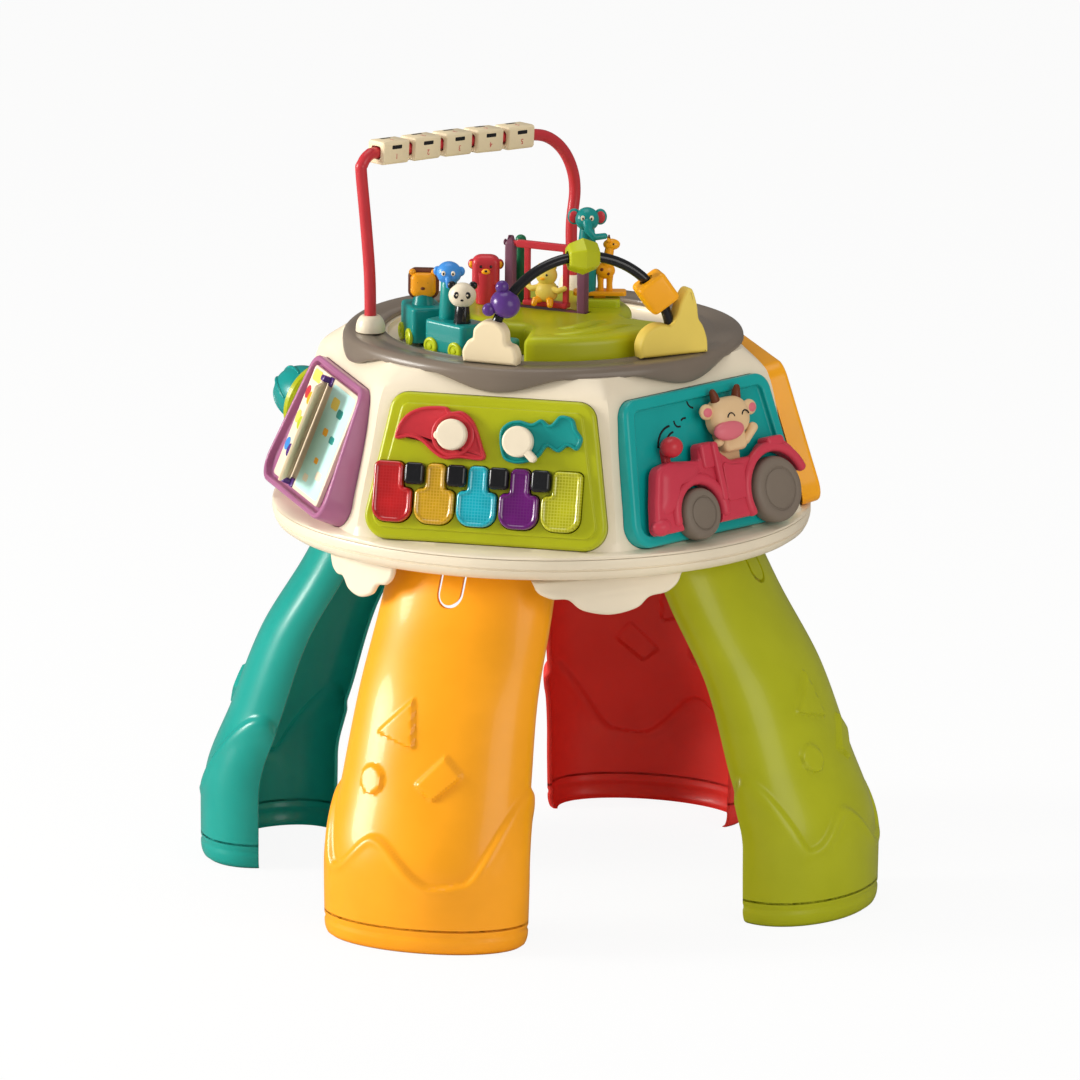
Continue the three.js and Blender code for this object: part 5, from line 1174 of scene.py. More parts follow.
def tractor_extras(place):
    """Mudguards, bumper, domed bonnet, windscreen post and the raised cab side."""
    form = Form(place)
    fender(form, REAR_WHEEL, 22, 204, 3.6)
    fender(form, FRONT_WHEEL, -6, 186, 4)
    form.ball(BUMPER, (7.5, 6, 6.6))
    bonnet = rounded([(-66, -34, 6), (-51, -30, 6), (-42, -12, 9), (-18, -8, 5), (-18, 0, 5),
                      (-44, 4.5, 10), (-57, 0.5, 8), (-63, -22, 14)], 8)
    swell(form, bonnet, 0.4, TRACTOR_OUT + 3, 6)
    post = rounded_box(3, 20.5, 2.8)
    form.plate(post, 0.3, TRACTOR_OUT + 3.4, 1.8, place=shift(-3.4, -8.8) @ turn_z(degrees(3)))
    block = rounded_box(6, 8.5, 3, -10.5, 2.8)
    form.plate(block, 0.3, TRACTOR_OUT + 1.6, 2.2)
    side = rounded([(2, -30, 2), (22, -30, 2), (20.5, -18, 4), (23, -7, 4), (10, -6, 5), (2, -2, 3)], 6)
    form.plate(side, TRACTOR_OUT - 1, TRACTOR_OUT + 1, 0.8)
    seat = rounded_box(8, 3.5, 3, 56, 3)
    form.plate(seat, 0.3, TRACTOR_OUT + 2, 2.2)
    return form


def tractor_cutter(place):
    cutter = Form(place)
    for wheel in (REAR_WHEEL, FRONT_WHEEL):
        cutter.plate(circle(wheel["arch"], wheel["x"], wheel["y"], 72), -OVERRUN, OVERRUN, 0)
    return cutter


def cow_form(place):
    """The cow and the arm that it rocks on. Paints: 0 peach, 1 pink, 2 brown, 3 black."""
    form = Form(place)
    x, y, half = COW["x"], COW["head_y"], COW["half"]
    body = rounded([(x - 10.5, y - 23, 5), (x + 13, y - 23, 5), (x + 11, y - 6, 4), (x - 10, y - 6, 4)], 6)
    form.plate(body, 0.4, 7.4, 3.4, steps=6)
    arm = rounded([(x - 8, COW["y"] - 4, 3), (x + 8, COW["y"] - 4, 3), (x + 11, y - 5, 3),
                   (x - 11, y - 5, 3)], 4)
    form.plate(arm, ARM_BOTTOM, ARM_TOP, 0.6)
    form.plate(rounded_box(8, 4, 1, x, COW["y"] + 26), ARM_BOTTOM, 1, 0)
    form.rod(TOY_STEM, STEM_BOTTOM, ARM_BOTTOM + 0.5, place=shift(x, COW["y"]))
    head = rounded([(x - half, y - 11.5, 11), (x + half - 3, y - 12.5, 11),
                    (x + half, y + 14, 13), (x - half + 1, y + 14, 13)], 10)
    swell(form, head, 0.4, 12.5, 8.5)
    for side, ear_y in ((-1, 6.6), (1, 4)):
        form.ball((x + side * 20.6, y + ear_y, 4.6), (6.4, 5.4, 3), 0)
        form.ball((x + side * 21.2, y + ear_y - 0.3, 6.2), (4.3, 3.5, 1.9), 1)
        form.tube([(x + side * 10, y + 12, 4.4), (x + side * 11, y + 16.5, 4.8), (x + side * 12, y + 19, 5)],
                  [3.4, 2.9, 2.2], 2, sides=18, domed=0.9)
        closed_eye(form, x + side * 6.9 + 1.4, y + 1.4, 12.3, 3.3, 3)
    form.ball((x - 7.5, y - 8.2, 9.8), (14, 6.9, 5.2), 1)
    form.ball((x - 15.5, y - 15, 6), (4.2, 3, 3), 0)
    form.tube([(x + 11, y - 17, 5), (x + 15, y - 13, 6.5), (x + 17.6, y - 9.5, 8)],
              [3.4, 3.2, 3.5], 0, domed=0.9)
    return form


CUSHION_POWER = 0.62


def swell(form, loop, bottom, top, soft, paint=0, place=None):
    """A cushion-like body: an outline rounded far over towards its middle."""
    centre = sum(loop, Vector((0, 0))) / len(loop)
    rings = [ring_at(loop, bottom)]
    steps = 10
    for k in range(steps):
        angle = math.pi / 2 * k / steps
        size = math.cos(angle) ** CUSHION_POWER
        height = top - soft + soft * math.sin(angle)
        rings.append(ring_at([centre + (p - centre) * size for p in loop], height))
    rings.append([(centre.x, centre.y, top)])
    form.loft(rings, paint, place)


def closed_eye(form, x, y, z, size, paint):
    """A closed eye: a thin raised arc."""
    arc = [polar(size, degrees(between(15, 165, k / 12)), x, y - size / 2) for k in range(13)]
    form.tube(ring_at(arc, z), 0.55, paint, sides=8, domed=0.8)


def lever_form(place):
    form = Form(place)
    x, y = LEVER["x"], LEVER["y"]
    form.plate(rounded_box(3, 13, 2.5, x, y + 9), ARM_BOTTOM, ARM_TOP, 0.8)
    form.rod(TOY_STEM, STEM_BOTTOM, ARM_BOTTOM + 0.5, place=shift(x, y))
    r = LEVER["radius"]
    form.ball((x, LEVER["ball_y"] - 0.3, r - 3), (r, 0.88 * r, 0.92 * r), steps=40)
    return form


# Book panel
BOOK = {"spine": -14, "left": -55, "right": 53, "half": 40, "recess": 5, "edge": 4, "proud": 0.6}
LEAF_WIDTH = 46
LEAF_LIFT = 24
PAGE_TOP = -1.7
LEAF_AXIS = 2.3
PRINT_RISE = 0.3
PAGE_DOTS = ((-49, 21, 3), (-41, 18, 4), (-49, 3, 5), (-41, 0, 6), (-49, -17, 7), (-41, -20, 2))


def spread_form(place):
    """Paints: 0 page, 1 blue page, then the print's colours."""
    form = Form(place)
    middle = (BOOK["left"] + BOOK["right"]) / 2
    half = (BOOK["right"] - BOOK["left"]) / 2
    page = rounded_box(half, BOOK["half"], 3, middle, 0)
    form.plate(page, -4.7, PAGE_TOP, 0.8)

    def print_on(loop, paint, rise=PRINT_RISE):
        form.plate(loop, PAGE_TOP - 0.2, PAGE_TOP + rise, 0.1, paint=paint)

    print_on(rounded_box(27, BOOK["half"] - 3, 3, 23, 0), 1, 0.25)
    for side in (-1, 1):
        post = rounded_box(3.5, 2, 1, BOOK["spine"], side * (BOOK["half"] - 3))
        form.plate(post, PAGE_TOP - 1, LEAF_AXIS + 2.6, 1, paint=2)
        tab = rounded_box(3.4, 3.2, 1, BOOK["spine"] + 4, side * (BOOK["half"] - 3.4))
        form.plate(tab, PAGE_TOP - 0.2, PAGE_TOP + 1.2, 0.4, paint=2)
    for x, y, paint in PAGE_DOTS:
        print_on(circle(4.6, x, y, 28), paint)
    print_on(rounded_box(9, 4, 2.4, -42, 34), 5)
    motifs = ((14, 26, 5, 8), (30, 22, 8, 6), (16, 6, 4, 5), (34, 4, 8, 5), (20, -14, 4, 4),
              (36, -22, 0, 6), (12, -28, 0, 5))
    for x, y, paint, size in motifs:
        loop = rounded_box(size, size * 0.5, size * 0.35, x, y)
        form.plate(loop, PAGE_TOP, PAGE_TOP + 0.5, 0.1, paint=paint)
    return form


def leaf_form(place):
    form = Form(place @ shift(BOOK["spine"], 0, LEAF_AXIS))
    half = BOOK["half"] - 5.4
    form.spin([(0, -half), (2.3, -half), (2.6, 0.4 - half), (2.6, half - 0.4), (2.3, half), (0, half)],
              place=FACE_OUT, steps=24)
    form.rod(1.6, -half - 2.5, half + 2.5, place=FACE_OUT)
    sheet = rounded_box(LEAF_WIDTH / 2, half, 4, LEAF_WIDTH / 2, 0)
    lift = Matrix.Rotation(-degrees(LEAF_LIFT), 4, "Y")
    form.plate(sheet, -1, 1, 0.5, 0.5, place=lift)
    for x, y, paint in ((14, 20, 1), (30, 14, 2), (16, -2, 3), (32, -12, 1), (18, -24, 2)):
        form.plate(circle(4.2, x, y, 24), 0.8, 1.2, 0.1, paint=paint, place=lift)
    return form


# Clock panel
DIAL = {"x": 4, "y": -4, "radius": 36, "top": 3.3}
HAND_THICK = 2.6
HAND_SHARES = ((-0.09, -0.16), (0.09, -0.16), (0.11, 0.55), (0.24, 0.6), (0, 1), (-0.24, 0.6),
               (-0.11, 0.55))


def dial_form(place):
    form = Form(place @ shift(DIAL["x"], DIAL["y"]))
    r, top = DIAL["radius"], DIAL["top"]
    profile = [(3.4, ON_FIELD), (r, ON_FIELD), (r, top - 2.4), (r * 0.99, top - 1.2), (r * 0.965, top - 0.3),
               (r * 0.94, top), (r * 0.9, top - 0.1), (r * 0.88, top - 0.7), (r * 0.86, top - 0.8),
               (r * 0.5, top - 0.5), (3.4, top - 0.3)]
    form.spin(profile, steps=72, closed=True)
    for hour in range(1, 13):
        spot = polar(r * 0.72, degrees(90 - 30 * hour))
        form.digits(str(hour), 7.4, 0.25, 1, shift(*spot, top - 0.55))
    return form


def hand_form(place, length, bottom, turn, hub):
    form = Form(place @ shift(DIAL["x"], DIAL["y"]) @ turn_z(degrees(turn)))
    corners = [(p.x, p.y, 0.5) for p in scaled(HAND_SHARES, length * 0.7, length)]
    form.plate(rounded(corners, 3), bottom, bottom + HAND_THICK, 0.6)
    form.plate(circle(hub, sides=40), bottom, bottom + HAND_THICK + 0.02, 0.6)
    return form


# Gear panel
GEAR_MODULE = 3.4
GEARS = {"gear_large": (16, -20, 0.0, "amber"), "gear_small": (10, 24.2, math.pi + math.pi / 10, "teal")}
GEAR_Y = -3
GEAR_BOTTOM = ON_FIELD
GEAR_TOP = 4.3
TOOTH_SHARES = ((-0.29, -1.1), (-0.2, -0.3), (-0.12, 0.8), (0.12, 0.8), (0.2, -0.3), (0.29, -1.1))


def gear_form(place, teeth, x, phase):
    form = Form(place @ shift(x, GEAR_Y))
    pitch = GEAR_MODULE * teeth / 2
    loop = []
    for i in range(teeth):
        for share, rise in TOOTH_SHARES:
            angle = phase + (i + share) * 2 * math.pi / teeth
            loop.append(polar(pitch + rise * GEAR_MODULE, angle))
    form.plate(loop, GEAR_BOTTOM, GEAR_TOP, 0.8, 0.4, steps=3)
    root = pitch - 1.1 * GEAR_MODULE
    ring = [(root * 0.86, GEAR_TOP - 0.2), (root * 0.84, GEAR_TOP + 0.5), (root * 0.8, GEAR_TOP + 0.7),
            (root * 0.74, GEAR_TOP + 0.7), (root * 0.7, GEAR_TOP + 0.5), (root * 0.68, GEAR_TOP - 0.2)]
    form.spin(ring, steps=64, closed=True)
    form.ball((0, 0, GEAR_TOP), (6, 6, 4.2), steps=32)
    for i in range(5):
        spot = polar(root * 0.45, 2 * math.pi * i / 5 + phase)
        form.ball((*spot, GEAR_TOP), (root * 0.12, root * 0.12, 1.2), steps=20)
    form.rod(WHEEL_STEM, STEM_BOTTOM, GEAR_BOTTOM + 1, steps=24)
    return form


# Spinner panel
SPIN = {"x": 22, "y": -22, "out": 34, "collar": 26, "dome": 20, "stretch": 1.45}


def spinner_form(place):
    """Paints: 0 teal dome, 1 lime collar."""
    form = Form(place @ shift(SPIN["x"], SPIN["y"]))
    out, collar, dome = SPIN["out"], SPIN["collar"], SPIN["dome"]
    tall = SPIN["stretch"] * dome
    form.spin([(0, out), (collar - 1, out), (collar, out + 1), (collar, out + 4), (collar - 1, out + 5),
               (0, out + 5)], 1, steps=80)
    profile = [(dome, out + 4.6)]
    for k in range(1, 24):
        angle = math.pi / 2 * k / 24
        profile.append((dome * math.cos(angle), out + 5 + tall * math.sin(angle)))
    profile.append((0, out + 5 + tall))
    form.spin(profile, 0, steps=80)
    for i in range(6):
        path = []
        for k in range(17):
            angle = degrees(between(12, 78, k / 16))
            spot = polar(dome * math.cos(angle), degrees(60 * i + 35 * k / 16))
            path.append((*spot, out + 5 + tall * math.sin(angle)))
        form.tube(path, [0.8 + 0.6 * math.sin(math.pi * k / 16) for k in range(17)], 0, sides=12,
                  domed=0.8)
    form.rod(6, STEM_BOTTOM, out + 1, 1, steps=32)
    return form


# Tray
TRAY_TOP = 383
TRACK_TOP = 376
RING = {"inner": 108, "outer": 136, "wall": 2.2, "low": 377.6, "drop": 11.2, "bottom": 380}
TRAIN_RADIUS = 84
SLOT = {"half": 3, "start": -214, "end": -29}


def drip(angle):
    main = ((1 + math.cos(6 * angle)) / 2) ** 1.6
    small = 0.34 * ((1 - math.cos(6 * angle)) / 2) ** 3
    return max(main, small) + 0.2 * min(main, small)


def ring_section(angle):
    """The tray ring's closed section: a soft crown that runs down into drips."""
    share = drip(angle)
    low = RING["low"] - RING["drop"] * share
    outer = RING["outer"] + math.cos(6 * angle)
    wall = outer - RING["wall"]
    inner, top = RING["inner"], TRAY_TOP
    shoulder = 5.5
    section = [(inner + 0.4, RING["bottom"]), (inner, RING["bottom"] + 0.6), (inner, top - 1.0),
               (inner + 0.3, top - 0.3), (inner + 1.0, top), (inner + 5, top - 0.1),
               (inner + 7, top - 0.9), (inner + 10, top - 0.9), (inner + 12.5, top - 0.3),
               (outer - shoulder - 5, top), (outer - shoulder, top)]
    for k in range(1, 8):
        turn = math.pi / 2 * k / 7
        section.append((outer - shoulder + shoulder * math.sin(turn),
                        top - shoulder + shoulder * math.cos(turn)))
    section += [(outer + 0.3 * share, between(top - shoulder, low, 0.5)),
                (outer, low + 1.4), (outer - 0.4, low + 0.4), (outer - 1.1, low),
                (wall + 0.2, low + 0.3), (wall, low + 1.2), (wall, max(low + 1.6, RING["bottom"] - 1)),
                (wall - 2, RING["bottom"])]
    return section


def tray_form():
    form = Form()
    rings = [[(*on_circle(azimuth, r), z) for r, z in ring_section(degrees(azimuth))]
             for azimuth in range(360)]
    form.loft(rings, along=True)
    return form


def track_form():
    """The dished plate that carries the train, with its flange under the ring."""
    form = Form()
    profile = [(0, TRACK_TOP - 3), (110, TRACK_TOP - 3), (110.2, 376.9), (124, 376.9), (124, 379.7),
               (105.8, 379.7), (105.8, TRACK_TOP + 1.4), (105.2, TRACK_TOP + 0.5),
               (104.2, TRACK_TOP), (78, TRACK_TOP), (0, TRACK_TOP)]
    form.spin(profile, steps=180)
    return form


# Hill
HILL = {"top": 397.3, "radius": 60, "reach": 101, "corner": 5, "from": 6, "to": 76, "soft": 6}
STEP = {"x": 35, "y": 17, "turn": 13.7, "half_x": 14, "half_y": 10, "height": 5}
SWING = {"x": 3.5, "y": -6, "turn": -11, "half": 27, "post": 4.2, "height": 48, "axle": 43}


def on_hill(spot):
    return shift(spot["x"], spot["y"], HILL["top"]) @ turn_z(degrees(spot["turn"]))


def hill_loop():
    def arc(radius, first, last, steps):
        return [on_circle(between(first, last, i / steps), radius) for i in range(steps + 1)]

    start, end, reach, corner = HILL["from"], HILL["to"], HILL["reach"], HILL["corner"]
    low, shoulder, inner = reach - corner, reach - 1.4, HILL["radius"] + 6
    loop = [on_circle(start, low), on_circle(start + 1.2, shoulder)]
    loop += arc(reach, start + 4, end - 4, 40)
    loop += [on_circle(end - 1.2, shoulder), on_circle(end, low), on_circle(end, inner)]
    loop += arc(HILL["radius"], end + 5, start + 355, 120) + [on_circle(start + 360, inner)]
    return loop


def hill_form():
    form = Form()
    loop = hill_loop()
    form.plate(loop, TRACK_TOP + 0.3, HILL["top"], HILL["soft"], 0.5, steps=8)
    return form


def hill_details():
    form = Form()
    form.plate(rounded_box(STEP["half_x"], STEP["half_y"], 4), -0.6, STEP["height"], 1.6,
               place=on_hill(STEP), paint=1)
    for radius, start, end in ((84, 14, 66), (66, 18, 60)):
        path = []
        widths = []
        for k in range(41):
            share = k / 40
            reach = radius + 5 * math.sin(2 * math.pi * share)
            path.append((*on_circle(between(start, end, share), reach), HILL["top"] - 2.4))
            widths.append(0.8 + 4.4 * math.sin(math.pi * share) ** 0.7)
        form.tube(path, widths, 0, sides=20)
    return form


def hill_cutter():
    cutter = Form()
    gap = 0.4
    half = SWING["half"] + SWING["post"] + gap
    cutter.plate(rounded_box(half, SWING["post"] + gap, 0.5), -3.3, OVERRUN, 0, place=on_hill(SWING))
    return cutter


def step_cutter():
    cutter = Form(on_hill(STEP))
    cutter.plate(rounded_box(STEP["half_x"], 2.5, 0.5), STEP["height"] - 7, OVERRUN, 0)
    return cutter


# Train
CARS = (
    {"azimuth": -62, "length": 34, "height": 27},
    {"azimuth": -31, "length": 38, "height": 24},
    {"azimuth": -6, "length": 20, "height": 15},
)
CAR_HALF_WIDTH = 12
CAR_WHEEL = 6
LINKS = (-46, -16)
GUIDE_PIN = ((0, -5.8), (4.1, -5.8), (4.1, -3.4), (2.1, -3.3), (2.1, 4), (0, 4))


def car_place(car):
    return turn_z(degrees(car["azimuth"])) @ shift(0, -TRAIN_RADIUS, TRACK_TOP)


def car_form(form, car):
    """Paints: 0 teal, 1 lime wheels."""
    place = car_place(car)
    half = car["length"] / 2
    height = car["height"]
    form.plate(rounded_box(half, CAR_HALF_WIDTH, 4), 3, height, 2.2, 1, place=place, steps=5)
    spots = (-0.3, 0.3) if car["length"] > 30 else (0,)
    w = CAR_WHEEL
    for share in spots:
        for side in (-1, 1):
            centre = shift(share * car["length"], side * (CAR_HALF_WIDTH + 0.6), w + 0.3)
            face = centre @ (FACE_OUT if side < 0 else FACE_OUT @ Matrix.Rotation(math.pi, 4, "X"))
            profile = [(0, -1.6), (w - 0.5, -1.6), (w, -1), (w, 0.5), (w - 0.6, 1.1), (w - 1.4, 1.3),
                       (w - 2.2, 1.1), (w - 2.6, 0.6), (1.8, 0.6), (1.5, 1.2), (0, 1.4)]
            form.spin(profile, 1, place @ face, 36)
    rim = rounded_box(half - 0.4, CAR_HALF_WIDTH - 0.4, 4)
    form.plate(rim, height - 4.6, height - 3.4, 0.5, 0.5, 0, place)


def rider_place(car, x, y, rise, turn):
    """A rider's face over its car, turned from the track towards the camera; Z looks out of it."""
    spot = car_place(car) @ shift(x, y, car["height"] + rise)
    return spot @ turn_z(degrees(turn - car["azimuth"])) @ FACE_OUT


def neck(form, car, x, y, rise, radii, paint):
    place = car_place(car)
    foot = place @ Vector((x, y, car["height"] - 2))
    form.tube([foot, place @ Vector((x, y, car["height"] + rise))], radii, paint, domed=0.4)


def train_form():
    """Paints: 0 teal, 1 lime, 2 amber, 3 brown, 4 blue, 5 white, 6 black."""
    form = Form()
    for car in CARS:
        car_form(form, car)
    for azimuth in LINKS:
        place = turn_z(degrees(azimuth))
        path = [place @ Vector((x, -TRAIN_RADIUS, TRACK_TOP + 8)) for x in (-10, 0, 10)]
        form.tube(path, 2.4, 0, domed=0.5)
    engine, wagon = CARS[:2]
    for car in (engine, wagon):
        form.spin(GUIDE_PIN, 0, car_place(car), 20)
    lion(form, rider_place(engine, 0, 0, 14, 10))
    neck(form, engine, 0, 0, 7, [8.4, 6.4], 0)
    blue_head(form, rider_place(wagon, -9, 2, 31, 10))
    neck(form, wagon, -9, 2, 26, [6.8, 5.4], 0)
    panda(form, rider_place(wagon, 8, -2, 19, 12))
    neck(form, wagon, 8, -2, 12, [6.2, 4.6], 6)
    return form


def lion(form, face):
    """A squarish amber face in a brown mane."""
    form.plate(rounded_box(10.4, 10.2, 5, steps=8), -6, 3.4, 2.4, 2.4, 3, face, 5)
    swell(form, rounded_box(8.6, 8.4, 4.4, 0, -0.4, 8), 3, 7.4, 4, 2, face)
    form.pair((7.4, 8.2, 3), (2.4, 2.4, 2), 2, face, 16)
    form.pair((3.4, 1.6, 6.8), (0.8, 1, 0.5), 6, face, 12)
    form.ball((0, -2.2, 7.3), (1.5, 1.1, 0.8), 3, face, 16)


def blue_head(form, face):
    """A round blue face with a short trunk."""
    form.ball((0, 0, 0), (8.6, 8, 7.6), 4, face, 32)
    form.pair((7.8, 1, -1), (3, 3.4, 2.2), 4, face, 18)
    form.pair((3.2, 1, 6.9), (1.5, 1.8, 0.8), 5, face, 14)
    form.pair((3.2, 0.8, 7.6), (0.7, 0.9, 0.4), 6, face, 12)
    trunk = [face @ Vector(spot) for spot in ((0, -2.5, 6.4), (0, -5, 8), (0, -8, 7.4))]
    form.tube(trunk, [2.2, 1.8, 1.4], 4, sides=14, domed=0.8)


def panda(form, face):
    form.ball((0, 0, 0), (9.4, 8.6, 8.2), 5, face, 36)
    form.pair((7.2, 6.6, -0.5), (2.9, 2.9, 2.1), 6, face, 18)
    form.pair((3.8, 1.2, 7), (2, 2.5, 1.1), 6, face, 16)
    form.pair((3.6, 1.5, 8), (0.7, 0.7, 0.4), 5, face, 12)
    form.ball((0, -2, 8.2), (1.1, 0.8, 0.6), 6, face, 12)


# Swing, seesaw, fox
def swing_frame_form():
    form = Form(on_hill(SWING))
    for side in (-1, 1):
        thick = SWING["post"] - 0.9
        post = rounded_box(thick, thick, 1.3, side * SWING["half"], 0)
        top = SWING["height"]
        form.stack(post, ((0.3, -3), (0, -2.7), (0, top - 5.5), (0.3, top - 4.6), (1, top - 3.6),
                          (1.9, top - 1.8), (2.5, top - 0.7), (2.8, top - 0.2), (2.95, top)))
        form.ball((side * (SWING["half"] + 4.2), 0, SWING["axle"]), (1, 2.2, 2.2), steps=18)
    form.plate(rounded_box(SWING["half"], SWING["post"], 1), -3, -0.3, 0.3)
    return form


def swing_seat_form():
    """Paints: 0 red, 1 yellow rider, 2 orange, 3 black."""
    form = Form(on_hill(SWING))
    inner = SWING["half"] - SWING["post"] - 0.4
    axle = SWING["axle"]
    across = Matrix.Rotation(math.pi / 2, 4, "Y")
    reach = SWING["half"] - 0.5
    form.rod(1.9, -reach, reach, place=shift(0, 0, axle) @ across)
    form.plate(rounded_box(inner, 2.5, 1.2), -2.2, 2.2, 0.8, 0.8, place=shift(0, 0, axle) @ FACE_OUT)
    for side in (-1, 1):
        rail = rounded_box(1.9, (axle - 2) / 2, 1, side * (inner - 8), axle / 2 + 0.6)
        form.plate(rail, -1.8, 1.8, 0.7, 0.7, place=FACE_OUT)
    form.plate(rounded_box(inner - 6, 4.3, 1.6), 1.6, 5.2, 1, 1)
    form.ball((0, 0, 12), (8.2, 6.6, 8), 1, steps=32)
    form.ball((0, -0.4, 23.2), (7.5, 6.7, 7), 1, steps=32)
    for side in (-1, 1):
        form.tube([(side * 5, -1.8, 14.5), (side * 10, -3, 13.5), (side * 14.4, -1.5, 15.5)],
                  [2.4, 2.1, 1.8], 1, sides=16, domed=0.9)
        form.tube([(side * 3.4, -2.6, 6.8), (side * 5.6, -6.6, 6.4), (side * 6, -7.4, 4)],
                  [2.7, 2.4, 2], 2, sides=16, domed=0.9)
    form.pair((2.8, -6.4, 24.4), (0.8, 0.5, 0.95), 3, steps=12)
    form.pair((5.4, 0.4, 28.8), (1.7, 1.3, 1.9), 1, steps=16)
    form.ball((0, -7.2, 21.8), (1.9, 1.6, 1), 2, steps=16)
    for side in (-1, 0, 1):
        form.ball((side * 1.4, 0, 30.4 - abs(side) * 0.7), (0.9, 0.9, 1.6), 1, steps=12)
    return form


def seesaw_form():
    """Paints: 0 orange, 1 teal, 2 red, 3 white, 4 black, 5 brown."""
    form = Form(on_hill(STEP))
    deck = STEP["height"] + 4.4
    form.plate(rounded_box(18, 6, 2.4), STEP["height"] + 1.8, STEP["height"] + 4.8, 1, 0.6)
    form.plate(rounded_box(4, 2, 0.6), STEP["height"] - 5.2, STEP["height"] + 2.4, 0)
    form.rod(1.5, -4.5, 4.5, place=shift(0, 0, 1.6) @ FACE_OUT, steps=18)
    giraffe(form, deck)
    elephant(form, deck)
    return form


def giraffe(form, deck):
    x = 3.5
    for side in (-1, 1):
        leg = x + side * 3
        form.tube([(leg, 0, deck - 0.4), (leg, 0, deck + 5), (leg + 0.2 * side, 0, deck + 12)],
                  [2.3, 2, 2.6], 0, sides=18)
    form.ball((x, 0, deck + 14), (6.8, 4.8, 5.8), 0, steps=28)
    form.tube([(x + 1, 0, deck + 15), (x + 1.9, 0, deck + 23), (x + 3.2, 0, deck + 31)],
              [4.4, 3.4, 3], 0, sides=20, domed=0.6)
    form.ball((x + 4.2, 0, deck + 32.2), (5.8, 3.8, 3.9), 0, steps=26)
    for side in (-1, 1):
        form.ball((x + 2.2, side * 3.3, deck + 35.6), (1.3, 2, 1.6), 0, steps=14)
        form.tube([(x + 2.8, side * 1.3, deck + 34.4), (x + 2.4, side * 1.5, deck + 38)],
                  [0.65, 0.65], 5, sides=10, domed=0.9)
        form.ball((x + 5.4, side * 3.5, deck + 33), (0.7, 0.45, 0.8), 4, steps=10)
    for off, y, z, size in ((-2.2, -4.3, 15.5, 1.2), (2.2, -4.2, 12.6, 1.1), (2.2, -3.3, 20.5, 0.9),
                            (2.9, -2.9, 25.5, 0.8)):
        form.ball((x + off, y, deck + z), (size, 0.7, size), 5, steps=12)


def elephant(form, deck):
    place = shift(-9, 0, deck)
    body = [place @ Vector((0, 0, height)) for height in (-0.4, 4, 20, 36, 43)]
    form.tube(body, [6.2, 6.5, 6.8, 5.8, 5], 1, sides=28)
    form.ball((0, 0, 49.5), (8.2, 7.6, 8.2), 1, place, 36)
    form.pair((8.8, 1.4, 51), (4.6, 2.2, 5.6), 1, place, 24)
    form.pair((9.1, -0.3, 51), (3.1, 1, 4.2), 2, place, 20)
    form.pair((3, -6.8, 51.5), (1.5, 0.8, 1.9), 3, place, 14)
    form.pair((2.9, -7.4, 51.3), (0.7, 0.45, 0.9), 4, place, 10)
    form.pair((6.4, -1, 26), (2.6, 3.2, 5.6), 1, place, 18)
    trunk = ((0, -6.4, 48.5), (1, -9, 43.5), (5, -9.6, 39), (12, -8, 39.6))
    form.tube([place @ Vector(spot) for spot in trunk], [3.4, 2.9, 2.5, 2.1], 1, sides=18, domed=0.9)


FOX = (-40, -2)
TREE = (-19, 11)


def fox_form():
    """Paints: 0 red, 1 orange, 2 black."""
    form = Form(shift(FOX[0], FOX[1], HILL["top"] + 0.3) @ turn_z(degrees(13.7)))
    form.tube([(0, 0, 0), (0, 0, 3), (0, 0, 14), (0, 0, 22)], [6.6, 7, 7.6, 8], 0, sides=32)
    swell(form, rounded_box(9.4, 6.2, 4, steps=8), 14, 33.6, 6)
    form.pair((9.2, 0, 27), (3, 2.2, 3.6), 0, steps=20)
    form.pair((9.6, -1.2, 27), (1.9, 1.3, 2.4), 1, steps=16)
    form.pair((3.4, -6.6, 26.4), (0.9, 0.6, 1.1), 2, steps=10)
    form.ball((0, -6.6, 22.8), (3, 1.8, 2.2), 1, steps=18)
    form.ball((0, -8.2, 23.6), (1, 0.7, 0.8), 2, steps=10)
    return form


def tree_form():
    form = Form(shift(TREE[0], TREE[1], HILL["top"]))
    form.tube([(0, 0, -0.3), (0, 0, 4), (0, 0, 40), (0, 0, 43)], [4.6, 3.9, 3.75, 3.7], 0, sides=32,
              domed=0.9)
    return form


# Carry handle
HANDLE = {"radius": 4, "rise": 123.5, "fall": 11, "left_bend": 12, "right_bend": 43,
          "left_bulge": 10, "right_bulge": 1, "crown": 1}
HANDLE_FEET = ((-66, 119), (-176, 118))
CAP_RADIUS = 10
CAP_HEIGHT = 12
BLOCK = {"count": 5, "pitch": 30, "length": 24.4, "half": 8, "bore": 5.5}


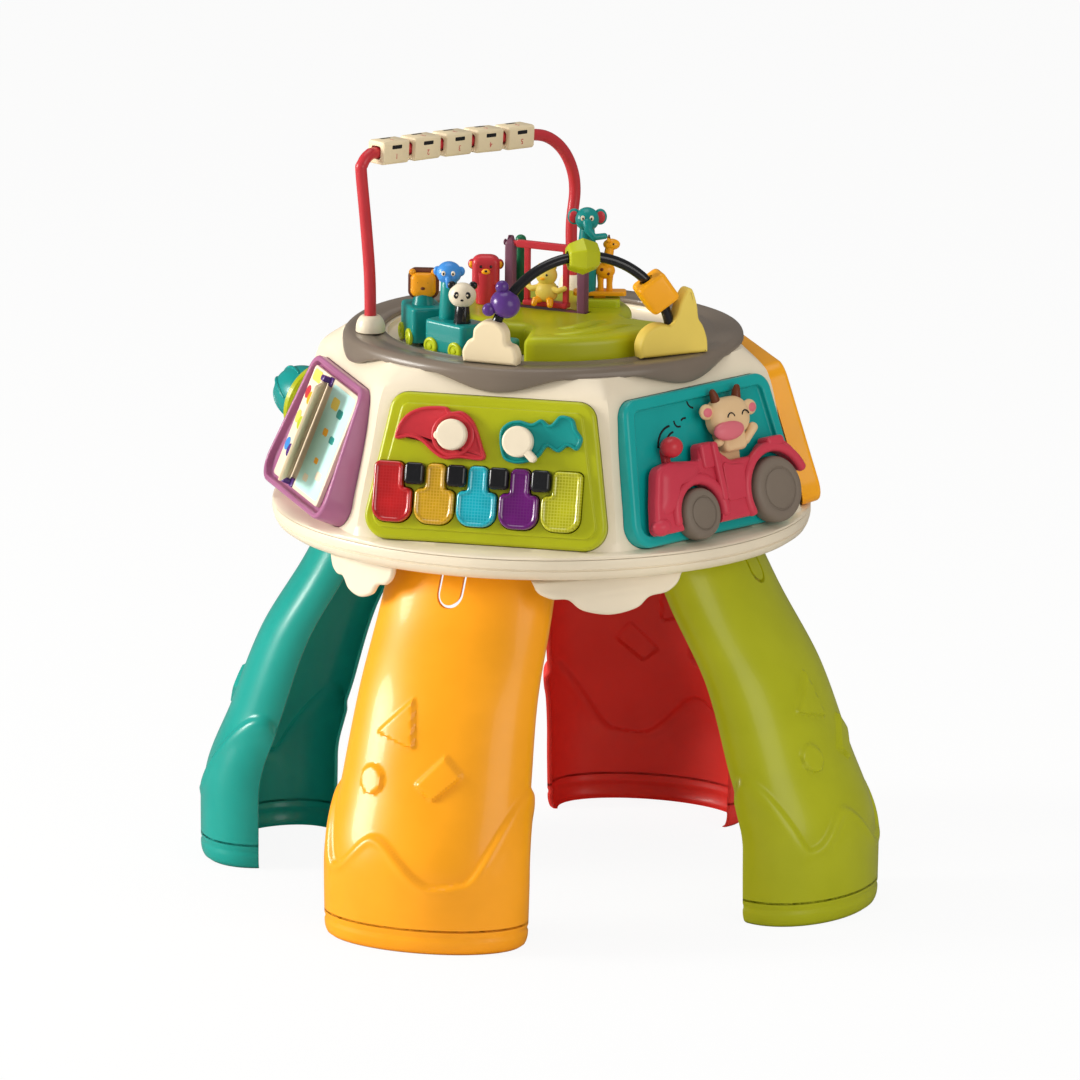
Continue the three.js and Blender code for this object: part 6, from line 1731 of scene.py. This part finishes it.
def handle_points():
    left, right = (on_circle(*foot) for foot in HANDLE_FEET)
    along = (right - left).normalized()
    length = (right - left).length
    rise = HANDLE["rise"]

    def spot(distance, height):
        return Vector((left.x + along.x * distance, left.y + along.y * distance, TRAY_TOP + height))

    def rise_at(distance):
        return rise - HANDLE["fall"] * distance / length

    left_out, right_out = HANDLE["left_bulge"], HANDLE["right_bulge"]
    points = [spot(0, 0.3), spot(-1, rise * 0.3), spot(-left_out / 2, rise * 0.6)]

    def arc(bend, side):
        for i in range(5):
            angle = math.pi / 2 * i / 4
            share = angle if side < 0 else math.pi / 2 - angle
            x = bend - bend * math.cos(share)
            distance = x - left_out if side < 0 else length + right_out - x
            points.append(spot(distance, rise_at(distance) - bend + bend * math.sin(share)))

    arc(HANDLE["left_bend"], -1)
    start = HANDLE["left_bend"] - left_out
    end = length + right_out - HANDLE["right_bend"]
    for i in range(1, 6):
        share = i / 6
        distance = between(start, end, share)
        points.append(spot(distance, rise_at(distance) + HANDLE["crown"] * math.sin(math.pi * share)))
    arc(HANDLE["right_bend"], 1)
    points += [spot(length - 2 * right_out, rise * 0.35), spot(length, 0.3)]
    return points


def joint_of(body):
    return next(joint for joint in frame["joints"] if joint["child"] == body)


def block_place(body):
    """The number block's frame: Z along the tube, Y up."""
    joint = joint_of(body)
    centre = Vector(joint["pos_m"]) / MM
    tangent = Vector(joint["axis"]).normalized()
    side = UP.cross(tangent).normalized()
    return basis(side, tangent.cross(side), tangent, centre)


def block_form(body, number):
    """Paints: 0 cream, 1 black slot, 2 red numeral."""
    form = Form(block_place(body))
    half, length = BLOCK["half"], BLOCK["length"] / 2
    outer = rounded_box(half, half, 2.4, steps=8)
    levels = ((1.2, -length), (0.4, 0.4 - length), (0, 1.2 - length), (0, length - 1.2),
              (0.4, length - 0.4), (1.2, length))
    rings = [ring_at(inset(outer, amount), z) for amount, z in levels]
    bore = [p.normalized() * BLOCK["bore"] for p in outer]
    rings += [ring_at(bore, length), ring_at(bore, -length)]
    form.loft(rings, along=True)
    for face in range(4):
        slot = turn_z(math.pi / 2 * face) @ FACE_OUT @ shift(0, 0, half)
        window = rounded_box(1.3, 4.6, 0.6, -3.8, 0)
        form.plate(window, -0.6, 0.05, 0, paint=1, place=slot)
        numeral = slot @ shift(2.4, 0, 0.02) @ turn_z(-math.pi / 2)
        form.digits(str(number), 5.2, 0.08, 2, numeral)
    return form


# Bead arch
ARCH_FEET = ((-3, 119.5), (60, 119.5))
ARCH = {"tube": 3.5, "lift": 8, "foot": 12}
CLOUD_SHARES = (
    (-0.5, 0), (-0.52, 0.25), (-0.42, 0.5), (-0.33, 0.58), (-0.3, 0.8), (-0.15, 0.98),
    (0.05, 1), (0.2, 0.92), (0.29, 0.75), (0.32, 0.5), (0.45, 0.42), (0.52, 0.2), (0.5, 0),
)
MOUNTAIN_SHARES = (
    (-0.5, 0), (-0.51, 0.2), (-0.43, 0.38), (-0.29, 0.48), (-0.16, 0.49), (-0.06, 0.47),
    (0.02, 0.6), (0.08, 0.8), (0.16, 0.96), (0.22, 1), (0.27, 0.96), (0.33, 0.75),
    (0.36, 0.53), (0.43, 0.4), (0.49, 0.2), (0.5, 0),
)
CLOUD_SIZE = (38, 29)
CLOUD_TURN = -7
MOUNTAIN_TURN = 42
MOUNTAIN_SIZE = (51, 45)
BEADS = {"bead_bear": 31, "bead_hex": 90, "bead_cube": 145}


def arch_ends():
    return [on_circle(*foot) for foot in ARCH_FEET]


def arch_frame():
    """The arch's middle, its direction and its radius."""
    left, right = arch_ends()
    return (left + right) / 2, (right - left).normalized(), (right - left).length / 2


def arch_line():
    middle, along, radius = arch_frame()
    base = TRAY_TOP + ARCH["lift"]

    def spot(x, rise):
        return Vector((middle.x + along.x * x, middle.y + along.y * x, base + rise))

    line = [spot(-radius, -8), spot(-radius, -4)]
    line += [spot(-radius * math.cos(math.pi * i / 48), radius * math.sin(math.pi * i / 48))
             for i in range(49)]
    return line + [spot(radius, -4), spot(radius, -8)]


def foot_form(shares, size, spot, turn):
    """An upright plate on the tray, drawn as an open outline with a flat base."""
    form = Form(shift(spot.x, spot.y, TRAY_TOP + 0.3) @ turn_z(degrees(turn)) @ FACE_OUT)
    half = ARCH["foot"] / 2
    form.plate(smooth_path(scaled(shares, *size), 6), -half, half, 2.4, 2.4, steps=6)
    return form


def bead_place(angle):
    middle, along, radius = arch_frame()
    turn = degrees(angle)
    out = Vector((-along.x * math.cos(turn), -along.y * math.cos(turn), math.sin(turn)))
    tangent = Vector((along.x * math.sin(turn), along.y * math.sin(turn), math.cos(turn)))
    centre = Vector((middle.x, middle.y, TRAY_TOP + ARCH["lift"])) + out * radius
    return basis(out, tangent.cross(out), tangent, centre)


def bead_bore():
    """A curved cutter that clears the arch tube."""
    cutter = Form()
    cutter.tube(arch_line(), 5, sides=32)
    return cutter


def bear_form():
    form = Form(bead_place(BEADS["bead_bear"]))
    form.ball((0, 0, 0), (10.4, 10.4, 9.6), steps=48)
    for side in (-1, 1):
        form.ball((8, 0, side * 8.8), (4.6, 3.8, 4.6), steps=28)
    form.ball((-1, -9.4, 0), (3.6, 3, 4.2), steps=24)
    for side in (-1, 1):
        form.ball((3, -9.4, side * 3.6), (1.1, 0.8, 1.1), 1, steps=12)
    form.ball((0.3, -12.2, 0), (1, 0.7, 1.4), 1, steps=12)
    return form


def hex_form():
    form = Form(bead_place(BEADS["bead_hex"]))
    rings = []
    for radius, z in ((5, -10.5), (7.6, -10.5), (8.6, -10.2), (9.4, -9.4), (12.6, -0.9), (13, 0),
                      (12.6, 0.9), (9.4, 9.4), (8.6, 10.2), (7.6, 10.5), (5, 10.5)):
        corners = [(*polar(radius, degrees(60 * k)), radius * 0.16) for k in range(6)]
        rings.append(ring_at(rounded(corners, 5), z))
    form.loft(rings)
    return form


def cube_form():
    form = Form(bead_place(BEADS["bead_cube"]))
    form.plate(rounded_box(11, 11, 4, steps=8), -11, 11, 3, 3, steps=6)
    return form


# User-set sizes and colours
def colour_property(name, hex_colour):
    value = tuple(int(hex_colour[i:i + 2], 16) / 255 for i in (0, 2, 4))
    return bpy.props.FloatVectorProperty(name=name, description=f"{name} of the moulded plastic",
                                         subtype="COLOR_GAMMA", size=3, min=0, max=1, default=value)


class TableColours(bpy.types.PropertyGroup):
    """Colours of the plastics."""
    __annotations__ = {name: colour_property(*row[:2]) for name, row in COLOURS.items()}


def length_property(name, text, default, low=0.0, high=20.0):
    return bpy.props.FloatProperty(name=name, description=text, default=default, min=low, max=high,
                                   subtype="DISTANCE", unit="LENGTH")


def angle_property(name, text, default):
    return bpy.props.FloatProperty(name=name, description=text, default=degrees(default),
                                   subtype="ANGLE", unit="ROTATION")


def power_property(name, default):
    return bpy.props.FloatProperty(name=name, description=f"Power of the {name.lower()}",
                                   default=default, min=0, subtype="POWER", unit="POWER")


class TableSizes(bpy.types.PropertyGroup):
    """Sizes of the looks that aren't fixed by the frame."""
    relief: length_property("Leg relief", "How far the leg's wave and emblems stand out", 2.6 * MM,
                            high=0.004)
    rim: length_property("Panel rim radius", "Rounding of the toy panels' outer edge", 3 * MM,
                         0.0005, 0.0038)


class StudioSettings(bpy.types.PropertyGroup):
    """The camera and the light."""
    azimuth: angle_property("Azimuth", "Camera's turn round the table", 13.7)
    elevation: angle_property("Elevation", "Camera's height angle", 13)
    roll: angle_property("Roll", "Camera's lean to one side", 0.58)
    distance: length_property("Distance", "Camera's distance", 14, 1)
    width: length_property("View width", "Width seen at the table", 0.7344, 0.1, 3)
    aim: bpy.props.FloatVectorProperty(name="Aim", description="Point at the middle of the view",
                                       default=(-0.0008, 0, 0.2345), size=3, subtype="TRANSLATION",
                                       unit="LENGTH")
    key: power_property("Key light", 76)
    front: power_property("Front light", 18)
    top: power_property("Top light", 9)
    sky: bpy.props.FloatProperty(name="Sky", description="Strength of the soft surrounding light",
                                 default=0.5, min=0, max=2)


# Operators: one for each piece or group of like pieces
class TABLE_OT_legs(bpy.types.Operator):
    """Adds the four legs with their wave, emblems and snap tabs"""
    bl_idname = "table.legs"
    bl_label = "Legs"

    def execute(self, context):
        form = leg_form(context.scene.table_sizes.relief / MM)
        shape = bpy.data.objects.new("leg_shape", form.mesh("leg_shape"))
        context.scene.collection.objects.link(shape)
        cut_away(shape, tab_cutter())
        for node, (azimuth, finish) in LEGS.items():
            mesh = shape.data.copy()
            mesh.transform(turn_z(degrees(azimuth)))
            mesh.materials.clear()
            mesh.materials.append(finish_of(finish))
            piece = bpy.data.objects.new(node + "_skin", mesh)
            context.scene.collection.objects.link(piece)
            mesh.shade_smooth()
            mesh.set_sharp_from_angle(angle=degrees(LEG_CREASE))
            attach(piece, TABLE)
            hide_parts(node)
            SLOT_OF.get(finish, finish)
        discard(shape)
        return {"FINISHED"}


class TABLE_OT_base(bpy.types.Operator):
    """Adds the base pan, its cloud-shaped aprons and what is under it"""
    bl_idname = "table.base"
    bl_label = "Base"

    def execute(self, context):
        pan_form().make("base_pan_rim", TABLE, ["white"], ["base_pan"], cuts=pan_cutter())
        for name, (azimuth, width) in LOBES.items():
            lobe_form(azimuth, width).make(f"apron_{name}", TABLE, ["white"])
        door = Form()
        door.plate(rounded_box(BATTERY["x"] - 0.4, BATTERY["y"] - 0.4, 4, 0, BATTERY["at"]),
                   SOCKET_FLOOR, SOCKET_FLOOR + DOOR_THICK, 0.3, 0.8)
        for i in range(5):
            rib = rounded_box(9, 0.8, 0.7, 0, BATTERY["at"] - 14 + 2.6 * i)
            door.plate(rib, SOCKET_FLOOR - 0.5, SOCKET_FLOOR + 0.5, 0, 0.3)
        door.make("battery_hatch", TABLE, ["white"], ["battery_door"])
        cone = Form(shift(0, SPEAKER["at"]))
        r = SPEAKER["radius"]
        cone.spin([(0, 258), (6, 258.4), (8, 257), (r - 6, 255), (r - 4, 254.2), (r - 2, 254.6),
                   (r - 1, 253.6), (r, 253.6), (r, 254.6), (16, 262.5), (13, 263), (13, 269),
                   (12.4, 269.5), (0, 269.5)], steps=64)
        cone.make("speaker_cone", TABLE, ["black"], ["speaker"])
        return {"FINISHED"}


class TABLE_OT_shell(bpy.types.Operator):
    """Adds the upper shell with its six panel openings"""
    bl_idname = "table.shell"
    bl_label = "Shell"

    def execute(self, context):
        shell_form().make("shell_skin", TABLE, ["white"], ["upper_shell"], cuts=shell_cutter())
        return {"FINISHED"}


class TABLE_OT_tray(bpy.types.Operator):
    """Adds the dripping tray ring and the train's track plate"""
    bl_idname = "table.tray"
    bl_label = "Tray"

    def execute(self, context):
        tray_form().make("tray_icing", TABLE, ["grey"], ["tray_ring"])
        groove = Form()
        band = arc_band(TRAIN_RADIUS - SLOT["half"], TRAIN_RADIUS + SLOT["half"], SLOT["start"] - 90,
                        SLOT["end"] - 90, 72)
        groove.plate(band, TRACK_TOP - OVERRUN / 4, TRACK_TOP + OVERRUN / 4, 0)
        track_form().make("track_dish", TABLE, ["white"], ["track_plate"], cuts=groove)
        return {"FINISHED"}


class TABLE_OT_hill(bpy.types.Operator):
    """Adds the hill, its step, the tree post and the peeking fox"""
    bl_idname = "table.hill"
    bl_label = "Hill"

    def execute(self, context):
        hill_form().make("hill_mound", TABLE, ["lime"], ["hill"], cuts=hill_cutter())
        hill_details().make("hill_step", TABLE, ["lime", "wheel_lime"], cuts=step_cutter())
        tree_form().make("tree_post", TABLE, ["green"], slot="board")
        fox_form().make("fox_toy", TABLE, ["red", "orange", "black"], ["fox_figure"])
        return {"FINISHED"}


class TABLE_OT_piano(bpy.types.Operator):
    """Adds the piano panel, its keys, plates and knobs"""
    bl_idname = "table.piano"
    bl_label = "Piano"

    def execute(self, context):
        place = panel_matrix(PANELS["piano"])
        piano_form().make("piano_face", TABLE, ["lime"], ["piano_panel"], cuts=piano_cutter())
        for i, (node, finish) in enumerate(KEYS):
            key_form(i).make(node + "_cap", node, [finish], [node])
        black_form().make("black_key_caps", TABLE, ["black"], ["black_keys"])
        horn = relief_plate(HORN_SHARES, HORN_SIZE, HORN)
        top = PLATE_THICK
        ring = [(12, top - 1), (12.2, top + 0.2), (13, top + 0.8), (14, top + 0.8), (14.8, top + 0.2),
                (15, top - 1)]
        horn.spin(ring, place=shift(*HORN), closed=True)
        horn.make("horn_relief", TABLE, ["red"], ["horn_plate"])
        guitar = relief_plate(GUITAR_SHARES, GUITAR_SIZE, GUITAR, 8)
        guitar.make("guitar_relief", TABLE, ["teal"], ["guitar_plate"])
        knob_form(HORN, (-1, -0.1), 3.6, 6).make("horn_dial", "horn_knob", ["white"], ["horn_knob"])
        knob_form(GUITAR, (0.72, -0.7), 9.5, 5.4).make("guitar_dial", "guitar_knob", ["white"],
                                                      ["guitar_knob"])
        board = Form(place)
        board.plate(rounded_box(76, 16.5, 2, 0, -26.5), -16.9, -15.3, 0.1)
        for i in range(len(KEYS)):
            board.plate(circle(4, key_x(i), KEY_PIN_Y), -15.4, -13.8, 0.3)
        board.make("sound_board_face", TABLE, ["board"], ["sound_board"])
        return {"FINISHED"}


class TABLE_OT_tractor(bpy.types.Operator):
    """Adds the tractor panel with its wheels, cow and lever"""
    bl_idname = "table.tractor"
    bl_label = "Tractor"

    def execute(self, context):
        face, place = recessed_case("tractor", context)
        for wheel in (REAR_WHEEL, FRONT_WHEEL):
            face.plate(circle(8, wheel["x"], wheel["y"]), -RECESS - 1, 0, 0.5)
        # The tractor panel's teal is painted lighter, as painted light for the shade on this panel
        face.make("tractor_face", TABLE, ["panel_teal"], ["tractor_panel"])
        marks = Form(place)
        for x, y, radius, first, last, width in MARKS:
            loop = arc_band(radius - width / 2, radius + width / 2, first, last, 12, x, y)
            marks.plate(loop, -RECESS - 0.2, -RECESS + 0.25, 0.1)
        marks.make("motion_marks", TABLE, ["black"])
        tractor_form(place).make("tractor_hull", TABLE, ["crimson"], ["tractor_body"],
                                 cuts=tractor_cutter(place))
        tractor_extras(place).make("tractor_trim", TABLE, ["crimson"])
        wheel_form(REAR_WHEEL, place).make("tyre_rear", "wheel_rear", ["tyre_grey"], ["wheel_rear"])
        wheel_form(FRONT_WHEEL, place).make("tyre_front", "wheel_front", ["tyre_grey"], ["wheel_front"])
        cow_form(place).make("cow_toy", "cow", ["peach", "pink", "brown", "black"], ["cow"])
        lever_form(place).make("lever_knob", "lever_ball", ["red"], ["lever_ball"])
        return {"FINISHED"}


class TABLE_OT_book(bpy.types.Operator):
    """Adds the book panel with its spread and turning leaf"""
    bl_idname = "table.book"
    bl_label = "Book"

    def execute(self, context):
        panel = PANELS["book"]
        place = panel_matrix(panel)
        face = Form(place)
        depth = PANEL_DEPTH + BOOK["recess"]
        rim = context.scene.table_sizes.rim / MM
        face.loft(panel_rings(panel, recessed_stations(depth, BOOK["recess"], BOOK["edge"], rim * 0.7,
                                                       BOOK["proud"])))
        face.make("book_case", TABLE, ["mauve"], ["book_frame"])
        prints = ["white", "page_blue", "violet", "red", "orange", "pale_yellow", "wheel_lime", "blue",
                  "teal"]
        spread_form(place).make("book_pages", TABLE, prints, ["book_spread"])
        leaf_form(place).make("book_flap", "book_leaf", ["cream", "red", "orange", "teal"],
                              ["book_leaf"])
        return {"FINISHED"}


class TABLE_OT_clock(bpy.types.Operator):
    """Adds the clock panel, its dial and hands"""
    bl_idname = "table.clock"
    bl_label = "Clock"

    def execute(self, context):
        face, place = recessed_case("clock", context)
        face.make("clock_face", TABLE, ["orange"], ["clock_panel"])
        dial_form(place).make("clock_disc", TABLE, ["white", "black"], ["clock_dial"])
        low = DIAL["top"] + 0.3
        high = low + HAND_THICK + 0.3
        hand_form(place, 20, low, -110, 6).make("short_hand", "hour_hand", ["teal"], ["hour_hand"])
        tall = hand_form(place, 29, high, 0, 5)
        tall.ball((0, 0, high + HAND_THICK), (5.4, 5.4, 3.6), steps=32)
        tall.rod(3, STEM_BOTTOM, high + 0.5, steps=24)
        tall.make("long_hand", "minute_hand", ["crimson"], ["minute_hand"])
        return {"FINISHED"}


class TABLE_OT_gears(bpy.types.Operator):
    """Adds the gear panel and its two gears"""
    bl_idname = "table.gears"
    bl_label = "Gears"

    def execute(self, context):
        face, place = recessed_case("gear", context)
        face.make("gear_case", TABLE, ["crimson"], ["gear_panel"])
        for node, (teeth, x, phase, finish) in GEARS.items():
            gear_form(place, teeth, x, phase).make(node + "_disc", node, [finish], [node])
        return {"FINISHED"}


class TABLE_OT_spinner(bpy.types.Operator):
    """Adds the spinner panel and its dome"""
    bl_idname = "table.spinner"
    bl_label = "Spinner"

    def execute(self, context):
        face, place = recessed_case("spinner", context)
        post = [(18.6, -RECESS - 0.5), (18, -RECESS + 1), (16.6, 4), (12.6, 30), (12, 33.6)]
        face.spin(post, place=shift(SPIN["x"], SPIN["y"]))
        face.make("spinner_case", TABLE, ["pale_lime"], ["spinner_panel"])
        spinner_form(place).make("spinner_globe", "spinner_dome", ["teal", "lime"],
                                 ["spinner_dome"])
        return {"FINISHED"}


class TABLE_OT_train(bpy.types.Operator):
    """Adds the train and its riders"""
    bl_idname = "table.train"
    bl_label = "Train"

    def execute(self, context):
        finishes = ["teal", "wheel_lime", "amber", "brown", "blue", "white", "black"]
        train_form().make("train_toy", "train", finishes, ["train"])
        return {"FINISHED"}


class TABLE_OT_swing(bpy.types.Operator):
    """Adds the swing and its rider"""
    bl_idname = "table.swing"
    bl_label = "Swing"

    def execute(self, context):
        swing_frame_form().make("swing_posts", TABLE, ["post_mauve"], ["swing_frame"])
        finishes = ["red", "pale_yellow", "orange", "black"]
        swing_seat_form().make("swing_rider", "swing_seat", finishes, ["swing_seat"])
        return {"FINISHED"}


class TABLE_OT_seesaw(bpy.types.Operator):
    """Adds the seesaw with its giraffe and elephant"""
    bl_idname = "table.seesaw"
    bl_label = "Seesaw"

    def execute(self, context):
        finishes = ["orange", "teal", "red", "white", "black", "brown"]
        seesaw_form().make("seesaw_riders", "seesaw", finishes, ["seesaw"])
        return {"FINISHED"}


class TABLE_OT_handle(bpy.types.Operator):
    """Adds the carry handle, its caps and number blocks"""
    bl_idname = "table.handle"
    bl_label = "Handle"

    def execute(self, context):
        points = handle_points()
        tube = Form()
        tube.tube(smooth_path(points, 8), HANDLE["radius"], sides=32)
        tube.make("handle_bar", TABLE, ["handle_red"], ["handle_tube"])
        for side, foot in (("left", points[0]), ("right", points[-1])):
            cap = Form(shift(foot.x, foot.y, TRAY_TOP + 0.3))
            r, h = CAP_RADIUS, CAP_HEIGHT
            profile = [(4.2, 0), (r - 0.4, 0), (r, 0.4), (r, 2)]
            profile += [(4.4 + (r - 4.4) * math.cos(degrees(a)), 2 + (h - 2.4) * math.sin(degrees(a)))
                        for a in range(10, 90, 10)]
            profile += [(4.4, h - 0.6), (4.2, h - 2)]
            cap.spin(profile, closed=True)
            cap.make(f"foot_cap_{side}", TABLE, ["white"], [f"handle_cap_{side}"])
        for i in range(BLOCK["count"]):
            body = f"number_block_{i + 1}"
            form = block_form(body, i + 1)
            form.make(f"counting_block_{i + 1}", body, ["cream", "black", "red"], [body])
        return {"FINISHED"}


class TABLE_OT_arch(bpy.types.Operator):
    """Adds the bead arch, its cloud and mountain feet and its beads"""
    bl_idname = "table.arch"
    bl_label = "Arch"

    def execute(self, context):
        bar = Form()
        bar.tube(arch_line(), ARCH["tube"], sides=28)
        bar.make("arch_bar", TABLE, ["black"], ["arch_tube"])
        left, right = arch_ends()
        cloud = foot_form(CLOUD_SHARES, CLOUD_SIZE, left, CLOUD_TURN)
        cloud.make("cloud_foot", TABLE, ["cream"], ["cloud_base"])
        mountain = foot_form(MOUNTAIN_SHARES, MOUNTAIN_SIZE, right, MOUNTAIN_TURN)
        mountain.make("mountain_foot", TABLE, ["pale_yellow"], ["mountain_base"])
        bear_form().make("bear_bead", "bead_bear", ["violet", "black"], ["bead_bear"])
        hex_form().make("hex_bead", "bead_hex", ["lime"], ["bead_hex"], cuts=bead_bore())
        cube_form().make("cube_bead", "bead_cube", ["orange"], ["bead_cube"], cuts=bead_bore())
        return {"FINISHED"}


class TABLE_OT_stage(bpy.types.Operator):
    """Adds the floor, the lights, the surroundings and the camera"""
    bl_idname = "table.stage"
    bl_label = "Studio"

    def execute(self, context):
        studio = context.scene.table_studio
        make_floor()
        make_sky(context.scene, studio.sky)
        for name, (spot, size, colour) in LAMPS.items():
            add_lamp(name + "_lamp", spot, size, getattr(studio, name), colour)
        add_camera(context.scene, studio)
        context.scene.view_settings.view_transform = "Standard"
        return {"FINISHED"}


# Lamps: place in the camera's own turn round the table, size, colour
LAMPS = {
    "key": ((-2.6, -0.2, 1.0), 1.1, (1, 0.98, 0.93)),
    "front": ((1.6, -2.0, 1.0), 1.8, (1, 0.97, 0.92)),
    "top": ((-0.2, 0.2, 2.3), 1.4, (1, 1, 1)),
}
FLOOR_HALF = 12
FLOOR_TONE = (0.9, 0.9, 0.88, 1)
MIRRORED_FLOOR_TONE = (0.25, 0.24, 0.23, 1)
FLOOR_PALENESS = 0.92
SKY_TONE = (1, 0.99, 0.975, 1)
REFLECTED_SKY = 0.3
PAPER_TONE = (0.955, 0.955, 0.955, 1)


def make_floor():
    """A pale floor: white to the camera but for the soft shadows, darker where plastic mirrors it."""
    mesh = bpy.data.meshes.new("floor")
    corners = [(x * FLOOR_HALF, y * FLOOR_HALF, 0) for x, y in ((-1, -1), (1, -1), (1, 1), (-1, 1))]
    mesh.from_pydata(corners, [], [(0, 1, 2, 3)])
    desk = Desk("floor")
    grain = desk.noise(desk.place(), 3.0)
    tone = desk.blend(desk.ray("Is Glossy Ray"), FLOOR_TONE, MIRRORED_FLOOR_TONE)
    plain = desk.node("ShaderNodeBsdfPrincipled", {}, {
        "Base Color": tone, "Roughness": 0.7 + grain * 0.1, "Specular IOR Level": 0.1})
    lit = desk.node("ShaderNodeEmission", {}, {"Color": (1, 1, 1, 1), "Strength": 1.0})
    shader = desk.mix(desk.ray("Is Camera Ray") * FLOOR_PALENESS, plain, lit)
    mesh.materials.append(desk.finish(shader))
    floor = bpy.data.objects.new("floor", mesh)
    bpy.context.scene.collection.objects.link(floor)
    floor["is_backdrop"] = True


def make_sky(scene, strength):
    """Soft light all round, a dimmer sky in what mirrors it, and plain paper behind the table."""
    desk = Desk("studio", bpy.data.worlds)
    lights = []
    for tone, power in ((SKY_TONE, strength), (SKY_TONE, strength * REFLECTED_SKY), (PAPER_TONE, 1)):
        lights.append(desk.node("ShaderNodeBackground", {}, {"Color": tone, "Strength": power}))
    light, dim, paper = lights
    soft = desk.mix(desk.ray("Is Glossy Ray"), light, dim)
    shader = desk.mix(desk.ray("Is Camera Ray"), soft, paper)
    scene.world = desk.finish(shader, "ShaderNodeOutputWorld")


def turned_towards(place, aim):
    return (Vector(aim) - Vector(place)).to_track_quat("-Z", "Y").to_matrix().to_4x4()


def add_lamp(name, side, size, power, colour):
    """A soft lamp; its place is given in the camera's own turn round the table."""
    spot = turn_z(bpy.context.scene.table_studio.azimuth) @ Vector(side)
    data = bpy.data.lights.new(name, "AREA")
    data.shape = "DISK"
    data.size = size
    data.energy = power
    data.color = colour
    lamp = bpy.data.objects.new(name, data)
    lamp.matrix_world = shift(*spot) @ turned_towards(spot, (0, 0, 0.25))
    bpy.context.scene.collection.objects.link(lamp)


def add_camera(scene, studio):
    data = bpy.data.cameras.new("camera")
    data.sensor_fit = "HORIZONTAL"
    data.sensor_width = 36
    data.lens = data.sensor_width * studio.distance / studio.width
    data.clip_end = 50
    camera = bpy.data.objects.new("camera", data)
    scene.collection.objects.link(camera)
    level = math.cos(studio.elevation)
    out = Vector((math.sin(studio.azimuth) * level, -math.cos(studio.azimuth) * level,
                  math.sin(studio.elevation)))
    aim = turn_z(studio.azimuth) @ Vector(studio.aim)
    spot = aim + out * studio.distance
    roll = Matrix.Rotation(studio.roll, 4, "Z")
    camera.matrix_world = shift(*spot) @ turned_towards(spot, aim) @ roll
    scene.camera = camera


class TABLE_PT_panel(bpy.types.Panel):
    """Lists the table's pieces in the sidebar"""
    bl_idname = "TABLE_PT_panel"
    bl_label = "Activity table"
    bl_space_type = "VIEW_3D"
    bl_region_type = "UI"
    bl_category = "Activity table"

    def draw(self, context):
        layout = self.layout
        scene = context.scene
        for settings in (scene.table_sizes, scene.table_colours, scene.table_studio):
            box = layout.box()
            for name in settings.__annotations__:
                box.prop(settings, name)
        for operator in OPERATORS:
            layout.operator(operator.bl_idname)


OPERATORS = (
    TABLE_OT_stage, TABLE_OT_legs, TABLE_OT_base, TABLE_OT_shell, TABLE_OT_tray, TABLE_OT_hill,
    TABLE_OT_train, TABLE_OT_swing, TABLE_OT_seesaw, TABLE_OT_handle, TABLE_OT_arch,
    TABLE_OT_piano, TABLE_OT_tractor, TABLE_OT_book, TABLE_OT_clock, TABLE_OT_gears,
    TABLE_OT_spinner,
)
GROUPS = (TableColours, TableSizes, StudioSettings)


def register():
    for group in GROUPS:
        bpy.utils.register_class(group)
    for operator in OPERATORS:
        bpy.utils.register_class(operator)
    bpy.utils.register_class(TABLE_PT_panel)
    bpy.types.Scene.table_colours = bpy.props.PointerProperty(type=TableColours)
    bpy.types.Scene.table_sizes = bpy.props.PointerProperty(type=TableSizes)
    bpy.types.Scene.table_studio = bpy.props.PointerProperty(type=StudioSettings)


def unregister():
    del bpy.types.Scene.table_colours
    del bpy.types.Scene.table_sizes
    del bpy.types.Scene.table_studio
    bpy.utils.unregister_class(TABLE_PT_panel)
    for operator in reversed(OPERATORS):
        bpy.utils.unregister_class(operator)
    for group in reversed(GROUPS):
        bpy.utils.unregister_class(group)


def write_size():
    """Gathers the frame's box and the finished model's box side by side as plain lists."""
    boxes = {"cad": FIRST_BOX, "visual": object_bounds()}
    plain = {name: [list(corner) for corner in box] for name, box in boxes.items()}


def main():
    register()
    for operator in OPERATORS:
        group, name = operator.bl_idname.split(".")
        getattr(getattr(bpy.ops, group), name)()
    write_size()


if __name__ == "__main__":
    main()
